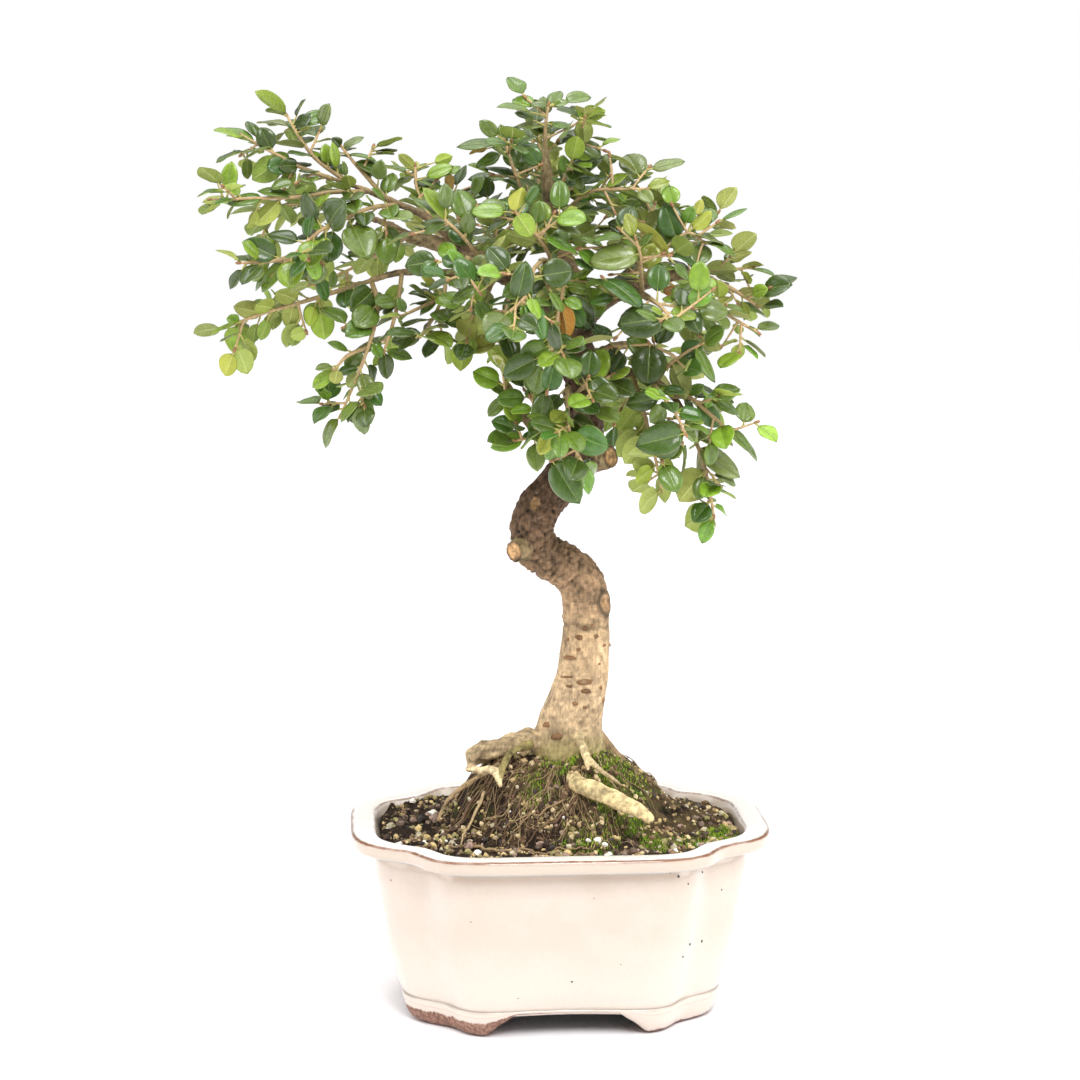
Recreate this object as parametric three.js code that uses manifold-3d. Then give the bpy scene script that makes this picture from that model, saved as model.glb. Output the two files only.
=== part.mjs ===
// Wall cotoneaster bonsai: a rooted tree in a mound of soil, in a lobed, glazed pot on four low feet.
// Millimetres, +Z up. Everything is laid out from the middle of the pot's footprint, with -Y the front,
// and the whole model is shifted at the end, so that its origin is under the middle of its box.
import * as THREE from "three";
import { mergeVertices } from "three/addons/utils/BufferGeometryUtils.js";
import Module from "manifold-3d";

const wasm = await Module();
wasm.setup();

// Driving dimensions of the pot: half the width and depth of its two crossed plan shapes at the rim.
const POT_HEIGHT = 67;
const END_LOBES = { x: 75, y: 46, power: 4 };
const SIDE_LOBES = { x: 53, y: 62.5, power: 6 };
const RIM_WIDTH = 9.5;
const RIM_THICKNESS = 5;
const FOOT_HEIGHT = 7;
const FLOOR_TOP = 13;
const PLAN_STEPS = 36;
const PLAN_REACH = 100;
const WALL_ZONE = 34;
// Outer profile of the body below the rim: height and inset from the rim's outline.
const BODY = [
  [60.5, 9.2], [58, 8.2], [53, 8], [29, 12.5], [15, 16.5], [10.5, 18.2], [FOOT_HEIGHT, 21],
];
// Inner profile from the rim down to the floor: height and inset from the same outline.
const HOLLOW = [[57, 13.5], [30, 18.5], [FLOOR_TOP, 24]];
// The ring that the feet are cut from: inset and height round its section.
const RING_TOP = FOOT_HEIGHT + 2;
const FOOT_RING = [
  [31, RING_TOP], [29.5, 0], [19.6, 0], [18.6, RING_TOP - 0.6], [20, RING_TOP], [31, RING_TOP],
];
// The openings between the feet: half their widths, how far beyond them each end stands out at a
// height, and how far the cut reaches through the ring.
const OPENING_FRONT = 23;
const OPENING_SIDE = 13;
const ARCH_END = [[3, -2], [2, 2.4], [-1, 4.6], [-5, FOOT_HEIGHT + 0.2]];
const ARCH_REACH = 180;
const DRAIN_RADIUS = 8;
const DRAIN_SPACING = 46;
const DRAIN_SIDES = 16;
const SCREEN_SIZE = 24;
const SCREEN_THICKNESS = 0.8;
const SCREEN_HOLES = 3;
const SCREEN_OPEN_SHARE = 0.6;

// The soil: its level at the wall, its mound, and the size of its crumbs.
const SOIL_LEVEL = 61.5;
const SOIL_RINGS = [16, 24, 34, 46, 60, 78];
const MOUND = { x: 4, y: 2, height: 30.5, reachX: 47, reachY: 45 };
const MOUND_SLOPE = [0.12, 1.1];
const CRUMB = 0.9;

// Pieces that touch keep this much air between them, and the boxes round leaves and stems a bit more.
const CLEARANCE = 0.3;
const BOX_CLEARANCE = CLEARANCE + 0.15;

// Leaves and twigs: sizes, spacing, and the shares of the rule's leaves and shoots that are modelled.
const LEAF_THICKNESS = 0.9;
const LEAF_ROOT = 0.6;
const LEAF_LENGTH = [8, 12];
const BROADEST = 0.85;
const NARROWEST = 0.62;
const LEAF_SPACING = 4.4;
const FIRST_LEAF = 5;
const ROOT_DEPTH = 0.1;
const STALK = 1.6;
const LONGEST_STALK = 8;
const MOST_LEAN = 6;
const OWN_ROOM = -0.2;
const SMALLER = 0.85;
// The room that a new leaf needs round its joint, along a stem and at the stem's tip.
const JOINT_ROOM = { side: 2.4, tip: 1.5 };
// How a rule's leaf leaves its stem, in radians: sideways at least and at most more, and at the tip.
const SPLAY = { least: 0.8, more: 0.35, tip: 0.25 };
// How far it lifts towards the upper side of its spray, and how its face is tipped.
const LIFT = { reach: 0.5, middle: 0.35 };
const TIP = { reach: 0.9, up: 0.3 };
const WIDTH_SHARE = { least: 0.74, more: 0.12 };
// A blade's outline: shares of its length where it is widest, where it narrows and where its ridge is
// highest, and the share of its width at its shoulder.
const BLADE = { widest: 0.3, shoulder: 0.7, shoulderWidth: 0.42, ridge: 0.5 };
const TWIG_RADIUS = 1.1;
const TWIG_SIDES = 3;
const SHOOT_RADIUS = 0.75;
const TWIG_TAPER = 0.35;
const SHOOT_LENGTH = [8, 13];
const SHOOT_LEAN = { along: 0.45, out: 0.9 };
const SHOOT_START = 0.15;
const GOLDEN_ANGLE = 2.4;
// Offsets that keep the drawn numbers of one stretch of stem apart.
const DRAWS = { lift: 40, tipX: 80, tipY: 120, size: 160, kept: 200, shoots: 10000 };
const SEEN_SHARES = { leaves: 0.05, shoots: 0 };
const HIDDEN_SHARES = { leaves: 0.55, shoots: 0.2 };
// The turns, in radians, that are tried to keep a blade clear of its neighbours.
const SWINGS = [0, 0.22, -0.22, 0.44, -0.44, 0.66, -0.66, 0.9, -0.9];
const ROLLS = [0, 0.4, -0.4, 0.8, -0.8];
const TO_VIEWER = new THREE.Vector3(0, -1, 0);

// Woody routes: points of x, y, z and radius.
const STEMS = {
  trunk: [
    [3.5, 4, 76, 16.0], [3.5, 3, 85.5, 14.6], [3.5, 2, 93, 13.0], [4.5, 1, 102, 11.4],
    [6.5, 0, 110, 10.3], [8.5, 0, 117.5, 9.4], [9.5, 0, 126.5, 8.9], [10, 0, 136, 8.4],
    [10, 1, 145, 8.3], [8, 2, 153, 8.1], [2.5, 2, 158, 7.8], [-4, 1, 162, 7.8],
    [-8.5, 0, 166.5, 7.9], [-9, -1, 173, 7.9], [-6.5, -1, 179.5, 7.7], [-2, 0, 185.5, 7.4],
    [3, 1, 192, 7.2], [6.5, 2, 198, 7.0], [9, 3, 205, 6.6], [9, 3, 214, 6.2], [7.5, 2, 222.5, 5.9],
    [6.5, 2, 231.5, 5.6], [7.5, 3, 240, 5.3], [9, 3, 247.5, 4.9],
  ],
  stub_right: [[6.5, 2, 195.5, 4.6], [12, 0, 196.5, 4.8], [16, -3, 197.5, 4.5], [18.5, -5, 198, 4.2]],
  stub_left: [[-8, 0, 166, 4.4], [-12, -5, 165.5, 4.3], [-15.5, -9, 165, 4.0]],
  pruned_left: [
    [5.5, 0, 195.5, 3.2], [-2, -6, 201.5, 2.6], [-8, -8, 208, 2.3], [-13.5, -9, 215, 2.1],
    [-19, -10, 224, 1.9],
  ],
  limb_left: [
    [7.5, 2, 237, 4.6], [1.5, 0, 247.5, 4.4], [-8, -2, 254, 4.2], [-18.5, -2, 261, 4.0],
    [-29, 0, 267.5, 3.8], [-39.5, 1, 271.5, 3.4], [-50, 2, 274, 2.9], [-59.5, 2, 277, 2.2],
  ],
  limb_left_high: [
    [-28, 0, 267, 2.6], [-37.5, -2, 275, 2.2], [-46.5, -4, 282, 1.9], [-58.5, -6, 287.5, 1.6],
    [-69.5, -8, 292, 1.3], [-80.5, -9, 296, 1.0],
  ],
  limb_left_low: [
    [-18, -2, 260.5, 2.6], [-30.5, -8, 262, 2.2], [-44.5, -12, 263, 1.9], [-55, -14, 263, 1.6],
    [-65.5, -15, 260, 1.3], [-75.5, -15, 257, 1.0],
  ],
  limb_left_back: [
    [-38, 1, 271, 2.4], [-49, 12, 273, 2.1], [-60, 22, 278, 1.8], [-71, 30, 281.5, 1.4],
    [-80.5, 34, 283, 1.0],
  ],
  limb_back_left: [
    [-6.5, -2, 253, 3.0], [-15, 12, 259, 2.6], [-23.5, 25, 265, 2.2], [-32, 37, 269.5, 1.7],
    [-38.5, 46, 272.5, 1.1],
  ],
  limb_front_left: [
    [-19.5, -2, 261, 2.6], [-23.5, -14, 264.5, 2.2], [-27.5, -25, 267, 1.7], [-31.5, -35, 269, 1.1],
  ],
  limb_right: [
    [9, 3, 244, 4.4], [15.5, 1, 252, 4.0], [24.5, -3, 257, 3.5], [33.5, -6, 260, 3.0],
    [43, -8, 262, 2.3], [51, -9, 261, 1.7], [56.5, -10, 259, 1.1],
  ],
  limb_right_back: [
    [14.5, 1, 251, 3.0], [20, 14, 257, 2.7], [27.5, 25, 262.5, 2.3], [35, 34, 267, 1.7],
    [41.5, 40, 270.5, 1.1],
  ],
  limb_front_right: [
    [24.5, -3, 257, 2.5], [26.5, -15, 256.5, 2.0], [29.5, -26, 255.5, 1.6], [31.5, -35, 254.5, 1.1],
  ],
  leader: [
    [9, 3, 246, 4.6], [5.5, 6, 257, 4.2], [1.5, 8, 267, 3.8], [-2, 8, 277, 3.3],
    [-3, 7, 287.5, 2.7], [-4, 6, 297, 2.1], [-4.5, 5, 305.5, 1.3],
  ],
  limb_back: [
    [4, 7, 260, 3.2], [0.5, 20, 265, 2.9], [-3.5, 32, 270.5, 2.5], [-6.5, 44, 275, 1.9],
    [-8, 54, 278, 1.1],
  ],
  limb_front: [
    [4.5, 5, 258, 3.0], [0.5, -8, 262, 2.6], [-2.5, -20, 265, 2.2], [-4.5, -31, 267.5, 1.7],
    [-6.5, -40, 268.5, 1.1],
  ],
  limb_cascade: [
    [8, 2, 221.5, 3.6], [15.5, -4, 227.5, 3.0], [25, -9, 228, 2.5], [34, -12, 225, 2.1],
    [41.5, -13, 218, 1.6], [46, -13, 209, 1.1],
  ],
  limb_front_low: [
    [9, 3, 206, 3.4], [7, -10, 215, 2.6], [4.5, -20, 221.5, 2.0], [2.5, -28, 225.5, 1.3],
  ],
  limb_low_back: [[7.5, 2, 227.5, 3.0], [15, 14, 233, 2.5], [24, 26, 235, 2.0], [33, 36, 234.5, 1.2]],
};
const ROOTS = {
  root_thick: [
    [5, -4, 89, 4.2], [6.5, -18, 87, 3.7], [12, -27, 86, 3.4], [18.5, -33, 84, 3.1],
    [25.5, -38, 82, 2.7], [31, -41, 79.5, 2.2], [34, -42, 76.5, 1.4],
  ],
  root_fork: [
    [7, -8, 99.5, 1.9], [8.5, -15, 96.5, 1.7], [11, -19, 92.5, 1.4], [16, -22, 88.5, 1.1],
    [22.5, -25, 84.5, 0.8],
  ],
  root_fork_b: [[8.5, -14, 97, 1.3], [9.5, -19, 93, 1.1], [10.5, -23, 89.5, 0.8]],
  root_log: [[-3.5, 0, 96, 4.6], [-14, -5, 96, 4.4], [-23.5, -9, 94, 4.2], [-31.5, -12, 91, 3.7]],
  root_olive: [
    [-10, -8, 95.5, 1.7], [-16.5, -16, 94.5, 1.5], [-19.5, -22, 90, 1.3], [-21, -27, 85.5, 1.0],
  ],
  root_white: [[-32, -12, 88, 1.5], [-27, -18, 88.5, 1.6], [-22.5, -22, 89, 1.5], [-20, -28, 85, 1.1]],
  root_right: [[12.5, 3, 96.5, 3.6], [19, 7, 89.5, 2.9], [26, 9, 81.5, 2.3], [33.5, 9, 75.5, 1.6]],
  root_back: [[4.5, 8, 92, 4.0], [1.5, 22, 83, 3.2], [-0.5, 34, 74.5, 2.3], [-2, 44, 66.5, 1.5]],
  root_back_left: [
    [-2, 6, 92.5, 3.6], [-12, 16, 85.5, 2.8], [-21, 24, 77, 2.0], [-29.5, 28, 70.5, 1.3],
  ],
  root_left_arc: [
    [-20.5, -14, 89.5, 1.2], [-31, -22, 85, 1.1], [-38.5, -28, 80, 1.0], [-42, -34, 74, 0.8],
  ],
};
// Leafy sprays: each has a twig that starts in its limb, the way that its upper leaf faces turn, and the
// leaves that the front view shows: x and z of base and tip, seen width, and the face and shade that show.
const SPRAYS = {
  left_tip: {
    twig: [[-78.5, -9, 295], [-89, -10, 299], [-98.5, -10, 304], [-108.5, -9, 309.5]],
    face: [-0.2, -0.2, 1],
    leaves: [
      [-104, 308, -117.5, 312.5, 4, "U mid"], [-97, 306, -102.5, 312.5, 7, "U deep"],
      [-95, 301.5, -105.5, 294.5, 9, "D mid"], [-93.5, 299.5, -101.5, 297.5, 7, "U gloss"],
      [-88, 302.5, -95.5, 299.5, 5.5, "U deep"], [-94.5, 292, -91.5, 298.5, 5, "U fresh"],
    ],
  },
  left_top: {
    twig: [[-71.5, -8, 293], [-82.5, -6, 300.5], [-89, -4, 308], [-94, -2, 316.5]],
    face: [-0.2, -0.1, 1],
    leaves: [
      [-94, 317, -104.5, 325.5, 5, "D fresh"], [-96, 315.5, -105, 320, 4, "U deep"],
      [-95.5, 310, -93, 316.5, 4, "D yellow"], [-88.5, 314.5, -79.5, 318, 2.5, "U mid"],
      [-91, 311.5, -86, 317.5, 4.5, "U deep"], [-88.5, 311.5, -83, 314.5, 2, "D grey"],
      [-87, 306, -97.5, 308.5, 3, "D grey"],
    ],
  },
  left_crest: {
    twig: [[-59.5, -6, 287.5], [-65.5, -4, 294.5], [-71, -2, 300.5], [-75.5, 0, 306]],
    face: [0, -0.2, 1],
    leaves: [
      [-75, 305.5, -68, 310, 3.5, "U grey"], [-74.5, 304, -69, 307, 3, "U mid"],
      [-75, 306.5, -78.5, 309, 4, "U deep"], [-75.5, 301.5, -86, 306, 5, "U grey"],
      [-74, 302.5, -63.5, 302, 3, "U mid"], [-72.5, 299, -60.5, 297, 4, "U deep"],
      [-59, 295, -60.5, 303.5, 5.5, "U grey"],
    ],
  },
  left_far: {
    twig: [
      [-66, -7, 290.5], [-77, -14, 290.5], [-88.5, -18, 289], [-101.5, -20, 288.5],
      [-118.5, -20, 288],
    ],
    face: [-0.2, -0.4, 1],
    leaves: [
      [-113.5, 291.5, -111.5, 301, 6, "U fresh"], [-114.5, 294, -118, 299, 3, "D pale"],
      [-115, 291.5, -126, 289.5, 4.5, "U deep"], [-113.5, 290.5, -121.5, 288, 3, "U yellow"],
      [-101, 288.5, -113.5, 287.5, 5, "U mid"], [-91, 289.5, -103, 291.5, 3, "U mid"],
      [-113, 287, -124.5, 282, 3, "D grey"], [-101.5, 286, -114.5, 280.5, 4, "U grey"],
      [-94.5, 287, -103.5, 278.5, 9.5, "D pale"], [-101.5, 283, -106, 278, 6, "D yellow"],
    ],
  },
  left_orange: {
    twig: [
      [-56, -6, 286], [-65, -16, 285], [-73, -22, 281.5], [-81.5, -26, 277.5], [-89, -28, 270.5],
      [-97, -28, 263],
    ],
    fork: [[-90.5, -28, 269], [-98, -29, 267.5], [-108, -30, 267]],
    face: [-0.3, -0.8, 0.7],
    leaves: [
      [-82, 281.5, -87, 290.5, 9, "U deep"], [-80.5, 282, -70, 292.5, 11.5, "U deep"],
      [-80.5, 281.5, -76, 287, 4.5, "U mid"], [-75, 277, -79.5, 266.5, 9.5, "U gloss"],
      [-70.5, 279, -64.5, 269, 12.5, "U mid"], [-95, 270, -107, 274.5, 8.5, "U deep"],
      [-107.5, 268, -115.5, 272.5, 1.5, "D pale"], [-88, 275.5, -99, 277.5, 5.5, "U deep"],
      [-87, 275.5, -84.5, 283.5, 4, "U gloss"], [-86, 270, -88, 261, 7.5, "U deep"],
      [-80.5, 267, -84, 260, 7, "U grey"], [-89, 262.5, -101, 259, 6, "U mid"],
      [-84.5, 260, -92, 257.5, 3, "D grey"],
    ],
  },
  left_low: {
    twig: [[-73.5, -15, 257.5], [-86.5, -16, 253.5], [-102, -16, 249], [-115.5, -15, 244]],
    face: [-0.2, 0.7, 0.6],
    leaves: [
      [-110, 244.5, -110.5, 234.5, 11, "D fresh"], [-102, 249.5, -112, 251.5, 6.5, "D pale"],
      [-110, 248, -114.5, 247.5, 4, "U fresh"], [-99, 248.5, -102.5, 244, 6.5, "D pale"],
      [-91, 251, -93.5, 244, 7, "D pale"], [-87, 243, -92.5, 241, 5, "D pale"],
      [-81.5, 250, -80.5, 240, 8.5, "D fresh"], [-101, 250.5, -93.5, 256, 4, "D grey"],
      [-76, 256, -78, 251.5, 5, "D grey"], [-79, 253.5, -81.5, 248.5, 5.5, "D pale"],
      [-79.5, 258, -77.5, 264, 4, "U mid"],
    ],
  },
  left_drop: {
    twig: [
      [-64.5, -15, 260], [-62, -20, 252], [-64, -23, 242], [-67.5, -23, 232], [-71.5, -22, 222.5],
      [-75, -21, 214.5],
    ],
    fork: [[-65.5, -23, 238], [-72.5, -26, 235], [-77, -27, 230]],
    face: [-0.2, -0.8, 0.6],
    leaves: [
      [-64, 257, -71, 250.5, 10.5, "U deep"], [-61, 241, -72, 245, 11, "U gloss"],
      [-69.5, 241, -72, 231, 6, "U mid"], [-77, 230, -84.5, 224.5, 5, "U fresh"],
      [-78, 234, -84, 231.5, 3.5, "U grey"], [-73, 229.5, -76.5, 224, 5, "D pale"],
      [-72, 224, -75, 219.5, 1.5, "D grey"], [-65.5, 229.5, -64, 219.5, 5, "U grey"],
      [-64.5, 219.5, -74, 215.5, 4, "U mid"], [-69, 229.5, -72.5, 224, 5, "D grey"],
      [-69, 231.5, -76.5, 229, 3.5, "U deep"],
    ],
  },
  left_drop_b: {
    twig: [[-54, -14, 263], [-55, -18, 254], [-57, -20, 245.5], [-60, -20, 236.5]],
    face: [0.1, -0.7, 0.7],
    leaves: [
      [-61.5, 235.5, -59, 226.5, 5.5, "U deep"], [-59.5, 234.5, -50, 234.5, 2, "U mid"],
      [-62.5, 236, -64, 231, 2.5, "D fresh"], [-56, 252, -62, 249.5, 5, "U deep"],
      [-54.5, 259, -59.5, 253.5, 7, "D fresh"],
    ],
  },
  left_under: {
    twig: [
      [-40.5, -11, 262.5], [-39, -16, 258], [-40.5, -20, 253], [-43.5, -22, 247],
      [-46.5, -23, 242.5],
    ],
    fork: [[-39.5, -18, 255], [-44, -22, 253], [-53, -25, 249]],
    face: [0, -0.7, 0.7],
    leaves: [
      [-47, 243, -57.5, 240, 4, "U deep"], [-50, 247, -59.5, 243.5, 5, "U mid"],
      [-54, 249.5, -62, 248.5, 2, "D pale"], [-52.5, 250, -55, 255, 3.5, "U mid"],
      [-45, 255.5, -52, 253, 4, "U deep"], [-42, 256, -51.5, 257, 3, "U deep"],
      [-32.5, 258, -44.5, 252.5, 4, "U mid"], [-31, 255, -44, 247.5, 3.5, "U grey"],
      [-45.5, 243.5, -34, 240, 2, "U deep"],
    ],
  },
  mid_under: {
    twig: [[-21, -6, 261.5], [-25, -12, 256], [-29, -15, 250], [-31.5, -15, 241.5]],
    face: [0, 0.7, 0.6],
    leaves: [
      [-33.5, 248, -37, 235.5, 8.5, "D pale"], [-29, 249.5, -24.5, 240, 8.5, "D pale"],
      [-24, 238, -17, 229.5, 6.5, "D fresh"], [-30.5, 243, -28.5, 236.5, 4, "D pale"],
    ],
  },
  mid_under_b: {
    twig: [[-16, -3, 259.5], [-17.5, -14, 253.5], [-19, -18, 246], [-20, -19, 239.5]],
    face: [0, -0.5, 0.6],
    leaves: [
      [-18.5, 249.5, -17, 241, 5.5, "U mid"], [-15.5, 244.5, -14.5, 232.5, 2.5, "U deep"],
      [-13.5, 243.5, -12.5, 234.5, 3.5, "D grey"], [-17.5, 249.5, -28, 247.5, 6, "U fresh"],
    ],
  },
  mid_left_front: {
    twig: [[-30.5, -34, 268.5], [-32.5, -41, 266.5], [-29.5, -46, 262], [-26.5, -47, 258]],
    face: [-0.2, -1, 0.6],
    leaves: [
      [-24.5, 261, -18.5, 277.5, 4.5, "U grey"], [-21.5, 258, -12, 269.5, 4.5, "U grey"],
      [-27.5, 259.5, -36.5, 255.5, 4.5, "U mid"], [-27.5, 261.5, -34.5, 269.5, 8, "U gloss"],
      [-28.5, 271.5, -34.5, 276, 5, "U gloss"], [-41, 261, -46.5, 263.5, 6, "U gloss"],
      [-38.5, 263, -39.5, 269, 5, "U gloss"], [-36, 262, -36, 271.5, 2.5, "U bright"],
      [-41, 268, -52, 266.5, 9, "U deep"],
    ],
  },
  mid_left_up: {
    twig: [[-26, -20, 266], [-30, -28, 272.5], [-34.5, -32, 278], [-39.5, -34, 282.5]],
    face: [-0.1, -0.7, 0.9],
    leaves: [
      [-33.5, 285.5, -45.5, 293, 5, "U fresh"], [-32, 282, -45.5, 281.5, 1.5, "D pale"],
      [-30, 276, -36, 278, 6, "U gloss"], [-38, 280, -46, 277.5, 4, "U mid"],
    ],
  },
  crest_a: {
    twig: [[-44, -3, 280.5], [-47, 0, 285.5], [-49.5, 3, 291.5], [-50, 5, 299]],
    face: [0, -0.2, 1],
    leaves: [
      [-51, 298, -55.5, 303.5, 4, "D pale"], [-45.5, 294, -37, 300, 5, "U fresh"],
      [-42.5, 298.5, -37, 302.5, 4.5, "D fresh"], [-50, 295.5, -58.5, 293, 3, "U deep"],
      [-49.5, 294.5, -40.5, 292, 2.5, "U mid"],
    ],
  },
  crest_b: {
    twig: [[-30, 1, 268], [-33.5, 8, 276], [-36.5, 12, 284.5], [-39, 13, 291.5]],
    face: [0, 0, 1],
    leaves: [
      [-33.5, 291.5, -38.5, 297, 3.5, "D brown"], [-21.5, 295, -32, 295.5, 3.5, "U deep"],
      [-35.5, 287, -44.5, 288, 5, "U deep"], [-34, 288.5, -24, 291.5, 5, "U mid"],
    ],
  },
  crest_c: {
    twig: [[-2, 7, 276], [-7.5, 2, 283.5], [-12.5, -3, 291], [-16, -5, 299.5], [-18.5, -6, 307.5]],
    face: [0, -0.3, 1],
    leaves: [
      [-21.5, 309, -35.5, 306.5, 4.5, "U mid"], [-20, 311.5, -27.5, 315, 3.5, "U mid"],
      [-20, 303.5, -29, 299.5, 4.5, "U mid"], [-17, 308, -20, 313.5, 4, "U mid"],
      [-15, 306, -10, 309.5, 4, "U mid"], [-9, 296, -22, 298, 3, "U deep"],
      [-6.5, 299.5, -12.5, 307, 7, "U gloss"], [-6, 299.5, -2.5, 307, 5.5, "U gloss"],
      [-24.5, 305, -31.5, 303.5, 3.5, "D brown"],
    ],
  },
  apex: {
    twig: [[-4.5, 5, 304.5], [-4.5, 4, 312.5], [-3.5, 3, 320]],
    face: [0, 0, 1],
    leaves: [
      [-1.5, 322.5, -10, 327.5, 4.5, "D mid"], [-10, 317, -22, 321, 3, "U mid"],
      [-9, 313.5, -15, 318, 3, "U mid"], [2.5, 321.5, 12, 324, 3, "U grey"],
      [3.5, 320, 12, 318, 2, "U mid"], [-2, 320.5, -8.5, 321, 3, "U mid"],
      [-1.5, 319.5, 3.5, 321.5, 3, "U mid"], [-4.5, 313, -15.5, 314, 2.5, "U grey"],
      [-2.5, 313.5, 5.5, 313, 3, "U mid"],
    ],
  },
  apex_right: {
    twig: [[-3, 7, 285], [1.5, 3, 293.5], [5, 1, 301.5], [7.5, 0, 309], [8.5, -1, 315.5]],
    face: [0.3, -0.4, 1],
    leaves: [
      [6, 317.5, 9, 309, 6.5, "D mid"], [1.5, 295.5, 15, 303.5, 8, "U deep"],
      [16, 300, 14, 305.5, 3, "U bright"], [16, 304.5, 19.5, 308, 3, "U mid"],
      [4, 304.5, 10.5, 303, 4.5, "D fresh"], [1, 310, 10, 306, 5.5, "U mid"],
      [1, 296.5, 1.5, 303, 3.5, "U bright"],
    ],
  },
  apex_back: {
    twig: [[-3.5, 6, 291], [-4.5, 18, 298.5], [-6.5, 26, 305.5], [-7.5, 32, 312.5]],
    face: [0, 0.4, 1],
  },
  top_right: {
    twig: [[-2, 7, 278], [4, 0, 285], [11, -7, 290.5], [20.5, -11, 291.5], [30, -13, 291.5]],
    face: [0.2, -0.5, 1],
    leaves: [
      [17.5, 303, 27.5, 298.5, 3, "D grey"], [19.5, 299, 28.5, 295, 5, "U mid"],
      [30.5, 292, 38, 295, 4, "U yellow"], [22.5, 294.5, 29, 292.5, 3, "U fresh"],
      [14.5, 296.5, 23.5, 297.5, 3.5, "U fresh"], [11.5, 292, 20, 289, 3, "U mid"],
      [20.5, 290.5, 28, 289, 3, "D mid"], [27, 288.5, 34.5, 285.5, 4, "U grey"],
    ],
  },
  top_right_back: {
    twig: [[-1.5, 8, 277], [8, 20, 285], [17, 30, 290.5], [25.5, 36, 294]],
    face: [0.2, 0.3, 1],
  },
  front_top: {
    twig: [[-1.5, -18, 264.5], [-4.5, -27, 272], [-9, -32, 278], [-14.5, -35, 284]],
    face: [0, -0.8, 0.8],
    leaves: [
      [-15, 284.5, -13, 293, 8, "D yellow"], [-14.5, 283.5, -9, 276, 7.5, "D fresh"],
      [-18, 283.5, -30, 285, 6, "U fresh"], [-3.5, 279, 7, 271.5, 4, "U bright"],
      [6.5, 271.5, 15.5, 265, 5, "U bright"], [15.5, 272, 4, 277, 7, "U mid"],
      [1.5, 283, 6, 286, 2.5, "D yellow"], [-10.5, 286.5, -7, 293, 5, "U gloss"],
    ],
  },
  front_end: {
    twig: [
      [-6, -38, 268], [-8.5, -45, 265.5], [-9.5, -50, 260.5], [-12.5, -52, 255.5],
      [-16.5, -52, 252],
    ],
    face: [0, -1, 0.6],
    leaves: [
      [-6, 262.5, 5, 265, 10, "U deep"], [-19.5, 259, -10.5, 268.5, 8.5, "U deep"],
      [-11.5, 254.5, -10.5, 248, 3.5, "U bright"], [-13.5, 251, -18, 245, 5.5, "U bright"],
      [-8.5, 256, -4.5, 242, 8.5, "U gloss"], [-2.5, 248.5, -1, 238.5, 7.5, "U deep"],
      [-7, 272, -13, 269.5, 4, "U deep"],
    ],
  },
  front_drop: {
    twig: [[0, -11, 262.5], [1.5, -26, 258.5], [0.5, -33, 254], [-1, -36, 246.5], [-2.5, -37, 237.5]],
    face: [0, -1, 0.5],
    leaves: [
      [1, 254, 4, 241.5, 6, "D orange"], [1.5, 256, 12.5, 244, 7, "U deep"],
      [-6, 230.5, -19, 229.5, 9, "U deep"], [-4, 224, -1, 234.5, 8, "U gloss"],
    ],
  },
  right_tip: {
    twig: [[55.5, -10, 259.5], [62, -11, 256], [68.5, -12, 251.5]],
    face: [0.3, -0.2, 1],
    leaves: [
      [67, 259, 75, 259.5, 3, "U fresh"], [72.5, 256.5, 80.5, 252.5, 3, "U deep"],
      [67, 254.5, 74.5, 252, 4, "D pale"], [62, 257.5, 72.5, 256, 4, "D grey"],
    ],
  },
  right_high: {
    twig: [[29, -5, 258.5], [33.5, -10, 266.5], [38, -12, 272], [44.5, -12, 276.5], [50, -12, 273.5]],
    face: [0.3, -0.6, 0.9],
    leaves: [
      [40.5, 274.5, 36.5, 286.5, 10, "U gloss"], [44.5, 280, 53, 283.5, 5.5, "D yellow"],
      [48.5, 277, 57.5, 279, 3, "D pale"], [46, 277, 58, 273.5, 2, "U grey"],
      [47.5, 265.5, 50, 273.5, 8.5, "U grey"], [44.5, 284.5, 49.5, 288, 3.5, "D yellow"],
      [39, 286, 38.5, 290, 6.5, "U fresh"],
    ],
  },
  right_upper: {
    twig: [[25.5, -2, 257.5], [28.5, 4, 266], [30.5, 8, 273.5], [32.5, 10, 280], [34, 11, 285.5]],
    face: [0.2, 0, 1],
    leaves: [[22, 282, 29, 287, 6.5, "U mid"], [24.5, 276, 17.5, 279.5, 5.5, "U deep"]],
  },
  right_far: {
    twig: [[42, -7, 261.5], [50.5, -4, 263], [60, -2, 263.5], [67.5, 0, 264]],
    face: [0.3, -0.2, 1],
    leaves: [
      [50.5, 263.5, 62.5, 264.5, 3.5, "D grey"], [63.5, 264.5, 71.5, 266, 2, "D pale"],
      [42, 264, 41, 269.5, 5, "U grey"], [66.5, 262.5, 62, 260.5, 3, "U deep"],
      [55, 260, 64, 258.5, 3, "D grey"],
    ],
  },
  right_front: {
    twig: [[31, -34, 255], [34.5, -40, 252.5], [38, -43, 248.5]],
    face: [0.2, -1, 0.5],
    leaves: [
      [35.5, 248, 19.5, 247, 12, "U deep"], [10.5, 260.5, 22.5, 254.5, 5, "U grey"],
      [15, 262, 31.5, 253, 6, "U gloss"], [35.5, 257.5, 34, 267.5, 8, "U gloss"],
      [51.5, 258.5, 43, 254, 7, "U bright"], [19.5, 242, 2.5, 239.5, 5, "D grey"],
    ],
  },
  right_front_up: {
    twig: [[28.5, -22, 256.5], [28, -28, 264], [27.5, -32, 270], [26, -34, 275]],
    face: [0.1, -0.8, 0.8],
    leaves: [
      [32.5, 271, 15, 268.5, 7, "U grey"], [37, 269.5, 27.5, 282.5, 3, "D yellow"],
      [18, 263, 31.5, 261, 3, "U bright"],
    ],
  },
  right_low_twig: {
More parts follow.
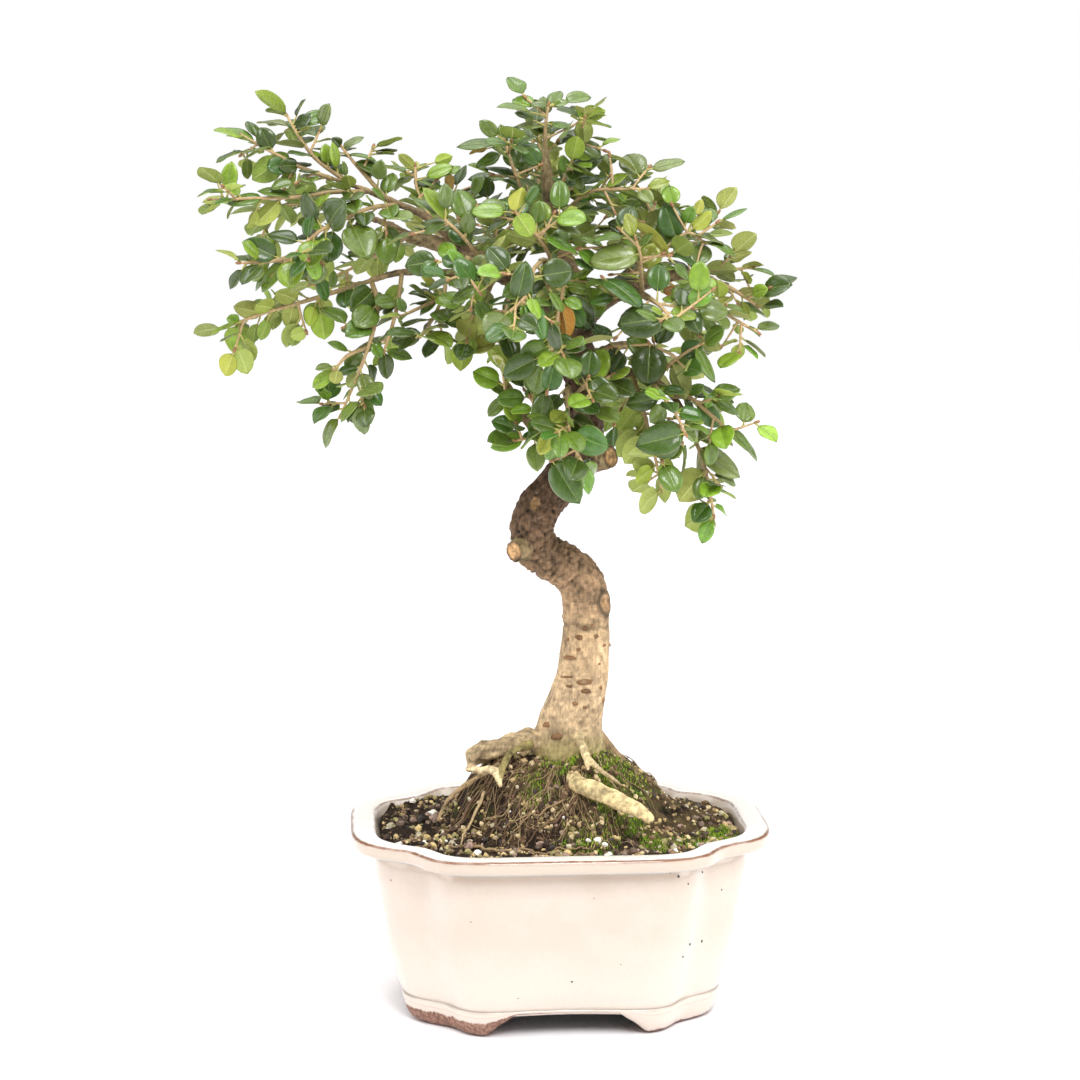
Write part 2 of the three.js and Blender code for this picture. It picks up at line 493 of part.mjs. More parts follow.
    twig: [[45.5, -8, 261.5], [49, -14, 255], [57.5, -16, 249], [68.5, -17, 242.5]],
    face: [0.3, -0.3, 0.9],
    leaves: [
      [56.5, 248.5, 66.5, 248, 3, "D grey"], [56.5, 237.5, 62, 240, 1.5, "D pale"],
      [49, 241, 56, 236.5, 5, "D grey"], [42, 254.5, 36, 256, 4, "U orange"],
      [64.5, 244, 70, 241.5, 1.5, "U mid"],
    ],
  },
  right_back_tip: {
    twig: [[41, 40, 270], [48.5, 46, 272.5], [55, 50, 273]],
    face: [0.4, 0.4, 0.9],
  },
  right_back_mid: {
    twig: [[31.5, 29, 264.5], [37.5, 40, 259.5], [44, 48, 253], [49.5, 52, 246.5]],
    face: [0.4, 0.6, 0.6],
  },
  right_back_top: {
    twig: [[24, 19, 260], [28, 30, 269], [31.5, 38, 277.5], [34.5, 42, 284.5]],
    face: [0.2, 0.4, 1],
  },
  cascade_tip: {
    twig: [[45, -13, 210], [49, -12, 201.5], [52.5, -10, 189.5], [54.5, -9, 178]],
    face: [0.4, -0.7, 0.5],
    leaves: [
      [49.5, 202.5, 64, 192, 8.5, "U grey"], [53, 189.5, 56.5, 179, 3.5, "U mid"],
      [55.5, 179, 45.5, 173.5, 11.5, "D pale"], [54.5, 176, 50, 168, 5, "U bright"],
      [51, 194, 42.5, 183, 12, "D pale"], [46.5, 200, 50.5, 188, 6.5, "D grey"],
    ],
  },
  cascade_out: {
    twig: [[39.5, -13, 220], [45.5, -18, 220], [50.5, -20, 216], [56.5, -21, 211], [61, -21, 206.5]],
    face: [0.4, -0.7, 0.6],
    leaves: [
      [51, 223, 61.5, 216.5, 6, "U grey"], [48, 218, 56, 210, 7, "U gloss"],
      [58.5, 210.5, 68, 202.5, 4, "U mid"], [51, 216.5, 53, 222, 3, "U bright"],
      [43, 219, 47.5, 214, 3, "U deep"],
    ],
  },
  cascade_mid: {
    twig: [[34, -12, 225], [37.5, -19, 231], [43.5, -23, 236], [48.5, -25, 239]],
    face: [0.3, -0.9, 0.5],
    leaves: [
      [31.5, 238.5, 30.5, 225.5, 12.5, "U deep"], [37.5, 234, 44, 222, 7, "D grey"],
      [33, 234, 35.5, 226, 6, "D grey"], [45, 231.5, 48.5, 238.5, 7.5, "U gloss"],
      [45.5, 240, 53, 228, 5, "U mid"], [18.5, 237.5, 20.5, 227.5, 6.5, "U deep"],
    ],
  },
  cascade_in: {
    twig: [[25.5, -9, 228], [28, -16, 220], [31, -19, 209.5], [33.5, -19, 199], [36, -17, 188]],
    face: [0.1, 0.6, 0.6],
    leaves: [
      [28.5, 226, 29, 209, 15.5, "D pale"], [25.5, 210.5, 20.5, 199.5, 8.5, "D pale"],
      [33, 193.5, 25.5, 198, 6.5, "D pale"], [36, 197.5, 35, 190, 4.5, "U mid"],
      [32, 192, 37.5, 184, 5, "D pale"],
    ],
  },
  cascade_front: {
    twig: [[31, -11, 226], [34.5, -26, 223], [39.5, -34, 216.5], [43, -36, 209.5]],
    face: [0.2, -1, 0.5],
    leaves: [
      [34.5, 220, 23, 219, 7, "U deep"], [43, 208, 26, 205.5, 11, "U deep"],
      [43, 202, 33, 200, 5, "U deep"],
    ],
  },
  front_low_a: {
    twig: [[3, -27, 224.5], [3, -34, 216.5], [4, -38, 208], [8.5, -39, 199]],
    face: [0, -1, 0.5],
    leaves: [
      [9, 225.5, 17.5, 209.5, 9.5, "U gloss"], [5.5, 210.5, 16.5, 205, 11, "U gloss"],
      [4, 208, -4.5, 215.5, 5, "U bright"], [2.5, 209, -5.5, 200.5, 7.5, "U bright"],
      [-2, 200.5, 7, 185.5, 9.5, "U deep"], [8.5, 198.5, 10.5, 189, 5, "U bright"],
      [10.5, 200.5, 15.5, 190, 4.5, "U mid"], [8, 225.5, 1, 217, 8.5, "U gloss"],
      [-7, 211.5, -4.5, 224, 8, "U deep"],
    ],
  },
  front_low_b: {
    twig: [[5, -18, 220.5], [8.5, -29, 225], [10, -34, 228.5]],
    face: [0.2, -1, 0.6],
    leaves: [[10, 228, 11, 238, 8, "U deep"], [13.5, 230.5, 18.5, 221, 7.5, "U deep"]],
  },
  stub_left_shoot: {
    twig: [[-7.5, -8, 207], [-11, -13, 205.5], [-14.5, -15, 205]],
    face: [-0.3, -1, 0.5],
    leaves: [[-12, 205.5, -24, 203, 7, "U bright"]],
  },
  stub_left_up: {
    twig: [[-15.5, -9, 218], [-17.5, -14, 219], [-19, -16, 219.5]],
    face: [-0.3, -1, 0.5],
    leaves: [[-18.5, 219.5, -24.5, 213.5, 5, "U mid"], [-16, 215, -12.5, 221.5, 6.5, "U gloss"]],
  },
  stub_front: {
    twig: [[-2, -6, 201], [-3.5, -16, 208], [-6, -21, 214.5], [-9.5, -23, 220.5]],
    face: [-0.2, -1, 0.5],
  },
  low_back_tip: {
    twig: [[32, 35, 234.5], [40.5, 42, 231], [47, 46, 226]],
    face: [0.3, 0.5, 0.6],
  },
  low_back_mid: {
    twig: [[19.5, 20, 233.5], [19.5, 30, 225], [21.5, 36, 215.5], [23.5, 38, 208]],
    face: [0.1, 0.7, 0.5],
  },
  back_tip: {
    twig: [[-8, 52, 277.5], [-10, 62, 281.5], [-12, 70, 284]],
    face: [0, 0.7, 0.9],
  },
  back_left: {
    twig: [[-3, 31, 270], [-12, 42, 272], [-21, 50, 274.5], [-29, 55, 277]],
    face: [-0.2, 0.6, 0.9],
  },
  back_right: {
    twig: [[-2.5, 29, 269.5], [6.5, 42, 272], [15.5, 52, 274.5], [23, 58, 276]],
    face: [0.2, 0.6, 0.9],
  },
  back_up: {
    twig: [[-6, 43, 274], [-6.5, 50, 284.5], [-7, 54, 293.5], [-8, 56, 300.5]],
    face: [0, 0.6, 1],
  },
  back_low: {
    twig: [[1, 18, 264.5], [1, 34, 256], [1.5, 44, 246.5], [3, 50, 238.5]],
    face: [0, 1, 0.4],
  },
  back_left_tip: {
    twig: [[-37.5, 45, 272], [-45, 52, 274.5], [-52.5, 58, 277]],
    face: [-0.2, 0.6, 0.9],
  },
  left_back_tip: {
    twig: [[-79, 34, 282.5], [-89, 38, 285], [-99, 40, 284.5], [-107.5, 42, 283]],
    face: [-0.4, 0.4, 0.9],
  },
  left_back_low: {
    twig: [[-53, 15, 274.5], [-62, 26, 269], [-71.5, 32, 263.5], [-80.5, 36, 259.5]],
    face: [-0.3, 0.5, 0.7],
  },
  mid_top_fill: {
    twig: [[-18, -2, 260], [-20.5, 3, 269.5], [-22.5, 5, 278.5], [-24.5, 6, 286.5]],
    face: [0, 0, 1],
  },
};

// A number from 0 to 1 that depends only on two whole numbers.
function draw(a, b) {
  let h = (Math.imul(a + 1, 374761393) + Math.imul(b + 1, 668265263)) | 0;
  h = Math.imul(h ^ (h >>> 13), 1274126177);
  return ((h ^ (h >>> 16)) >>> 0) / 4294967296;
}

function vec(point) {
  return new THREE.Vector3(point[0], point[1], point[2]);
}

function smooth(low, high, value) {
  const t = Math.min(1, Math.max(0, (value - low) / (high - low)));
  return t * t * (3 - 2 * t);
}

// A closed geometry as a solid that can be joined and cut.
function solid(geometry) {
  const bare = new THREE.BufferGeometry();
  bare.setAttribute("position", geometry.getAttribute("position").clone());
  if (geometry.index) bare.setIndex(geometry.index.clone());
  const merged = mergeVertices(bare, 1e-4);
  const kept = [];
  for (let i = 0; i < merged.index.count; i += 3) {
    const [a, b, c] = [0, 1, 2].map((k) => merged.index.getX(i + k));
    if (a !== b && b !== c && c !== a) kept.push(a, b, c);
  }
  const vertProperties = new Float32Array(merged.getAttribute("position").array);
  return new wasm.Manifold(
    new wasm.Mesh({ numProp: 3, vertProperties, triVerts: new Uint32Array(kept) }),
  );
}

function joined(solids) {
  return solids.reduce((whole, piece) => whole.add(piece));
}

// The largest connected body of a solid: what a cut leaves loose is dropped.
function largest(whole) {
  const bodies = whole.decompose();
  bodies.sort((a, b) => b.volume() - a.volume());
  return bodies[0];
}

function meshOf(name, whole, material) {
  const made = whole.getMesh();
  const geometry = new THREE.BufferGeometry();
  geometry.setAttribute("position", new THREE.BufferAttribute(made.vertProperties, 3));
  geometry.setIndex(new THREE.BufferAttribute(made.triVerts, 1));
  geometry.computeVertexNormals();
  const mesh = new THREE.Mesh(geometry, material);
  mesh.name = name;
  return mesh;
}

// A value along a list, at t from 0 to 1.
function valueAt(values, t) {
  const place = t * (values.length - 1);
  const low = Math.min(Math.floor(place), values.length - 2);
  return values[low] + (values[low + 1] - values[low]) * (place - low);
}

// A tapered round stem along a route: a cylinder whose rings are moved onto the route's curve.
function stem(route, sides, steps, grown = 0) {
  const curve = new THREE.CatmullRomCurve3(route.map(vec), false, "catmullrom", 0.5);
  const radii = route.map((point) => point[3] + grown);
  const rings = [];
  const normal = new THREE.Vector3(0.31, 0.9, 0.27);
  for (let k = 0; k <= steps; k++) {
    const along = curve.getTangent(k / steps);
    normal.addScaledVector(along, -normal.dot(along)).normalize();
    const side = along.clone().cross(normal);
    const radius = valueAt(radii, k / steps);
    const end = k === 0 ? -grown : k === steps ? grown : 0;
    const centre = curve.getPoint(k / steps).addScaledVector(along, end);
    rings.push({ centre, normal: normal.clone(), side, radius });
  }
  const geometry = new THREE.CylinderGeometry(1, 1, steps, sides, steps);
  const place = geometry.getAttribute("position");
  for (let i = 0; i < place.count; i++) {
    const ring = rings[Math.round(steps / 2 - place.getY(i))];
    const point = ring.centre.clone();
    point.addScaledVector(ring.normal, place.getX(i) * ring.radius);
    point.addScaledVector(ring.side, place.getZ(i) * ring.radius);
    place.setXYZ(i, point.x, point.y, point.z);
  }
  return solid(geometry);
}

// The pot's plan: how far the rim's outline is from the middle at an angle.
function lobe(shape, angle) {
  const c = Math.abs(Math.cos(angle) / shape.x) ** shape.power;
  const s = Math.abs(Math.sin(angle) / shape.y) ** shape.power;
  return (c + s) ** (-1 / shape.power);
}

// The plan drawn in by an inset: an even wall as far as WALL_ZONE, and in proportion within it.
function outline(angle, inset) {
  const reach = Math.max(lobe(END_LOBES, angle), lobe(SIDE_LOBES, angle));
  if (inset <= WALL_ZONE) return reach - inset;
  return ((reach - WALL_ZONE) * (PLAN_REACH - inset)) / (PLAN_REACH - WALL_ZONE);
}

// A profile of [inset, height] points swept round the pot's plan; an inset of PLAN_REACH is the axis.
function planSweep(profile, relief = () => 0) {
  const points = profile.map(([inset, z]) => new THREE.Vector2(PLAN_REACH - inset, z));
  const geometry = new THREE.LatheGeometry(points, PLAN_STEPS);
  const place = geometry.getAttribute("position");
  for (let i = 0; i < place.count; i++) {
    const radius = Math.hypot(place.getX(i), place.getZ(i));
    const angle = Math.atan2(-place.getZ(i), place.getX(i));
    const reach = outline(angle, PLAN_REACH - radius);
    const x = reach * Math.cos(angle);
    const y = reach * Math.sin(angle);
    place.setXYZ(i, x, y, place.getY(i) + relief(x, y, place.getY(i)));
  }
  return solid(geometry);
}

function upright(radius, height, sides, x, y, z) {
  const geometry = new THREE.CylinderGeometry(radius, radius, height, sides);
  return solid(geometry.rotateX(Math.PI / 2).translate(x, y, z));
}

// An opening between two feet: an extruded arch with stepped ends, pushed through along an axis.
function footArch(halfWidth, turned) {
  const ends = ARCH_END.map(([beyond, z]) => [halfWidth + beyond, z]);
  const mirrored = ends.map(([x, z]) => [-x, z]).reverse();
  const arch = new THREE.Shape([...ends, ...mirrored].map(([x, z]) => new THREE.Vector2(x, z)));
  const geometry = new THREE.ExtrudeGeometry(arch, { depth: ARCH_REACH, bevelEnabled: false });
  geometry.translate(0, 0, -ARCH_REACH / 2).rotateX(Math.PI / 2);
  if (turned) geometry.rotateZ(Math.PI / 2);
  return solid(geometry);
}

function makePot() {
  const lip = POT_HEIGHT - RIM_THICKNESS;
  const inside = HOLLOW.map(([z, inset]) => [inset, z]).reverse();
  const outside = BODY.map(([z, inset]) => [inset, z]);
  const shell = planSweep([
    [PLAN_REACH, FOOT_HEIGHT],
    ...outside.reverse(),
    [1, lip], [0, lip + 0.8], [0, POT_HEIGHT - 1], [0.8, POT_HEIGHT],
    [RIM_WIDTH, POT_HEIGHT], [RIM_WIDTH + 0.8, POT_HEIGHT - 1.5],
    ...inside.reverse(),
    [PLAN_REACH, FLOOR_TOP],
  ]);
  const ring = planSweep(FOOT_RING);
  const feet = ring.subtract(footArch(OPENING_FRONT, false)).subtract(footArch(OPENING_SIDE, true));
  let pot = shell.add(feet);
  for (const side of [-1, 1]) {
    const x = (side * DRAIN_SPACING) / 2;
    pot = pot.subtract(upright(DRAIN_RADIUS, 20, DRAIN_SIDES, x, 0, FLOOR_TOP - 5));
  }
  return pot;
}

// A drain screen: a thin square plate with a grid of square holes, laid on the floor over a drain hole.
function makeScreen(side) {
  const pitch = SCREEN_SIZE / SCREEN_HOLES;
  const open = SCREEN_OPEN_SHARE * pitch;
  const centreX = (side * DRAIN_SPACING) / 2;
  const z = FLOOR_TOP + CLEARANCE + SCREEN_THICKNESS / 2;
  const plate = new THREE.BoxGeometry(SCREEN_SIZE, SCREEN_SIZE, SCREEN_THICKNESS);
  let net = solid(plate.translate(centreX, 0, z));
  for (let i = 0; i < SCREEN_HOLES; i++)
    for (let j = 0; j < SCREEN_HOLES; j++) {
      const x = centreX + (i + 0.5) * pitch - SCREEN_SIZE / 2;
      const y = (j + 0.5) * pitch - SCREEN_SIZE / 2;
      net = net.subtract(solid(new THREE.BoxGeometry(open, open, 2).translate(x, y, z)));
    }
  return net;
}

// The room that a screen takes up in the underside of the soil.
function makeScreenRoom(side) {
  const size = SCREEN_SIZE + 2 * CLEARANCE;
  const height = SCREEN_THICKNESS + 2 * CLEARANCE;
  const z = FLOOR_TOP + CLEARANCE + (height - 1) / 2;
  const geometry = new THREE.BoxGeometry(size, size, height + 1);
  return solid(geometry.translate((side * DRAIN_SPACING) / 2, 0, z));
}

// The height of the soil's surface: nearly level at the wall and mounded round the trunk's foot.
function soilHeight(x, y) {
  const reach = Math.hypot((x - MOUND.x) / MOUND.reachX, (y - MOUND.y) / MOUND.reachY);
  return SOIL_LEVEL + MOUND.height * (1 - smooth(...MOUND_SLOPE, reach));
}

function makeSoil(grownTree, grownScreens) {
  const air = 3 * CLEARANCE;
  const wall = HOLLOW.map(([z, inset]) => [inset + air, Math.max(z, FLOOR_TOP + CLEARANCE)]);
  const top = wall[0][1] + 1;
  const rings = SOIL_RINGS.map((inset) => [inset, top]);
  const profile = [[PLAN_REACH, wall[2][1]], wall[2], wall[1], wall[0], ...rings, [PLAN_REACH, top]];
  const relief = (x, y, z) => {
    if (z < top) return 0;
    const rows = Math.sin(x * 1.31 + 2 * Math.sin(y * 0.83));
    const columns = Math.sin(y * 1.17 + 1.7 * Math.sin(x * 0.71));
    return soilHeight(x, y) - top + CRUMB * rows * columns;
  };
  const mound = planSweep(profile, relief);
  return largest(mound.subtract(grownTree).subtract(grownScreens));
}

// The tree's woody body: trunk, limbs, cut stubs and roots, in one piece.
function makeTree(grown = 0) {
  const stems = Object.entries(STEMS).map(([name, route]) => {
    const last = route.length - 1;
    return name === "trunk" ? stem(route, 9, last, grown) : stem(route, 5, last, grown);
  });
  const roots = Object.values(ROOTS).map((route) => stem(route, 4, route.length - 1, grown));
  return joined([...stems, ...roots]);
}

// A box round a blade or a stretch of stem, for the test that keeps pieces from crossing.
function boxAt(centre, axes, half, owner) {
  return { centre, axes, half, owner, reach: Math.hypot(...half) };
}

function stretchBox(a, b, radius, owner) {
  const along = b.clone().sub(a);
  const length = along.length();
  along.normalize();
  const side = along.clone().cross(new THREE.Vector3(0.31, 0.9, 0.27)).normalize();
  const centre = a.clone().add(b).multiplyScalar(0.5);
  return boxAt(centre, [side, along, side.clone().cross(along)], [radius, length / 2, radius], owner);
}

function bladeBox(leaf, owner) {
  const { start, along, normal, stalk, length, width } = leaf;
  const centre = start.clone().addScaledVector(along, stalk + length / 2);
  const side = along.clone().cross(normal);
  return boxAt(centre, [side, along, normal], [width / 2, length / 2, LEAF_THICKNESS / 2], owner);
}

// Whether two boxes come nearer than some room, by the separating-axis test.
function crosses(a, b, room) {
  const gap = b.centre.clone().sub(a.centre);
  if (gap.length() > a.reach + b.reach + room) return false;
  const tests = [...a.axes, ...b.axes];
  for (const p of a.axes)
    for (const q of b.axes) {
      const axis = p.clone().cross(q);
      if (axis.lengthSq() > 1e-4) tests.push(axis.normalize());
    }
  return tests.every((axis) => {
    let reach = room;
    for (let k = 0; k < 3; k++) {
      reach += a.half[k] * Math.abs(axis.dot(a.axes[k])) + b.half[k] * Math.abs(axis.dot(b.axes[k]));
    }
    return Math.abs(gap.dot(axis)) <= reach;
  });
}

// Whether a leaf's blade is clear of other sprays and the tree, and of the blades of its own spray.
function isClear(box, placed, ownToo) {
  return !placed.some((other) => {
    if (other.owner !== box.owner) return crosses(box, other, BOX_CLEARANCE);
    return ownToo && other.blade && crosses(box, other, OWN_ROOM);
  });
}

// The nearest point of a skeleton in the front view, with the radius there.
function attachment(skeleton, x, z) {
  let best = null;
  for (const { a, b } of skeleton) {
    const dx = b.x - a.x;
    const dz = b.z - a.z;
    const t = Math.min(1, Math.max(0, ((x - a.x) * dx + (z - a.z) * dz) / (dx * dx + dz * dz + 1e-9)));
    const point = a.clone().lerp(b, t);
    const away = Math.hypot(point.x - x, point.z - z);
    if (!best || away < best.away) best = { point, away };
  }
  return best;
}

// A leaf from where the front view shows its base and tip, how wide it looks, and which face shows:
// what the view shortens or narrows is its tilt.
function seenLeaf(row, start, base, face) {
  const [baseX, baseZ, tipX, tipZ, width, look] = row;
  const seen = Math.hypot(tipX - baseX, tipZ - baseZ);
  const length = Math.max(seen, width / BROADEST);
  const blade = Math.max(width, NARROWEST * length);
  const under = look[0] === "D";
  const rise = (tipZ >= baseZ ? 1 : -1) * (under ? -1 : 1);
  const depth = rise * Math.sqrt(Math.max(0, length * length - seen * seen));
  const tip = base.clone().add(new THREE.Vector3(tipX - baseX, depth, tipZ - baseZ));
  const along = tip.clone().sub(start);
  const stalk = along.length() - length;
  along.normalize();
  const toward = TO_VIEWER.clone().addScaledVector(along, -TO_VIEWER.dot(along)).normalize();
  if (under) toward.negate();
  const lift = along.clone().cross(toward);
  if (lift.dot(face) < 0) lift.negate();
  const open = Math.min(1, width / blade);
  const normal = toward.multiplyScalar(open);
  normal.addScaledVector(lift, Math.sqrt(1 - open * open)).normalize();
  return { start, along, normal, stalk: Math.max(0, stalk), length, width: blade };
}

// A leaf that a rule places: it leaves its stem at an angle and turns its upper side outwards.
function ruledLeaf(start, along, face, stalk, length, width) {
  const normal = face.clone().addScaledVector(along, -face.dot(along)).normalize();
  return { start, along, normal, stalk, length, width };
}

// The same leaf turned in steps until it is clear, or null.
function settled(leaf, placed, owner) {
  const axis = leaf.along.clone().cross(TO_VIEWER).normalize();
  for (const scale of [1, SMALLER])
    for (const swing of SWINGS)
      for (const roll of ROLLS) {
        const along = leaf.along.clone().applyAxisAngle(axis, swing);
        const normal = leaf.normal.clone().applyAxisAngle(axis, swing).applyAxisAngle(along, roll);
        const length = leaf.length * scale;
        const width = leaf.width * scale;
        const turned = { ...leaf, along, normal, length, width };
        const box = bladeBox(turned, owner);
        if (isClear(box, placed, true)) {
          placed.push({ ...box, blade: true });
          return turned;
        }
      }
  return null;
}

function addStretch(spray, placed, a, b, radius) {
  spray.skeleton.push({ a, b });
  placed.push(stretchBox(a, b, radius, spray.name));
}

// The twigs of every spray, then its leaves: the ones that the front view shows, those that a rule
// sets along each twig, and short side shoots with leaves of their own.
function growSprays() {
  const placed = [];
  for (const route of [...Object.values(STEMS), ...Object.values(ROOTS)])
    for (let k = 1; k < route.length; k++) {
      const [low, high] = [route[k - 1], route[k]];
      placed.push(stretchBox(vec(low), vec(high), Math.max(low[3], high[3]), "tree"));
    }
  const sprays = Object.entries(SPRAYS).map(([name, plan], index) => {
    const routes = [plan.twig, ...(plan.fork ? [plan.fork] : [])];
    const face = vec(plan.face).normalize();
    const shares = plan.leaves ? SEEN_SHARES : HIDDEN_SHARES;
    const spray = { name, index, plan, routes, face, shares, skeleton: [], shoots: [], leaves: [] };
    for (const route of routes)
      for (let k = 1; k < route.length; k++)
        addStretch(spray, placed, vec(route[k - 1]), vec(route[k]), TWIG_RADIUS);
    return spray;
  });
  sprays.forEach((spray) => addSeenLeaves(spray, placed));
  sprays.forEach((spray) => addTwigLeaves(spray, placed));
  sprays.forEach((spray) => addShoots(spray, placed));
  return sprays;
}

function addSeenLeaves(spray, placed) {
  const rows = [...(spray.plan.leaves || [])];
  const distance = (row) => attachment(spray.skeleton, row[0], row[1]).away;
  rows.sort((p, q) => distance(p) - distance(q));
  rows.forEach((row, k) => {
    const joint = attachment(spray.skeleton, row[0], row[1]);
    const lean = (draw(spray.index, k) - 0.5) * Math.min(MOST_LEAN, joint.away);
    const base = new THREE.Vector3(row[0], joint.point.y + lean, row[1]);
    let start = joint.point;
    if (joint.away > LONGEST_STALK) {
      addStretch(spray, placed, joint.point, base, SHOOT_RADIUS);
      spray.shoots.push({ a: joint.point, b: base, kept: true });
      start = base;
    }
    const leaf = settled(seenLeaf(row, start, base, spray.face), placed, spray.name);
    if (leaf) spray.leaves.push({ ...leaf, kept: true });
  });
}

function leafSize(a, b) {
  const length = LEAF_LENGTH[0] + (LEAF_LENGTH[1] - LEAF_LENGTH[0]) * draw(a, b);
  return [length, length * (WIDTH_SHARE.least + WIDTH_SHARE.more * draw(b, a))];
}

// Leaves in two ranks along a stretch of stem, with one at its end where the stem ends there.
function addRanks(spray, placed, a, b, from, seed, keptShare, ends) {
  const length = a.distanceTo(b);
  const stemWay = b.clone().sub(a).normalize();
  const side = stemWay.clone().cross(spray.face).normalize();
  const count = Math.floor((length - from) / LEAF_SPACING) + 1;
  for (let k = 0; k < count + ends; k++) {
    const last = k === count;
    const start = a.clone().addScaledVector(stemWay, last ? length : from + k * LEAF_SPACING);
    const room = last ? JOINT_ROOM.tip : JOINT_ROOM.side;
    if (spray.leaves.some((leaf) => leaf.start.distanceTo(start) < room)) continue;
    const hand = k % 2 ? 1 : -1;
    const drawn = draw(seed, k);
    const splay = last ? SPLAY.tip * (drawn - 0.5) : hand * (SPLAY.least + SPLAY.more * drawn);
    const lift = LIFT.reach * (draw(seed, k + DRAWS.lift) - LIFT.middle);
    const along = stemWay.clone().multiplyScalar(Math.cos(splay));
    along.addScaledVector(side, Math.sin(splay)).addScaledVector(spray.face, lift).normalize();
    const tipX = draw(seed, k + DRAWS.tipX) - 0.5;
    const tipY = draw(seed, k + DRAWS.tipY) - 0.5;
    const tip = new THREE.Vector3(tipX, tipY, TIP.up).multiplyScalar(TIP.reach);
    const tipped = spray.face.clone().add(tip);
    const [size, width] = leafSize(seed, k + DRAWS.size);
    const leaf = settled(ruledLeaf(start, along, tipped, STALK, size, width), placed, spray.name);
    if (leaf) spray.leaves.push({ ...leaf, kept: last || draw(seed, k + DRAWS.kept) < keptShare });
  }
}

function addTwigLeaves(spray, placed) {
  spray.routes.forEach((route, r) => {
    for (let k = 1; k < route.length; k++) {
      const seed = spray.index * 100 + r * 10 + k;
      const from = k === 1 ? FIRST_LEAF : 0.5 * LEAF_SPACING;
      const ends = k + 1 === route.length ? 1 : 0;
      addRanks(spray, placed, vec(route[k - 1]), vec(route[k]), from, seed, spray.shares.leaves, ends);
    }
  });
}

function dropLeavesAt(spray, point) {
  for (const leaf of spray.leaves) leaf.kept &&= leaf.start.distanceTo(point) > 1e-3;
}

function addShoots(spray, placed) {
  const route = spray.plan.twig.map(vec);
  for (let k = 1; k < route.length; k++) {
    const stemWay = route[k].clone().sub(route[k - 1]).normalize();
    const first = stemWay.clone().cross(spray.face).normalize();
    const second = stemWay.clone().cross(first);
    const seed = DRAWS.shoots + spray.index * 100 + k * 10;
    const angle = k * GOLDEN_ANGLE + draw(seed, 1);
    const way = stemWay.clone().multiplyScalar(SHOOT_LEAN.along);
    way.addScaledVector(first, SHOOT_LEAN.out * Math.cos(angle));
    way.addScaledVector(second, SHOOT_LEAN.out * Math.sin(angle)).normalize();
    const a = route[k - 1].clone().lerp(route[k], 0.5);
    const length = SHOOT_LENGTH[0] + (SHOOT_LENGTH[1] - SHOOT_LENGTH[0]) * draw(seed, 2);
    const b = a.clone().addScaledVector(way, length);
    const box = stretchBox(a.clone().lerp(b, SHOOT_START), b, SHOOT_RADIUS, spray.name);
    if (!isClear(box, placed, false)) continue;
    const kept = draw(seed, 3) < spray.shares.shoots;
    addStretch(spray, placed, a, b, SHOOT_RADIUS);
    spray.shoots.push({ a, b, kept });
    addRanks(spray, placed, a, b, FIRST_LEAF, seed, kept ? 1 : -1, 1);
    if (!kept) dropLeavesAt(spray, b);
  }
}

// A leaf's blade: a pointed oval with a low ridge along both faces, narrowing to a stalk in its stem.
function blade(leaf) {
  const { start, along, normal, stalk, length, width } = leaf;
  const root = [0, -ROOT_DEPTH];
  const low = stalk + BLADE.widest * length;
  const high = stalk + BLADE.shoulder * length;
  const shoulder = BLADE.shoulderWidth * width;
  const rim = [[0.5 * width, low], [shoulder, high], [0, stalk + length]];
  rim.push([-shoulder, high], [-0.5 * width, low]);
  const corners = [[...root, LEAF_ROOT / 2], [...root, -LEAF_ROOT / 2]];
  rim.forEach((point) => corners.push([...point, 0]));
  const ridge = stalk + BLADE.ridge * length;
  const crown = corners.push([0, ridge, LEAF_THICKNESS / 2]) - 1;
  const keel = corners.push([0, ridge, -LEAF_THICKNESS / 2]) - 1;
  const faces = [[0, 1, 2], [1, 0, 6]];
  const loop = [2, 3, 4, 5, 6];
  [0, ...loop].forEach((a, k, all) => faces.push([crown, a, all[(k + 1) % all.length]]));
  [1, ...loop].forEach((a, k, all) => faces.push([keel, all[(k + 1) % all.length], a]));
  const geometry = new THREE.BufferGeometry();
  geometry.setAttribute("position", new THREE.Float32BufferAttribute(corners.flat(), 3));
  geometry.setIndex(faces.flat());
  const place = new THREE.Matrix4().makeBasis(along.clone().cross(normal), along, normal);
  return solid(geometry.applyMatrix4(place.setPosition(start)));
}

function shootBar({ a, b }) {
  const middle = a.clone().lerp(b, 0.5);
  const route = [a, middle, b].map((point) => [point.x, point.y, point.z, SHOOT_RADIUS]);
  return stem(route, TWIG_SIDES, 1);
}

function makeSpray(spray, grownTree) {
  const twigs = spray.routes.map((route) => {
    const last = route.length - 1;
    const tapered = route.map(([x, y, z], k) => [x, y, z, TWIG_RADIUS * (1 - (TWIG_TAPER * k) / last)]);
    return stem(tapered, TWIG_SIDES, last);
  });
  const shoots = spray.shoots.filter((shoot) => shoot.kept).map(shootBar);
  const leaves = spray.leaves.filter((leaf) => leaf.kept).map(blade);
  return largest(joined([...twigs, ...shoots, ...leaves]).subtract(grownTree));
}

function finish(colour, roughness, metalness = 0) {
  return new THREE.MeshStandardMaterial({ color: colour, roughness, metalness });
}

const glaze = finish(0xe6dfce, 0.25);
const earth = finish(0x4b3a28, 0.95);
const bark = finish(0x9a8062, 0.85);
const foliage = finish(0x33502a, 0.4);
const netPlastic = finish(0x3a3d3a, 0.6);

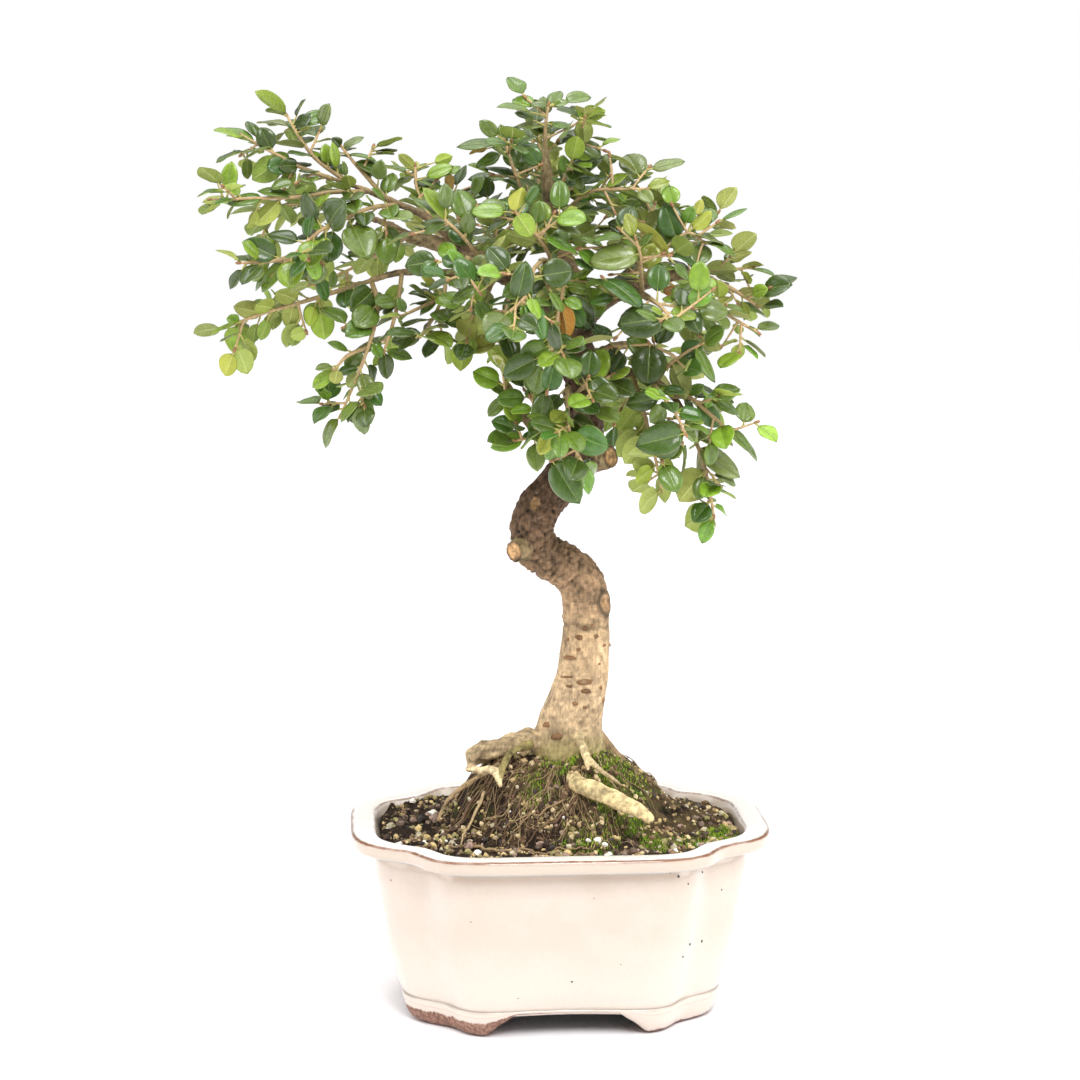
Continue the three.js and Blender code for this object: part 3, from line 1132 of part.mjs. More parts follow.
const model = new THREE.Group();
const grownTree = makeTree(CLEARANCE);
const screens = { left: makeScreen(-1), right: makeScreen(1) };
const screenRoom = joined([-1, 1].map((side) => makeScreenRoom(side)));
model.add(meshOf("pot", makePot(), glaze));
model.add(meshOf("screen_left", screens.left, netPlastic));
model.add(meshOf("screen_right", screens.right, netPlastic));
model.add(meshOf("soil", makeSoil(grownTree, screenRoom), earth));
model.add(meshOf("trunk", makeTree(), bark));
for (const spray of growSprays()) {
  model.add(meshOf("spray_" + spray.name, makeSpray(spray, grownTree), foliage));
}

// The origin goes under the middle of the model's box.
const box = new THREE.Box3().setFromObject(model, true);
const middle = box.getCenter(new THREE.Vector3());
model.position.set(-middle.x, -middle.y, -box.min.z);
const part = new THREE.Group();
part.add(model);

export default part;
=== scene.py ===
import math

import bpy
import numpy as np
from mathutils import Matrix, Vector


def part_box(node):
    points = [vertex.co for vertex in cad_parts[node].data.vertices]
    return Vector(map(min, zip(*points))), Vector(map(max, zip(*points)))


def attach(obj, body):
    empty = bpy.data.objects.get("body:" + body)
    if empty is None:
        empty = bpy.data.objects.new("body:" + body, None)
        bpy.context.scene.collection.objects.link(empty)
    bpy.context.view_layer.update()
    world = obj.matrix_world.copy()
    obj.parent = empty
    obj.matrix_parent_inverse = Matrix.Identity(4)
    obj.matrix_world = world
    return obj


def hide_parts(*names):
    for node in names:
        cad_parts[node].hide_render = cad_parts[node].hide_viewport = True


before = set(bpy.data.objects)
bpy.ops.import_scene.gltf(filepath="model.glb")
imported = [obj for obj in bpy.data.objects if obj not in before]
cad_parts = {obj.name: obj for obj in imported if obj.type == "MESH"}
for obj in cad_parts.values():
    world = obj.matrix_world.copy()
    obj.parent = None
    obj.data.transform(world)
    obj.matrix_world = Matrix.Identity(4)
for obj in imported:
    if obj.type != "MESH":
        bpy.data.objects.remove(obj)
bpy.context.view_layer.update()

MM = 0.001

# The camera: what it aims at, from how far and how high, and its focal length for a 1080-pixel frame.
CAMERA = {"aim": (-6.4, 0, 167.8), "distance": 1000, "pitch": 8.21, "focal_pixels": 2821.6}
FRAME_PIXELS = 1080
SENSOR_WIDTH = 36

# The pot's plan and profiles.
POT_HEIGHT = 67
END_LOBES = {"x": 75, "y": 46, "power": 4}
SIDE_LOBES = {"x": 53, "y": 62.5, "power": 6}
NOTCH_SOFTNESS = 8
NOTCH_FADE = 0.35
PLAN_TURN = 0.07
RIM_WIDTH = 9.5
RIM_THICKNESS = 5
FOOT_HEIGHT = 7
FLOOR_TOP = 13
PLAN_STEPS = 288
CORNER_STEPS = 4
PLAN_REACH = 100
WALL_ZONE = 34
BODY = [[60.5, 9.2], [58, 8.2], [53, 8], [29, 12.5], [15, 16.5], [10.5, 18.2], [FOOT_HEIGHT, 21]]
HOLLOW = [[57, 13.5], [30, 18.5], [FLOOR_TOP, 24]]
DRAIN_RADIUS = 8
DRAIN_SPACING = 46
DRAIN_SIDES = 48

# The soil.
SOIL_LEVEL = 61.5
MOUND = {"x": 4, "y": 2, "height": 30.5, "reach_x": 47, "reach_y": 45}
MOUND_SLOPE = [0.12, 1.1]

# Leaves and twigs, with the same sizes and the same rule as in the solids.
CLEARANCE = 0.3
BOX_CLEARANCE = CLEARANCE + 0.15
LEAF_THICKNESS = 0.9
LEAF_LENGTH = [8, 12]
BROADEST = 0.85
NARROWEST = 0.62
LEAF_SPACING = 4.4
FIRST_LEAF = 5
STALK = 1.6
LONGEST_STALK = 8
MOST_LEAN = 6
OWN_ROOM = -0.2
# The smaller sizes that are tried where a leaf has no room, and again once all the others are set.
SMALLER = 0.85
LATE_SIZES = (0.8, 0.68, 0.55)
# How near two leaves may start: along a stem, and at its tip.
JOINT_ROOM = {"side": 2.4, "tip": 1.5}
# How far leaves splay from their stem and lift from its plane, how their faces tip, and their width.
SPLAY = {"least": 0.8, "more": 0.35, "tip": 0.25}
LIFT = {"reach": 0.5, "middle": 0.35}
TIP = {"reach": 0.9, "up": 0.3}
WIDTH_SHARE = {"least": 0.74, "more": 0.12}
TWIG_RADIUS = 1.1
SHOOT_RADIUS = 0.75
SHOOT_LENGTH = [8, 13]
SHOOT_LEAN = {"along": 0.45, "out": 0.9}
SHOOT_START = 0.15
GOLDEN_ANGLE = 2.4
# Where each kind of draw starts in its row.
DRAWS = {"lift": 40, "tip_x": 80, "tip_y": 120, "size": 160, "shoots": 10000}
SWINGS = [0, 0.22, -0.22, 0.44, -0.44, 0.66, -0.66, 0.9, -0.9]
ROLLS = [0, 0.4, -0.4, 0.8, -0.8]
TO_VIEWER = np.array([0.0, -1.0, 0.0])
# A way that no stem follows, to take a square side from.
SIDEWAYS = np.array([0.31, 0.9, 0.27])
TREE = -1
ROOM_SIZE = 12000

# The tone of what has none of its own, the darkest tone, and how round a tube's ends are.
PLAIN = (0.5, 0.5, 0.5)
DARKEST = 0.004
TUBE_END = 0.5

# Woody routes: points of x, y, z and radius.
STEMS = {
    "trunk": [
        [3.5, 4, 76, 16], [3.5, 3, 85.5, 14.6], [3.5, 2, 93, 13], [4.5, 1, 102, 11.4], [6.5, 0, 110, 10.3],
        [8.5, 0, 117.5, 9.4], [9.5, 0, 126.5, 8.9], [10, 0, 136, 8.4], [10, 1, 145, 8.3], [8, 2, 153, 8.1],
        [2.5, 2, 158, 7.8], [-4, 1, 162, 7.8], [-8.5, 0, 166.5, 7.9], [-9, -1, 173, 7.9],
        [-6.5, -1, 179.5, 7.7], [-2, 0, 185.5, 7.4], [3, 1, 192, 7.2], [6.5, 2, 198, 7], [9, 3, 205, 6.6],
        [9, 3, 214, 6.2], [7.5, 2, 222.5, 5.9], [6.5, 2, 231.5, 5.6], [7.5, 3, 240, 5.3],
        [9, 3, 247.5, 4.9],
    ],
    "stub_right": [[6.5, 2, 195.5, 4.6], [12, 0, 196.5, 4.8], [16, -3, 197.5, 4.5], [18.5, -5, 198, 4.2]],
    "stub_left": [[-8, 0, 166, 4.4], [-12, -5, 165.5, 4.3], [-15.5, -9, 165, 4]],
    "pruned_left": [
        [5.5, 0, 195.5, 3.2], [-2, -6, 201.5, 2.6], [-8, -8, 208, 2.3], [-13.5, -9, 215, 2.1],
        [-19, -10, 224, 1.9],
    ],
    "limb_left": [
        [7.5, 2, 237, 4.6], [1.5, 0, 247.5, 4.4], [-8, -2, 254, 4.2], [-18.5, -2, 261, 4],
        [-29, 0, 267.5, 3.8], [-39.5, 1, 271.5, 3.4], [-50, 2, 274, 2.9], [-59.5, 2, 277, 2.2],
    ],
    "limb_left_high": [
        [-28, 0, 267, 2.6], [-37.5, -2, 275, 2.2], [-46.5, -4, 282, 1.9], [-58.5, -6, 287.5, 1.6],
        [-69.5, -8, 292, 1.3], [-80.5, -9, 296, 1],
    ],
    "limb_left_low": [
        [-18, -2, 260.5, 2.6], [-30.5, -8, 262, 2.2], [-44.5, -12, 263, 1.9], [-55, -14, 263, 1.6],
        [-65.5, -15, 260, 1.3], [-75.5, -15, 257, 1],
    ],
    "limb_left_back": [
        [-38, 1, 271, 2.4], [-49, 12, 273, 2.1], [-60, 22, 278, 1.8], [-71, 30, 281.5, 1.4],
        [-80.5, 34, 283, 1],
    ],
    "limb_back_left": [
        [-6.5, -2, 253, 3], [-15, 12, 259, 2.6], [-23.5, 25, 265, 2.2], [-32, 37, 269.5, 1.7],
        [-38.5, 46, 272.5, 1.1],
    ],
    "limb_front_left": [
        [-19.5, -2, 261, 2.6], [-23.5, -14, 264.5, 2.2], [-27.5, -25, 267, 1.7], [-31.5, -35, 269, 1.1],
    ],
    "limb_right": [
        [9, 3, 244, 4.4], [15.5, 1, 252, 4], [24.5, -3, 257, 3.5], [33.5, -6, 260, 3], [43, -8, 262, 2.3],
        [51, -9, 261, 1.7], [56.5, -10, 259, 1.1],
    ],
    "limb_right_back": [
        [14.5, 1, 251, 3], [20, 14, 257, 2.7], [27.5, 25, 262.5, 2.3], [35, 34, 267, 1.7],
        [41.5, 40, 270.5, 1.1],
    ],
    "limb_front_right": [
        [24.5, -3, 257, 2.5], [26.5, -15, 256.5, 2], [29.5, -26, 255.5, 1.6], [31.5, -35, 254.5, 1.1],
    ],
    "leader": [
        [9, 3, 246, 4.6], [5.5, 6, 257, 4.2], [1.5, 8, 267, 3.8], [-2, 8, 277, 3.3], [-3, 7, 287.5, 2.7],
        [-4, 6, 297, 2.1], [-4.5, 5, 305.5, 1.3],
    ],
    "limb_back": [
        [4, 7, 260, 3.2], [0.5, 20, 265, 2.9], [-3.5, 32, 270.5, 2.5], [-6.5, 44, 275, 1.9],
        [-8, 54, 278, 1.1],
    ],
    "limb_front": [
        [4.5, 5, 258, 3], [0.5, -8, 262, 2.6], [-2.5, -20, 265, 2.2], [-4.5, -31, 267.5, 1.7],
        [-6.5, -40, 268.5, 1.1],
    ],
    "limb_cascade": [
        [8, 2, 221.5, 3.6], [15.5, -4, 227.5, 3], [25, -9, 228, 2.5], [34, -12, 225, 2.1],
        [41.5, -13, 218, 1.6], [46, -13, 209, 1.1],
    ],
    "limb_front_low": [[9, 3, 206, 3.4], [7, -10, 215, 2.6], [4.5, -20, 221.5, 2], [2.5, -28, 225.5, 1.3]],
    "limb_low_back": [[7.5, 2, 227.5, 3], [15, 14, 233, 2.5], [24, 26, 235, 2], [33, 36, 234.5, 1.2]],
}

# Surface roots, in the same way.
ROOTS = {
    "root_thick": [
        [5, -4, 85, 3.6], [6, -20, 84.5, 3.4], [11.5, -28, 84, 3.3], [17.5, -33, 82.5, 3.1],
        [24, -38, 80.5, 2.8], [29, -41, 78.5, 2.5], [32, -42, 76, 1.8],
    ],
    "root_fork": [
        [7, -8, 99.5, 1.9], [8.5, -15, 96.5, 1.7], [11, -19, 92.5, 1.4], [16, -22, 88.5, 1.1],
        [22.5, -25, 84.5, 0.8],
    ],
    "root_fork_b": [[8.5, -14, 97, 1.3], [9.5, -19, 93, 1.1], [10.5, -23, 89.5, 0.8]],
    "root_log": [[-3.5, 0, 96, 4.6], [-14, -5, 96, 4.4], [-23.5, -9, 94, 4.2], [-31.5, -12, 91, 3.7]],
    "root_olive": [
        [-10, -8, 95.5, 1.7], [-16.5, -16, 94.5, 1.5], [-19.5, -22, 90, 1.3], [-21, -27, 85.5, 1],
    ],
    "root_white": [[-32, -12, 88, 1.5], [-27, -18, 88.5, 1.6], [-22.5, -22, 89, 1.5], [-20, -28, 85, 1.1]],
    "root_right": [[12.5, 3, 96.5, 3.6], [19, 7, 89.5, 2.9], [26, 9, 81.5, 2.3], [33.5, 9, 75.5, 1.6]],
    "root_back": [[4.5, 8, 92, 4], [1.5, 22, 83, 3.2], [-0.5, 34, 74.5, 2.3], [-2, 44, 66.5, 1.5]],
    "root_back_left": [[-2, 6, 92.5, 3.6], [-12, 16, 85.5, 2.8], [-21, 24, 77, 2], [-29.5, 28, 70.5, 1.3]],
    "root_left_arc": [
        [-20.5, -14, 89.5, 1.2], [-31, -22, 85, 1.1], [-38.5, -28, 80, 1], [-42, -34, 74, 0.8],
    ],
}

# Leafy sprays: each has a twig that starts in its limb, the way that its upper leaf faces turn, and the
# leaves that the front view shows: x and z of base and tip, seen width, and the face and shade that show.
SPRAYS = {
    "left_tip": {
        "twig": [[-78.5, -9, 295], [-89, -10, 299], [-98.5, -10, 304], [-108.5, -9, 309.5]],
        "face": [-0.2, -0.2, 1],
        "leaves": [
            [-104, 308, -117.5, 312.5, 4, "U mid"], [-97, 306, -102.5, 312.5, 7, "U deep"],
            [-95, 301.5, -105.5, 294.5, 9, "D mid"], [-93.5, 299.5, -101.5, 297.5, 7, "U gloss"],
            [-88, 302.5, -95.5, 299.5, 5.5, "U deep"], [-94.5, 292, -91.5, 298.5, 5, "U fresh"],
        ],
    },
    "left_top": {
        "twig": [[-71.5, -8, 293], [-82.5, -6, 300.5], [-89, -4, 308], [-94, -2, 316.5]],
        "face": [-0.2, -0.1, 1],
        "leaves": [
            [-94, 317, -104.5, 325.5, 5, "D fresh"], [-96, 315.5, -105, 320, 4, "U deep"],
            [-95.5, 310, -93, 316.5, 4, "D yellow"], [-88.5, 314.5, -79.5, 318, 2.5, "U mid"],
            [-91, 311.5, -86, 317.5, 4.5, "U deep"], [-88.5, 311.5, -83, 314.5, 2, "D grey"],
            [-87, 306, -97.5, 308.5, 3, "D grey"],
        ],
    },
    "left_crest": {
        "twig": [[-59.5, -6, 287.5], [-65.5, -4, 294.5], [-71, -2, 300.5], [-75.5, 0, 306]],
        "face": [0, -0.2, 1],
        "leaves": [
            [-75, 305.5, -68, 310, 3.5, "U grey"], [-74.5, 304, -69, 307, 3, "U mid"],
            [-75, 306.5, -78.5, 309, 4, "U deep"], [-75.5, 301.5, -86, 306, 5, "U grey"],
            [-74, 302.5, -63.5, 302, 3, "U mid"], [-72.5, 299, -60.5, 297, 4, "U deep"],
            [-59, 295, -60.5, 303.5, 5.5, "U grey"],
        ],
    },
    "left_far": {
        "twig": [
            [-66, -7, 290.5], [-77, -14, 290.5], [-88.5, -18, 289], [-101.5, -20, 288.5],
            [-118.5, -20, 288],
        ],
        "face": [-0.2, -0.4, 1],
        "leaves": [
            [-113.5, 291.5, -111.5, 301, 6, "U fresh"], [-114.5, 294, -118, 299, 3, "D pale"],
            [-115, 291.5, -126, 289.5, 4.5, "U deep"], [-113.5, 290.5, -121.5, 288, 3, "U yellow"],
            [-101, 288.5, -113.5, 287.5, 5, "U mid"], [-91, 289.5, -103, 291.5, 3, "U mid"],
            [-113, 287, -124.5, 282, 3, "D grey"], [-101.5, 286, -114.5, 280.5, 4, "U grey"],
            [-94.5, 287, -103.5, 278.5, 9.5, "D pale"], [-101.5, 283, -106, 278, 6, "D yellow"],
        ],
    },
    "left_orange": {
        "twig": [
            [-56, -6, 286], [-65, -16, 285], [-73, -22, 281.5], [-81.5, -26, 277.5], [-89, -28, 270.5],
            [-97, -28, 263],
        ],
        "fork": [[-90.5, -28, 269], [-98, -29, 267.5], [-108, -30, 267]],
        "face": [-0.3, -0.8, 0.7],
        "leaves": [
            [-82, 281.5, -87, 290.5, 9, "U deep"], [-80.5, 282, -70, 292.5, 11.5, "U deep"],
            [-80.5, 281.5, -76, 287, 4.5, "U mid"], [-75, 277, -79.5, 266.5, 9.5, "U gloss"],
            [-70.5, 279, -64.5, 269, 12.5, "U mid"], [-95, 270, -107, 274.5, 8.5, "U deep"],
            [-107.5, 268, -115.5, 272.5, 1.5, "D pale"], [-88, 275.5, -99, 277.5, 5.5, "U deep"],
            [-87, 275.5, -84.5, 283.5, 4, "U gloss"], [-86, 270, -88, 261, 7.5, "U deep"],
            [-80.5, 267, -84, 260, 7, "U grey"], [-89, 262.5, -101, 259, 6, "U mid"],
            [-84.5, 260, -92, 257.5, 3, "D grey"],
        ],
    },
    "left_low": {
        "twig": [[-73.5, -15, 257.5], [-86.5, -16, 253.5], [-102, -16, 249], [-115.5, -15, 244]],
        "face": [-0.2, 0.7, 0.6],
        "leaves": [
            [-110, 244.5, -110.5, 234.5, 11, "D fresh"], [-102, 249.5, -112, 251.5, 6.5, "D pale"],
            [-110, 248, -114.5, 247.5, 4, "U fresh"], [-99, 248.5, -102.5, 244, 6.5, "D pale"],
            [-91, 251, -93.5, 244, 7, "D pale"], [-87, 243, -92.5, 241, 5, "D pale"],
            [-81.5, 250, -80.5, 240, 8.5, "D fresh"], [-101, 250.5, -93.5, 256, 4, "D grey"],
            [-76, 256, -78, 251.5, 5, "D grey"], [-79, 253.5, -81.5, 248.5, 5.5, "D pale"],
            [-79.5, 258, -77.5, 264, 4, "U mid"],
        ],
    },
    "left_drop": {
        "twig": [
            [-64.5, -15, 260], [-62, -20, 252], [-64, -23, 242], [-67.5, -23, 232], [-71.5, -22, 222.5],
            [-75, -21, 214.5],
        ],
        "fork": [[-65.5, -23, 238], [-72.5, -26, 235], [-77, -27, 230]],
        "face": [-0.2, -0.8, 0.6],
        "leaves": [
            [-64, 257, -71, 250.5, 10.5, "U deep"], [-61, 241, -72, 245, 11, "U gloss"],
            [-69.5, 241, -72, 231, 6, "U mid"], [-77, 230, -84.5, 224.5, 5, "U fresh"],
            [-78, 234, -84, 231.5, 3.5, "U grey"], [-73, 229.5, -76.5, 224, 5, "D pale"],
            [-72, 224, -75, 219.5, 1.5, "D grey"], [-65.5, 229.5, -64, 219.5, 5, "U grey"],
            [-64.5, 219.5, -74, 215.5, 4, "U mid"], [-69, 229.5, -72.5, 224, 5, "D grey"],
            [-69, 231.5, -76.5, 229, 3.5, "U deep"],
        ],
    },
    "left_drop_b": {
        "twig": [[-54, -14, 263], [-55, -18, 254], [-57, -20, 245.5], [-60, -20, 236.5]],
        "face": [0.1, -0.7, 0.7],
        "leaves": [
            [-61.5, 235.5, -59, 226.5, 5.5, "U deep"], [-59.5, 234.5, -50, 234.5, 2, "U mid"],
            [-62.5, 236, -64, 231, 2.5, "D fresh"], [-56, 252, -62, 249.5, 5, "U deep"],
            [-54.5, 259, -59.5, 253.5, 7, "D fresh"],
        ],
    },
    "left_under": {
        "twig": [
            [-40.5, -11, 262.5], [-39, -16, 258], [-40.5, -20, 253], [-43.5, -22, 247], [-46.5, -23, 242.5],
        ],
        "fork": [[-39.5, -18, 255], [-44, -22, 253], [-53, -25, 249]],
        "face": [0, -0.7, 0.7],
        "leaves": [
            [-47, 243, -57.5, 240, 4, "U deep"], [-50, 247, -59.5, 243.5, 5, "U mid"],
            [-54, 249.5, -62, 248.5, 2, "D pale"], [-52.5, 250, -55, 255, 3.5, "U mid"],
            [-45, 255.5, -52, 253, 4, "U deep"], [-42, 256, -51.5, 257, 3, "U deep"],
            [-32.5, 258, -44.5, 252.5, 4, "U mid"], [-31, 255, -44, 247.5, 3.5, "U grey"],
            [-45.5, 243.5, -34, 240, 2, "U deep"],
        ],
    },
    "mid_under": {
        "twig": [[-21, -6, 261.5], [-25, -12, 256], [-29, -15, 250], [-31.5, -15, 241.5]],
        "face": [0, 0.7, 0.6],
        "leaves": [
            [-33.5, 248, -37, 235.5, 8.5, "D pale"], [-29, 249.5, -24.5, 240, 8.5, "D pale"],
            [-24, 238, -17, 229.5, 6.5, "D fresh"], [-30.5, 243, -28.5, 236.5, 4, "D pale"],
        ],
    },
    "mid_under_b": {
        "twig": [[-16, -3, 259.5], [-17.5, -14, 253.5], [-19, -18, 246], [-20, -19, 239.5]],
        "face": [0, -0.5, 0.6],
        "leaves": [
            [-18.5, 249.5, -17, 241, 5.5, "U mid"], [-15.5, 244.5, -14.5, 232.5, 2.5, "U deep"],
            [-13.5, 243.5, -12.5, 234.5, 3.5, "D grey"], [-17.5, 249.5, -28, 247.5, 6, "U fresh"],
        ],
    },
    "mid_left_front": {
        "twig": [[-30.5, -34, 268.5], [-32.5, -41, 266.5], [-29.5, -46, 262], [-26.5, -47, 258]],
        "face": [-0.2, -1, 0.6],
        "leaves": [
            [-24.5, 261, -18.5, 277.5, 4.5, "U grey"], [-21.5, 258, -12, 269.5, 4.5, "U grey"],
            [-27.5, 259.5, -36.5, 255.5, 4.5, "U mid"], [-27.5, 261.5, -34.5, 269.5, 8, "U gloss"],
            [-28.5, 271.5, -34.5, 276, 5, "U gloss"], [-41, 261, -46.5, 263.5, 6, "U gloss"],
            [-38.5, 263, -39.5, 269, 5, "U gloss"], [-36, 262, -36, 271.5, 2.5, "U bright"],
            [-41, 268, -52, 266.5, 9, "U deep"],
        ],
    },
    "mid_left_up": {
        "twig": [[-26, -20, 266], [-30, -28, 272.5], [-34.5, -32, 278], [-39.5, -34, 282.5]],
        "face": [-0.1, -0.7, 0.9],
        "leaves": [
            [-33.5, 285.5, -45.5, 293, 5, "U fresh"], [-32, 282, -45.5, 281.5, 1.5, "D pale"],
            [-30, 276, -36, 278, 6, "U gloss"], [-38, 280, -46, 277.5, 4, "U mid"],
        ],
    },
    "crest_a": {
        "twig": [[-44, -3, 280.5], [-47, 0, 285.5], [-49.5, 3, 291.5], [-50, 5, 299]],
        "face": [0, -0.2, 1],
        "leaves": [
            [-51, 298, -55.5, 303.5, 4, "D pale"], [-45.5, 294, -37, 300, 5, "U fresh"],
            [-42.5, 298.5, -37, 302.5, 4.5, "D fresh"], [-50, 295.5, -58.5, 293, 3, "U deep"],
            [-49.5, 294.5, -40.5, 292, 2.5, "U mid"],
        ],
    },
    "crest_b": {
        "twig": [[-30, 1, 268], [-33.5, 8, 276], [-36.5, 12, 284.5], [-39, 13, 291.5]],
        "face": [0, 0, 1],
        "leaves": [
            [-33.5, 291.5, -38.5, 297, 3.5, "D brown"], [-21.5, 295, -32, 295.5, 3.5, "U deep"],
            [-35.5, 287, -44.5, 288, 5, "U deep"], [-34, 288.5, -24, 291.5, 5, "U mid"],
        ],
    },
    "crest_c": {
        "twig": [[-2, 7, 276], [-7.5, 2, 283.5], [-12.5, -3, 291], [-16, -5, 299.5], [-18.5, -6, 307.5]],
        "face": [0, -0.3, 1],
        "leaves": [
            [-21.5, 309, -35.5, 306.5, 4.5, "U mid"], [-20, 311.5, -27.5, 315, 3.5, "U mid"],
            [-20, 303.5, -29, 299.5, 4.5, "U mid"], [-17, 308, -20, 313.5, 4, "U mid"],
            [-15, 306, -10, 309.5, 4, "U mid"], [-9, 296, -22, 298, 3, "U deep"],
            [-6.5, 299.5, -12.5, 307, 7, "U gloss"], [-6, 299.5, -2.5, 307, 5.5, "U gloss"],
            [-24.5, 305, -31.5, 303.5, 3.5, "D brown"],
        ],
    },
    "apex": {
        "twig": [[-4.5, 5, 304.5], [-4.5, 4, 312.5], [-3.5, 3, 320]],
        "face": [0, 0, 1],
        "leaves": [
            [-1.5, 322.5, -10, 327.5, 4.5, "D mid"], [-10, 317, -22, 321, 3, "U mid"],
            [-9, 313.5, -15, 318, 3, "U mid"], [2.5, 321.5, 12, 324, 3, "U grey"],
            [3.5, 320, 12, 318, 2, "U mid"], [-2, 320.5, -8.5, 321, 3, "U mid"],
            [-1.5, 319.5, 3.5, 321.5, 3, "U mid"], [-4.5, 313, -15.5, 314, 2.5, "U grey"],
            [-2.5, 313.5, 5.5, 313, 3, "U mid"],
        ],
    },
    "apex_right": {
        "twig": [[-3, 7, 285], [1.5, 3, 293.5], [5, 1, 301.5], [7.5, 0, 309], [8.5, -1, 315.5]],
        "face": [0.3, -0.4, 1],
        "leaves": [
            [6, 317.5, 9, 309, 6.5, "D mid"], [1.5, 295.5, 15, 303.5, 8, "U deep"],
            [16, 300, 14, 305.5, 3, "U bright"], [16, 304.5, 19.5, 308, 3, "U mid"],
            [4, 304.5, 10.5, 303, 4.5, "D fresh"], [1, 310, 10, 306, 5.5, "U mid"],
            [1, 296.5, 1.5, 303, 3.5, "U bright"],
        ],
    },
    "apex_back": {
        "twig": [[-3.5, 6, 291], [-4.5, 18, 298.5], [-6.5, 26, 305.5], [-7.5, 32, 312.5]],
        "face": [0, 0.4, 1],
    },
    "top_right": {
        "twig": [[-2, 7, 278], [4, 0, 285], [11, -7, 290.5], [20.5, -11, 291.5], [30, -13, 291.5]],
        "face": [0.2, -0.5, 1],
        "leaves": [
            [17.5, 303, 27.5, 298.5, 3, "D grey"], [19.5, 299, 28.5, 295, 5, "U mid"],
            [30.5, 292, 38, 295, 4, "U yellow"], [22.5, 294.5, 29, 292.5, 3, "U fresh"],
            [14.5, 296.5, 23.5, 297.5, 3.5, "U fresh"], [11.5, 292, 20, 289, 3, "U mid"],
            [20.5, 290.5, 28, 289, 3, "D mid"], [27, 288.5, 34.5, 285.5, 4, "U grey"],
        ],
    },
    "top_right_back": {
        "twig": [[-1.5, 8, 277], [8, 20, 285], [17, 30, 290.5], [25.5, 36, 294]],
        "face": [0.2, 0.3, 1],
    },
    "front_top": {
        "twig": [[-1.5, -18, 264.5], [-4.5, -27, 272], [-9, -32, 278], [-14.5, -35, 284]],
        "face": [0, -0.8, 0.8],
        "leaves": [
            [-15, 284.5, -13, 293, 8, "D yellow"], [-14.5, 283.5, -9, 276, 7.5, "D fresh"],
            [-18, 283.5, -30, 285, 6, "U fresh"], [-3.5, 279, 7, 271.5, 4, "U bright"],
            [6.5, 271.5, 15.5, 265, 5, "U bright"], [15.5, 272, 4, 277, 7, "U mid"],
            [1.5, 283, 6, 286, 2.5, "D yellow"], [-10.5, 286.5, -7, 293, 5, "U gloss"],
        ],
    },
    "front_end": {
        "twig": [
            [-6, -38, 268], [-8.5, -45, 265.5], [-9.5, -50, 260.5], [-12.5, -52, 255.5], [-16.5, -52, 252],
        ],
        "face": [0, -1, 0.6],
        "leaves": [
            [-6, 262.5, 5, 265, 10, "U deep"], [-19.5, 259, -10.5, 268.5, 8.5, "U deep"],
            [-11.5, 254.5, -10.5, 248, 3.5, "U bright"], [-13.5, 251, -18, 245, 5.5, "U bright"],
            [-8.5, 256, -4.5, 242, 8.5, "U gloss"], [-2.5, 248.5, -1, 238.5, 7.5, "U deep"],
            [-7, 272, -13, 269.5, 4, "U deep"],
        ],
    },
    "front_drop": {
        "twig": [[0, -11, 262.5], [1.5, -26, 258.5], [0.5, -33, 254], [-1, -36, 246.5], [-2.5, -37, 237.5]],
        "face": [0, -1, 0.5],
        "leaves": [
            [1, 254, 4, 241.5, 6, "D orange"], [1.5, 256, 12.5, 244, 7, "U deep"],
            [-6, 230.5, -19, 229.5, 9, "U deep"], [-4, 224, -1, 234.5, 8, "U gloss"],
        ],
    },
    "right_tip": {
        "twig": [[55.5, -10, 259.5], [62, -11, 256], [68.5, -12, 251.5]],
        "face": [0.3, -0.2, 1],
        "leaves": [
            [67, 259, 75, 259.5, 3, "U fresh"], [72.5, 256.5, 80.5, 252.5, 3, "U deep"],
            [67, 254.5, 74.5, 252, 4, "D pale"], [62, 257.5, 72.5, 256, 4, "D grey"],
        ],
    },
    "right_high": {
        "twig": [[29, -5, 258.5], [33.5, -10, 266.5], [38, -12, 272], [44.5, -12, 276.5], [50, -12, 273.5]],
        "face": [0.3, -0.6, 0.9],
        "leaves": [
            [40.5, 274.5, 36.5, 286.5, 10, "U gloss"], [44.5, 280, 53, 283.5, 5.5, "D yellow"],
            [48.5, 277, 57.5, 279, 3, "D pale"], [46, 277, 58, 273.5, 2, "U grey"],
            [47.5, 265.5, 50, 273.5, 8.5, "U grey"], [44.5, 284.5, 49.5, 288, 3.5, "D yellow"],
            [39, 286, 38.5, 290, 6.5, "U fresh"],
        ],
    },
    "right_upper": {
        "twig": [[25.5, -2, 257.5], [28.5, 4, 266], [30.5, 8, 273.5], [32.5, 10, 280], [34, 11, 285.5]],
        "face": [0.2, 0, 1],
        "leaves": [[22, 282, 29, 287, 6.5, "U mid"], [24.5, 276, 17.5, 279.5, 5.5, "U deep"]],
    },
    "right_far": {
        "twig": [[42, -7, 261.5], [50.5, -4, 263], [60, -2, 263.5], [67.5, 0, 264]],
        "face": [0.3, -0.2, 1],
        "leaves": [
            [50.5, 263.5, 62.5, 264.5, 3.5, "D grey"], [63.5, 264.5, 71.5, 266, 2, "D pale"],
            [42, 264, 41, 269.5, 5, "U grey"], [66.5, 262.5, 62, 260.5, 3, "U deep"],
            [55, 260, 64, 258.5, 3, "D grey"],
        ],
    },
    "right_front": {
        "twig": [[31, -34, 255], [34.5, -40, 252.5], [38, -43, 248.5]],
        "face": [0.2, -1, 0.5],
        "leaves": [
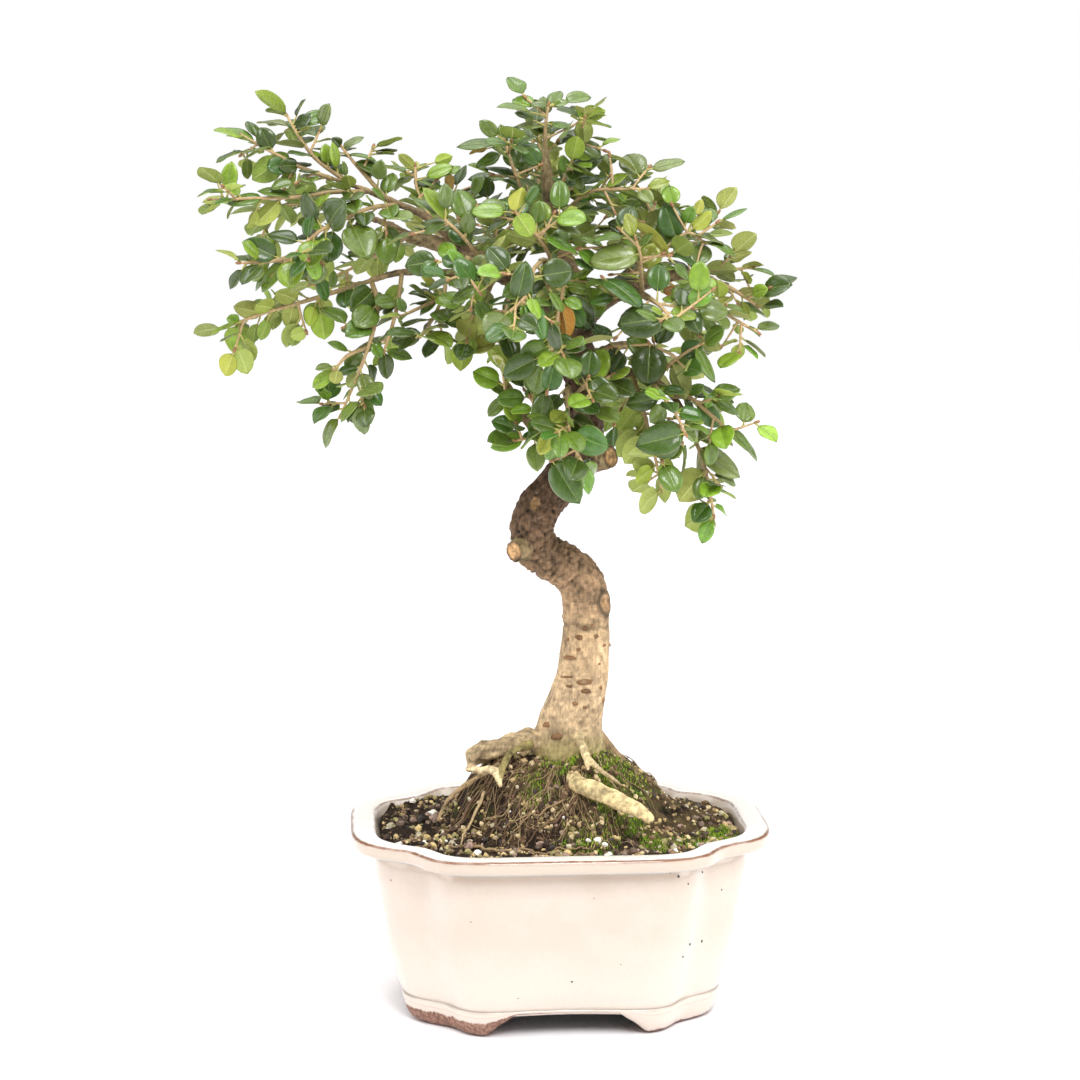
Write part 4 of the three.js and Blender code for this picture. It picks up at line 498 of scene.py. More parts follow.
            [35.5, 248, 19.5, 247, 12, "U deep"], [10.5, 260.5, 22.5, 254.5, 5, "U grey"],
            [15, 262, 31.5, 253, 6, "U gloss"], [35.5, 257.5, 34, 267.5, 8, "U gloss"],
            [51.5, 258.5, 43, 254, 7, "U bright"], [19.5, 242, 2.5, 239.5, 5, "D grey"],
        ],
    },
    "right_front_up": {
        "twig": [[28.5, -22, 256.5], [28, -28, 264], [27.5, -32, 270], [26, -34, 275]],
        "face": [0.1, -0.8, 0.8],
        "leaves": [
            [32.5, 271, 15, 268.5, 7, "U grey"], [37, 269.5, 27.5, 282.5, 3, "D yellow"],
            [18, 263, 31.5, 261, 3, "U bright"],
        ],
    },
    "right_low_twig": {
        "twig": [[45.5, -8, 261.5], [49, -14, 255], [57.5, -16, 249], [68.5, -17, 242.5]],
        "face": [0.3, -0.3, 0.9],
        "leaves": [
            [56.5, 248.5, 66.5, 248, 3, "D grey"], [56.5, 237.5, 62, 240, 1.5, "D pale"],
            [49, 241, 56, 236.5, 5, "D grey"], [42, 254.5, 36, 256, 4, "U orange"],
            [64.5, 244, 70, 241.5, 1.5, "U mid"],
        ],
    },
    "right_back_tip": {
        "twig": [[41, 40, 270], [48.5, 46, 272.5], [55, 50, 273]],
        "face": [0.4, 0.4, 0.9],
    },
    "right_back_mid": {
        "twig": [[31.5, 29, 264.5], [37.5, 40, 259.5], [44, 48, 253], [49.5, 52, 246.5]],
        "face": [0.4, 0.6, 0.6],
    },
    "right_back_top": {
        "twig": [[24, 19, 260], [28, 30, 269], [31.5, 38, 277.5], [34.5, 42, 284.5]],
        "face": [0.2, 0.4, 1],
    },
    "cascade_tip": {
        "twig": [[45, -13, 210], [49, -12, 201.5], [52.5, -10, 189.5], [54.5, -9, 178]],
        "face": [0.4, -0.7, 0.5],
        "leaves": [
            [49.5, 202.5, 64, 192, 8.5, "U grey"], [53, 189.5, 56.5, 179, 3.5, "U mid"],
            [55.5, 179, 45.5, 173.5, 11.5, "D pale"], [54.5, 176, 50, 168, 5, "U bright"],
            [51, 194, 42.5, 183, 12, "D pale"], [46.5, 200, 50.5, 188, 6.5, "D grey"],
        ],
    },
    "cascade_out": {
        "twig": [[39.5, -13, 220], [45.5, -18, 220], [50.5, -20, 216], [56.5, -21, 211], [61, -21, 206.5]],
        "face": [0.4, -0.7, 0.6],
        "leaves": [
            [51, 223, 61.5, 216.5, 6, "U grey"], [48, 218, 56, 210, 7, "U gloss"],
            [58.5, 210.5, 68, 202.5, 4, "U mid"], [51, 216.5, 53, 222, 3, "U bright"],
            [43, 219, 47.5, 214, 3, "U deep"],
        ],
    },
    "cascade_mid": {
        "twig": [[34, -12, 225], [37.5, -19, 231], [43.5, -23, 236], [48.5, -25, 239]],
        "face": [0.3, -0.9, 0.5],
        "leaves": [
            [31.5, 238.5, 30.5, 225.5, 12.5, "U deep"], [37.5, 234, 44, 222, 7, "D grey"],
            [33, 234, 35.5, 226, 6, "D grey"], [45, 231.5, 48.5, 238.5, 7.5, "U gloss"],
            [45.5, 240, 53, 228, 5, "U mid"], [18.5, 237.5, 20.5, 227.5, 6.5, "U deep"],
        ],
    },
    "cascade_in": {
        "twig": [[25.5, -9, 228], [28, -16, 220], [31, -19, 209.5], [33.5, -19, 199], [36, -17, 188]],
        "face": [0.1, 0.6, 0.6],
        "leaves": [
            [28.5, 226, 29, 209, 15.5, "D pale"], [25.5, 210.5, 20.5, 199.5, 8.5, "D pale"],
            [33, 193.5, 25.5, 198, 6.5, "D pale"], [36, 197.5, 35, 190, 4.5, "U mid"],
            [32, 192, 37.5, 184, 5, "D pale"],
        ],
    },
    "cascade_front": {
        "twig": [[31, -11, 226], [34.5, -26, 223], [39.5, -34, 216.5], [43, -36, 209.5]],
        "face": [0.2, -1, 0.5],
        "leaves": [
            [34.5, 220, 23, 219, 7, "U deep"], [43, 208, 26, 205.5, 11, "U deep"],
            [43, 202, 33, 200, 5, "U deep"],
        ],
    },
    "front_low_a": {
        "twig": [[3, -27, 224.5], [3, -34, 216.5], [4, -38, 208], [8.5, -39, 199]],
        "face": [0, -1, 0.5],
        "leaves": [
            [9, 225.5, 17.5, 209.5, 9.5, "U gloss"], [5.5, 210.5, 16.5, 205, 11, "U gloss"],
            [4, 208, -4.5, 215.5, 5, "U bright"], [2.5, 209, -5.5, 200.5, 7.5, "U bright"],
            [-2, 200.5, 7, 185.5, 9.5, "U deep"], [8.5, 198.5, 10.5, 189, 5, "U bright"],
            [10.5, 200.5, 15.5, 190, 4.5, "U mid"], [8, 225.5, 1, 217, 8.5, "U gloss"],
            [-7, 211.5, -4.5, 224, 8, "U deep"],
        ],
    },
    "front_low_b": {
        "twig": [[5, -18, 220.5], [8.5, -29, 225], [10, -34, 228.5]],
        "face": [0.2, -1, 0.6],
        "leaves": [[10, 228, 11, 238, 8, "U deep"], [13.5, 230.5, 18.5, 221, 7.5, "U deep"]],
    },
    "stub_left_shoot": {
        "twig": [[-7.5, -8, 207], [-11, -13, 205.5], [-14.5, -15, 205]],
        "face": [-0.3, -1, 0.5],
        "leaves": [[-12, 205.5, -24, 203, 7, "U bright"]],
    },
    "stub_left_up": {
        "twig": [[-15.5, -9, 218], [-17.5, -14, 219], [-19, -16, 219.5]],
        "face": [-0.3, -1, 0.5],
        "leaves": [[-18.5, 219.5, -24.5, 213.5, 5, "U mid"], [-16, 215, -12.5, 221.5, 6.5, "U gloss"]],
    },
    "stub_front": {
        "twig": [[-2, -6, 201], [-3.5, -16, 208], [-6, -21, 214.5], [-9.5, -23, 220.5]],
        "face": [-0.2, -1, 0.5],
    },
    "low_back_tip": {
        "twig": [[32, 35, 234.5], [40.5, 42, 231], [47, 46, 226]],
        "face": [0.3, 0.5, 0.6],
    },
    "low_back_mid": {
        "twig": [[19.5, 20, 233.5], [19.5, 30, 225], [21.5, 36, 215.5], [23.5, 38, 208]],
        "face": [0.1, 0.7, 0.5],
    },
    "back_tip": {
        "twig": [[-8, 52, 277.5], [-10, 62, 281.5], [-12, 70, 284]],
        "face": [0, 0.7, 0.9],
    },
    "back_left": {
        "twig": [[-3, 31, 270], [-12, 42, 272], [-21, 50, 274.5], [-29, 55, 277]],
        "face": [-0.2, 0.6, 0.9],
    },
    "back_right": {
        "twig": [[-2.5, 29, 269.5], [6.5, 42, 272], [15.5, 52, 274.5], [23, 58, 276]],
        "face": [0.2, 0.6, 0.9],
    },
    "back_up": {
        "twig": [[-6, 43, 274], [-6.5, 50, 284.5], [-7, 54, 293.5], [-8, 56, 300.5]],
        "face": [0, 0.6, 1],
    },
    "back_low": {
        "twig": [[1, 18, 264.5], [1, 34, 256], [1.5, 44, 246.5], [3, 50, 238.5]],
        "face": [0, 1, 0.4],
    },
    "back_left_tip": {
        "twig": [[-37.5, 45, 272], [-45, 52, 274.5], [-52.5, 58, 277]],
        "face": [-0.2, 0.6, 0.9],
    },
    "left_back_tip": {
        "twig": [[-79, 34, 282.5], [-89, 38, 285], [-99, 40, 284.5], [-107.5, 42, 283]],
        "face": [-0.4, 0.4, 0.9],
    },
    "left_back_low": {
        "twig": [[-53, 15, 274.5], [-62, 26, 269], [-71.5, 32, 263.5], [-80.5, 36, 259.5]],
        "face": [-0.3, 0.5, 0.7],
    },
    "mid_top_fill": {
        "twig": [[-18, -2, 260], [-20.5, 3, 269.5], [-22.5, 5, 278.5], [-24.5, 6, 286.5]],
        "face": [0, 0, 1],
    },
}


def draw(a, b):
    """A number from 0 to 1 that depends only on two whole numbers."""
    h = ((a + 1) * 374761393 + (b + 1) * 668265263) & 0xFFFFFFFF
    h = ((h ^ (h >> 13)) * 1274126177) & 0xFFFFFFFF
    return (h ^ (h >> 16)) / 4294967296


def length_of(v):
    return math.sqrt(float(v @ v))


def unit(v):
    length = length_of(v)
    return v / length if length else v


def between(span, share):
    """A value from a span's start to its end."""
    return span[0] + (span[1] - span[0]) * share


def peak(value, width):
    """A smooth bump of 1 where a value is 0, that many units wide."""
    return np.exp(-((value / width) ** 2))


def blended(tone, share, target):
    """Tones moved by a share at each point toward another."""
    return tone + share[:, None] * (np.array(target) - tone)


def turned(v, axis, angle):
    """A vector turned about a unit axis."""
    c, s = math.cos(angle), math.sin(angle)
    return v * c + np.cross(axis, v) * s + axis * float(axis @ v) * (1 - c)


def smooth(low, high, value):
    """An eased share from 0 to 1 as a value goes from low to high."""
    t = np.clip((value - low) / (high - low), 0, 1)
    return t * t * (3 - 2 * t)


def hue(red, green, blue):
    """A display colour of 0 to 255 a channel as a linear one."""
    linear = []
    for value in (red, green, blue):
        linear.append(((value / 255 + 0.055) / 1.055) ** 2.4 if value > 10.3 else value / 255 / 12.92)
    return tuple(linear)


def lattice(cells, seed):
    """A number from -1 to 1 for each whole-numbered cell."""
    c = cells.astype(np.int64)
    h = (c[..., 0] * 374761393 + c[..., 1] * 668265263 + c[..., 2] * 2147483647 + seed * 974711) & 0xFFFFFFFF
    h = ((h ^ (h >> 13)) * 1274126177) & 0xFFFFFFFF
    h = ((h ^ (h >> 15)) * 2246822519) & 0xFFFFFFFF
    return (h ^ (h >> 16)) / 2147483648.0 - 1


def grain(points, size, seed, octaves=1):
    """Smooth noise from about -1 to 1 at points, with features of a size, and finer ones added."""
    total = np.zeros(len(points))
    share = 1.0
    for octave in range(octaves):
        p = points / size * 2**octave
        low = np.floor(p)
        f = p - low
        f = f * f * (3 - 2 * f)
        for corner in range(8):
            step = np.array([corner & 1, corner >> 1 & 1, corner >> 2 & 1])
            weight = np.prod(np.where(step, f, 1 - f), axis=1)
            total += share * weight * lattice(low + step, seed + octave)
        share *= 0.5
    return total


class Heap:
    """The points and faces of one piece, gathered from shapes, with a finish and tones for each face."""

    def __init__(self):
        self.points, self.faces, self.finishes, self.tones, self.maps = [], [], [], [], []
        self.count = 0

    def add(self, points, faces, finish=0, tone=PLAIN, plan=None):
        """Adds a shape. Faces have three or four corners; a tone is one colour, or one for each point."""
        faces = np.asarray(faces, np.int64).reshape(len(faces), -1)
        if faces.shape[1] == 3:
            faces = np.hstack([faces, np.full((len(faces), 1), -1)])
        tone = np.asarray(tone, float)
        self.points.append(np.asarray(points, float))
        self.faces.append(np.where(faces < 0, -1, faces + self.count))
        self.finishes.append(np.broadcast_to(finish, len(faces)))
        self.tones.append(tone[faces] if tone.ndim == 2 else np.broadcast_to(tone, (*faces.shape, 3)))
        plan = np.zeros((len(points), 2)) if plan is None else plan
        self.maps.append(plan[faces])
        self.count += len(points)

    def make(self, name, finishes, smooth_faces=True):
        """The piece as a mesh object, with its tones and its plan coordinates as attributes."""
        points = np.concatenate(self.points)
        faces = np.concatenate(self.faces)
        corners = faces >= 0
        loops = faces[corners]
        starts = np.concatenate([[0], np.cumsum(corners.sum(1))[:-1]])
        tones = np.concatenate(self.tones)[corners]
        mesh = bpy.data.meshes.new(name)
        mesh.vertices.add(len(points))
        mesh.vertices.foreach_set("co", to_frame(points).astype(np.float32).ravel())
        mesh.loops.add(len(loops))
        mesh.loops.foreach_set("vertex_index", loops.astype(np.int32))
        mesh.polygons.add(len(faces))
        mesh.polygons.foreach_set("loop_start", starts.astype(np.int32))
        for finish in finishes:
            mesh.materials.append(finish)
        mesh.polygons.foreach_set("material_index", np.concatenate(self.finishes).astype(np.int32))
        mesh.polygons.foreach_set("use_smooth", np.full(len(faces), smooth_faces))
        mesh.update(calc_edges=True)
        colours = np.hstack([tones, np.ones((len(tones), 1))])
        layer = mesh.color_attributes.new("tone", "FLOAT_COLOR", "CORNER")
        layer.data.foreach_set("color", colours.astype(np.float32).ravel())
        plan = mesh.uv_layers.new(name="plan")
        plan.data.foreach_set("uv", np.concatenate(self.maps)[corners].astype(np.float32).ravel())
        mesh.validate()
        piece = placed(name, mesh)
        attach(piece, "root")
        return piece


def placed(name, data):
    """An object made of some data and put in the scene."""
    made = bpy.data.objects.new(name, data)
    bpy.context.scene.collection.objects.link(made)
    return made


def plain_mesh(name, points, faces):
    """A mesh without tones, from faces of three or four corners."""
    mesh = bpy.data.meshes.new(name)
    mesh.from_pydata(points.tolist(), [], [[c for c in face if c >= 0] for face in faces.tolist()])
    return mesh


def worked(thing):
    """An object's mesh after its modifiers."""
    return bpy.data.meshes.new_from_object(thing.evaluated_get(bpy.context.evaluated_depsgraph_get()))


def to_frame(points):
    """Millimetres in the pot's frame as metres in the shared frame."""
    low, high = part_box("pot")
    middle = np.array([(low.x + high.x) / 2, (low.y + high.y) / 2, 0])
    return np.asarray(points) * MM + middle


def curve(route, steps):
    """A smooth curve through a route's points: x, y, z and whatever else each point holds."""
    route = np.asarray(route, float)
    before = 2 * route[0] - route[1]
    after = 2 * route[-1] - route[-2]
    p = np.vstack([before, route, after])
    t = (np.arange(steps) / steps)[:, None]
    made = []
    for k in range(1, len(p) - 2):
        way_in = (p[k + 1] - p[k - 1]) / 2
        way_out = (p[k + 2] - p[k]) / 2
        rise = p[k + 1] - p[k]
        made.append(p[k] + way_in * t + (3 * rise - 2 * way_in - way_out) * t**2
                    + (way_in + way_out - 2 * rise) * t**3)
    return np.vstack([*made, route[-1:]])


def frames(line):
    """The direction and two square sides at each point of a line, without twist."""
    along = np.gradient(line, axis=0)
    along /= np.linalg.norm(along, axis=1)[:, None] + 1e-12
    normals = np.empty_like(along)
    normal = SIDEWAYS
    for k, way in enumerate(along):
        normal = unit(normal - way * float(normal @ way))
        normals[k] = normal
    return along, normals, np.cross(along, normals)


def skin(rings, sides):
    """The faces over rings of points, closed by a first and a last point that come after them."""
    k = np.arange(rings - 1)[:, None] * sides
    a = np.arange(sides)[None]
    b = (a + 1) % sides
    quads = np.stack([k + a, k + b, k + sides + b, k + sides + a], -1).reshape(-1, 4)
    a, b = a[0], b[0]
    rim = (rings - 1) * sides
    first = np.full(sides, rings * sides)
    none = np.full(sides, -1)
    bottom = np.stack([b, a, first, none], -1)
    top = np.stack([rim + a, rim + b, first + 1, none], -1)
    return np.vstack([quads, bottom, top])


def tube(line, radii, sides):
    """A closed round tube along a line: rings of points, and a point at each end."""
    line = np.asarray(line, float)
    radii = np.broadcast_to(radii, len(line))
    along, normals, across = frames(line)
    angles = 2 * np.pi * np.arange(sides) / sides
    ring = np.cos(angles)[None, :, None] * normals[:, None] + np.sin(angles)[None, :, None] * across[:, None]
    points = (line[:, None] + ring * radii[:, None, None]).reshape(-1, 3)
    ends = [line[0] - along[0] * radii[0] * TUBE_END, line[-1] + along[-1] * radii[-1] * TUBE_END]
    return np.vstack([points, ends]), skin(len(line), sides)


def ball(rings, sides):
    """A unit ball's points and faces."""
    heights = np.pi * np.arange(1, rings) / rings
    angles = 2 * np.pi * np.arange(sides) / sides
    points = []
    for h in heights:
        points += [[math.sin(h) * math.cos(a), math.sin(h) * math.sin(a), math.cos(h)] for a in angles]
    points += [[0, 0, 1], [0, 0, -1]]
    top, bottom = len(points) - 2, len(points) - 1
    faces = []
    for i in range(rings - 2):
        for j in range(sides):
            k = (j + 1) % sides
            faces.append([i * sides + j, (i + 1) * sides + j, (i + 1) * sides + k, i * sides + k])
    rim = (rings - 2) * sides
    for j in range(sides):
        k = (j + 1) % sides
        faces.append([top, j, k, -1])
        faces.append([bottom, rim + k, rim + j, -1])
    return np.array(points), np.array(faces)


class Room:
    """The boxes round blades and stretches of stem, for the test that keeps leaves from crossing."""

    def __init__(self):
        self.centres = np.zeros((ROOM_SIZE, 3))
        self.axes = np.zeros((ROOM_SIZE, 3, 3))
        self.halves = np.zeros((ROOM_SIZE, 3))
        self.reaches = np.zeros(ROOM_SIZE)
        self.owners = np.zeros(ROOM_SIZE, int)
        self.blades = np.zeros(ROOM_SIZE, bool)
        self.apart = BOX_CLEARANCE
        self.count = 0

    def put(self, box):
        k = self.count
        self.centres[k], self.axes[k], self.halves[k] = box["centre"], box["axes"], box["half"]
        self.reaches[k], self.owners[k], self.blades[k] = box["reach"], box["owner"], box["blade"]
        self.count += 1

    def clear(self, box, own_too):
        """Whether a box is clear of other sprays and the tree, and of the blades of its own spray."""
        n = self.count
        away = np.linalg.norm(self.centres[:n] - box["centre"], axis=1)
        own = self.owners[:n] == box["owner"]
        room = np.where(own, min(OWN_ROOM, self.apart), self.apart)
        near = away <= self.reaches[:n] + box["reach"] + room
        near &= ~own | (self.blades[:n] if own_too else False)
        rows = np.nonzero(near)[0]
        if not len(rows):
            return True
        gaps = self.centres[rows] - box["centre"]
        mine, theirs = box["axes"], self.axes[rows]
        tests = [np.broadcast_to(mine, (len(rows), 3, 3)), theirs]
        for p in mine:
            axis = np.cross(p, theirs)
            size = np.linalg.norm(axis, axis=2, keepdims=True)
            tests.append(np.where(size**2 > 1e-4, axis / np.maximum(size, 1e-9), 0))
        tests = np.concatenate(tests, axis=1)
        reach = np.abs(np.einsum("nij,kj->nik", tests, mine)) @ box["half"]
        reach += np.einsum("nik,nk->ni", np.abs(np.einsum("nij,nkj->nik", tests, theirs)), self.halves[rows])
        reach += room[rows, None]
        apart = np.abs(np.einsum("nij,nj->ni", tests, gaps)) > reach
        apart &= np.abs(tests).sum(2) > 0
        return bool(apart.any(axis=1).all())


def box_at(centre, axes, half, owner, is_blade=False):
    """A box for the test: where it is, its sides, and whose it is."""
    half = np.array(half)
    return {"centre": centre, "axes": np.array(axes), "half": half, "owner": owner,
            "reach": float(np.linalg.norm(half)), "blade": is_blade}


def stretch_box(a, b, radius, owner):
    """The box round a stretch of stem."""
    length = length_of(b - a)
    along = (b - a) / length
    side = unit(np.cross(along, SIDEWAYS))
    return box_at((a + b) / 2, [side, along, np.cross(side, along)], [radius, length / 2, radius], owner)


def blade_box(leaf, owner):
    """The box round a leaf's blade."""
    centre = leaf["start"] + leaf["along"] * (leaf["stalk"] + leaf["length"] / 2)
    side = np.cross(leaf["along"], leaf["normal"])
    half = [leaf["width"] / 2, leaf["length"] / 2, LEAF_THICKNESS / 2]
    return box_at(centre, [side, leaf["along"], leaf["normal"]], half, owner, True)


def attachment(skeleton, x, z):
    """The nearest point of a skeleton in the front view, and how far it is."""
    best = None
    for a, b in skeleton:
        dx, dz = b[0] - a[0], b[2] - a[2]
        t = min(1, max(0, ((x - a[0]) * dx + (z - a[2]) * dz) / (dx * dx + dz * dz + 1e-9)))
        point = a + (b - a) * t
        away = math.hypot(point[0] - x, point[2] - z)
        if best is None or away < best[1]:
            best = (point, away)
    return best


def leaf_at(start, along, normal, stalk, length, width):
    """A leaf's place and sizes."""
    return {"start": start, "along": along, "normal": normal, "stalk": stalk, "length": length,
            "width": width}


def seen_leaf(row, start, base, face):
    """A leaf from where the front view shows it: what the view shortens or narrows is its tilt."""
    base_x, base_z, tip_x, tip_z, width, look = row
    seen = math.hypot(tip_x - base_x, tip_z - base_z)
    length = max(seen, width / BROADEST)
    breadth = max(width, NARROWEST * length)
    under = look[0] == "D"
    rise = (1 if tip_z >= base_z else -1) * (-1 if under else 1)
    depth = rise * math.sqrt(max(0, length * length - seen * seen))
    along = base + np.array([tip_x - base_x, depth, tip_z - base_z]) - start
    stalk = length_of(along) - length
    along = unit(along)
    toward = unit(TO_VIEWER - along * float(TO_VIEWER @ along))
    if under:
        toward = -toward
    lift = np.cross(along, toward)
    if float(lift @ face) < 0:
        lift = -lift
    open_share = min(1, width / breadth)
    normal = unit(toward * open_share + lift * math.sqrt(1 - open_share**2))
    return leaf_at(start, along, normal, max(0, stalk), length, breadth)


def ruled_leaf(start, along, face, stalk, length, width):
    """A leaf that a rule places: it leaves its stem at an angle and turns its upper side outwards."""
    normal = unit(face - along * float(face @ along))
    return leaf_at(start, along, normal, stalk, length, width)


def settled(leaf, room, owner, scales=(1, SMALLER), tries=len(SWINGS)):
    """The same leaf turned in steps until it is clear, or None."""
    axis = unit(np.cross(leaf["along"], TO_VIEWER))
    for scale in scales:
        for swing in SWINGS[:tries]:
            for roll in ROLLS[:tries]:
                along = turned(leaf["along"], axis, swing)
                normal = turned(turned(leaf["normal"], axis, swing), along, roll)
                made = {**leaf, "along": along, "normal": normal, "length": leaf["length"] * scale,
                        "width": leaf["width"] * scale}
                box = blade_box(made, owner)
                if room.clear(box, True):
                    room.put(box)
                    return made
    return None


def add_stretch(spray, room, a, b, radius):
    """Adds a stretch to a spray's twigs and to the room that they take."""
    spray["skeleton"].append((a, b))
    room.put(stretch_box(a, b, radius, spray["index"]))


def grow_sprays():
    """The twigs of every spray, then its leaves in the order in which the solids have them, and more."""
    room = Room()
    for route in [*STEMS.values(), *ROOTS.values()]:
        for p, q in zip(route, route[1:]):
            room.put(stretch_box(np.array(p[:3], float), np.array(q[:3], float), max(p[3], q[3]), TREE))
    sprays = []
    for index, (name, plan) in enumerate(SPRAYS.items()):
        routes = [plan["twig"]] + ([plan["fork"]] if "fork" in plan else [])
        spray = {"name": name, "index": index, "plan": plan, "face": unit(np.array(plan["face"], float)),
                 "routes": [np.array(route, float) for route in routes], "skeleton": [], "shoots": [],
                 "leaves": [], "missed": []}
        for route in spray["routes"]:
            for a, b in zip(route, route[1:]):
                add_stretch(spray, room, a, b, TWIG_RADIUS)
        sprays.append(spray)
    for step in (add_seen_leaves, add_twig_leaves, add_shoots, add_missed_leaves):
        for spray in sprays:
            step(spray, room)
    room.apart = FILL_ROOM
    for rule in (FILL, YOUNG):
        for spray in sprays:
            add_gap_leaves(spray, room, rule)
    return sprays


def add_seen_leaves(spray, room):
    """The leaves that the front view shows, each on the nearest twig or on a short shoot."""
    skeleton = spray["skeleton"]
    rows = sorted(spray["plan"].get("leaves", []), key=lambda row: attachment(skeleton, row[0], row[1])[1])
    for k, row in enumerate(rows):
        point, away = attachment(skeleton, row[0], row[1])
        lean = (draw(spray["index"], k) - 0.5) * min(MOST_LEAN, away)
        base = np.array([row[0], point[1] + lean, row[1]])
        start = point
        if away > LONGEST_STALK:
            add_stretch(spray, room, point, base, SHOOT_RADIUS)
            spray["shoots"].append((point, base))
            start = base
        wanted = seen_leaf(row, start, base, spray["face"])
        leaf = settled(wanted, room, spray["index"])
        if leaf:
            spray["leaves"].append({**leaf, "look": row[5]})
        else:
            spray["missed"].append({**wanted, "look": row[5]})


def leaf_size(a, b):
    """A ruled leaf's length and width."""
    length = between(LEAF_LENGTH, draw(a, b))
    return length, length * (WIDTH_SHARE["least"] + WIDTH_SHARE["more"] * draw(b, a))


def stem_frame(a, b, face):
    """A stretch's length, its way, and two sides square to it."""
    way = unit(b - a)
    first = unit(np.cross(way, face))
    return length_of(b - a), way, first, np.cross(way, first)


def add_ranks(spray, room, a, b, first, seed, ends):
    """Leaves in two ranks along a stretch of stem, with one at its end where the stem ends there."""
    length, way, side, _ = stem_frame(a, b, spray["face"])
    count = math.floor((length - first) / LEAF_SPACING) + 1
    for k in range(count + ends):
        last = k == count
        start = a + way * (length if last else first + k * LEAF_SPACING)
        apart = JOINT_ROOM["tip" if last else "side"]
        if any(np.linalg.norm(leaf["start"] - start) < apart for leaf in spray["leaves"]):
            continue
        hand = 1 if k % 2 else -1
        splay = hand * (SPLAY["least"] + SPLAY["more"] * draw(seed, k))
        if last:
            splay = SPLAY["tip"] * (draw(seed, k) - 0.5)
        lift = LIFT["reach"] * (draw(seed, k + DRAWS["lift"]) - LIFT["middle"])
        along = unit(way * math.cos(splay) + side * math.sin(splay) + spray["face"] * lift)
        tip = [draw(seed, k + DRAWS["tip_x"]) - 0.5, draw(seed, k + DRAWS["tip_y"]) - 0.5, TIP["up"]]
        size, width = leaf_size(seed, k + DRAWS["size"])
        wanted = ruled_leaf(start, along, spray["face"] + np.array(tip) * TIP["reach"], STALK, size, width)
        leaf = settled(wanted, room, spray["index"])
        if leaf:
            spray["leaves"].append({**leaf, "look": "R"})


def add_twig_leaves(spray, room):
    """Leaves in two ranks along every twig."""
    for r, route in enumerate(spray["routes"]):
        for k in range(1, len(route)):
            seed = spray["index"] * 100 + r * 10 + k
            first = FIRST_LEAF if k == 1 else 0.5 * LEAF_SPACING
            add_ranks(spray, room, route[k - 1], route[k], first, seed, 1 if k + 1 == len(route) else 0)


def add_shoots(spray, room):
    """Short side shoots round the first twig, with leaves of their own."""
    route = spray["routes"][0]
    for k in range(1, len(route)):
        _, way, first, second = stem_frame(route[k - 1], route[k], spray["face"])
        seed = DRAWS["shoots"] + spray["index"] * 100 + k * 10
        angle = k * GOLDEN_ANGLE + draw(seed, 1)
        out = SHOOT_LEAN["out"]
        along = way * SHOOT_LEAN["along"] + first * (out * math.cos(angle))
        way = unit(along + second * (out * math.sin(angle)))
        a = route[k - 1] + (route[k] - route[k - 1]) * 0.5
        b = a + way * between(SHOOT_LENGTH, draw(seed, 2))
        if not room.clear(stretch_box(a + (b - a) * SHOOT_START, b, SHOOT_RADIUS, spray["index"]), False):
            continue
        add_stretch(spray, room, a, b, SHOOT_RADIUS)
        spray["shoots"].append((a, b))
        add_ranks(spray, room, a, b, FIRST_LEAF, seed, 1)


def add_missed_leaves(spray, room):
    """Leaves that the front view shows and that had no room at full size, a little smaller."""
    for wanted in spray["missed"]:
        leaf = settled(wanted, room, spray["index"], LATE_SIZES)
        if leaf:
            spray["leaves"].append(leaf)


def add_gap_leaves(spray, room, rule):
    """Leaves all round the twigs and shoots, wherever there is room among the others."""
    base, per_spray, per_stretch = rule["seeds"]
    for s, (a, b) in enumerate(spray["skeleton"]):
        length, way, first, second = stem_frame(a, b, spray["face"])
        for k in range(max(1, int(length / rule["spacing"]))):
            seed = base + spray["index"] * per_spray + s * per_stretch + k
            start = a + way * min(length, rule["spacing"] * (k + draw(seed, 6)))
            if draw(seed, 9) > rule["shares"][0 if start[0] < OPEN_SIDE else 1]:
                continue
            angle = k * rule["turn"] + rule["spread"] * draw(seed, 5)
            outward = first * math.cos(angle) + second * math.sin(angle)
            if "leaves" in spray["plan"] and float(outward @ TO_VIEWER) > FRONT_LEFT_CLEAR:
                continue
            size = between(rule["length"], draw(seed, 7))
            stalk = between(rule["stalk"], draw(seed, 8))
            along = unit(way * GAP_LEAN + outward)
            face = spray["face"] + outward * GAP_TILT
            wanted = ruled_leaf(start, along, face, stalk, size, size * rule["width"])
            leaf = settled(wanted, room, spray["index"], rule["scales"], GAP_TRIES)
            if leaf:
                spray["leaves"].append({**leaf, "look": rule["look"]})


# Leaf shapes: rows from base to tip, columns across, with the close ones at the midrib and the edges.
LEAF_ROWS = 8
LEAF_COLUMNS = np.array([-1, -0.88, -0.5, -0.09, 0, 0.09, 0.5, 0.88, 1])
BLADE_THICKNESS = 0.34

# Leaves that fill gaps: grown ones, and small young ones. The shares are those that are set left of
# OPEN_SIDE and right of it, where the crown is sparser.
FILL = {
    "look": "F", "spacing": 1.85, "length": [7, 11], "width": 0.68, "stalk": [1.5, 3.5], "scales": (1, 0.8),
    "turn": GOLDEN_ANGLE, "spread": 6.28, "shares": [1, 0.2], "seeds": [60000, 300, 12],
}
YOUNG = {
    "look": "Y", "spacing": 4, "length": [4.5, 7.5], "width": 0.75, "stalk": [1.4, 1.4], "scales": (1,),
    "turn": 0, "spread": 2 * math.pi, "shares": [1, 1], "seeds": [30000, 200, 8],
}
OPEN_SIDE = 24
FILL_ROOM = -0.25
GAP_LEAN = 0.8
GAP_TILT = 0.3
GAP_TRIES = 3
# How squarely a filling leaf may face the viewer on a spray whose seen leaves are laid out one by one.
FRONT_LEFT_CLEAR = 0.28
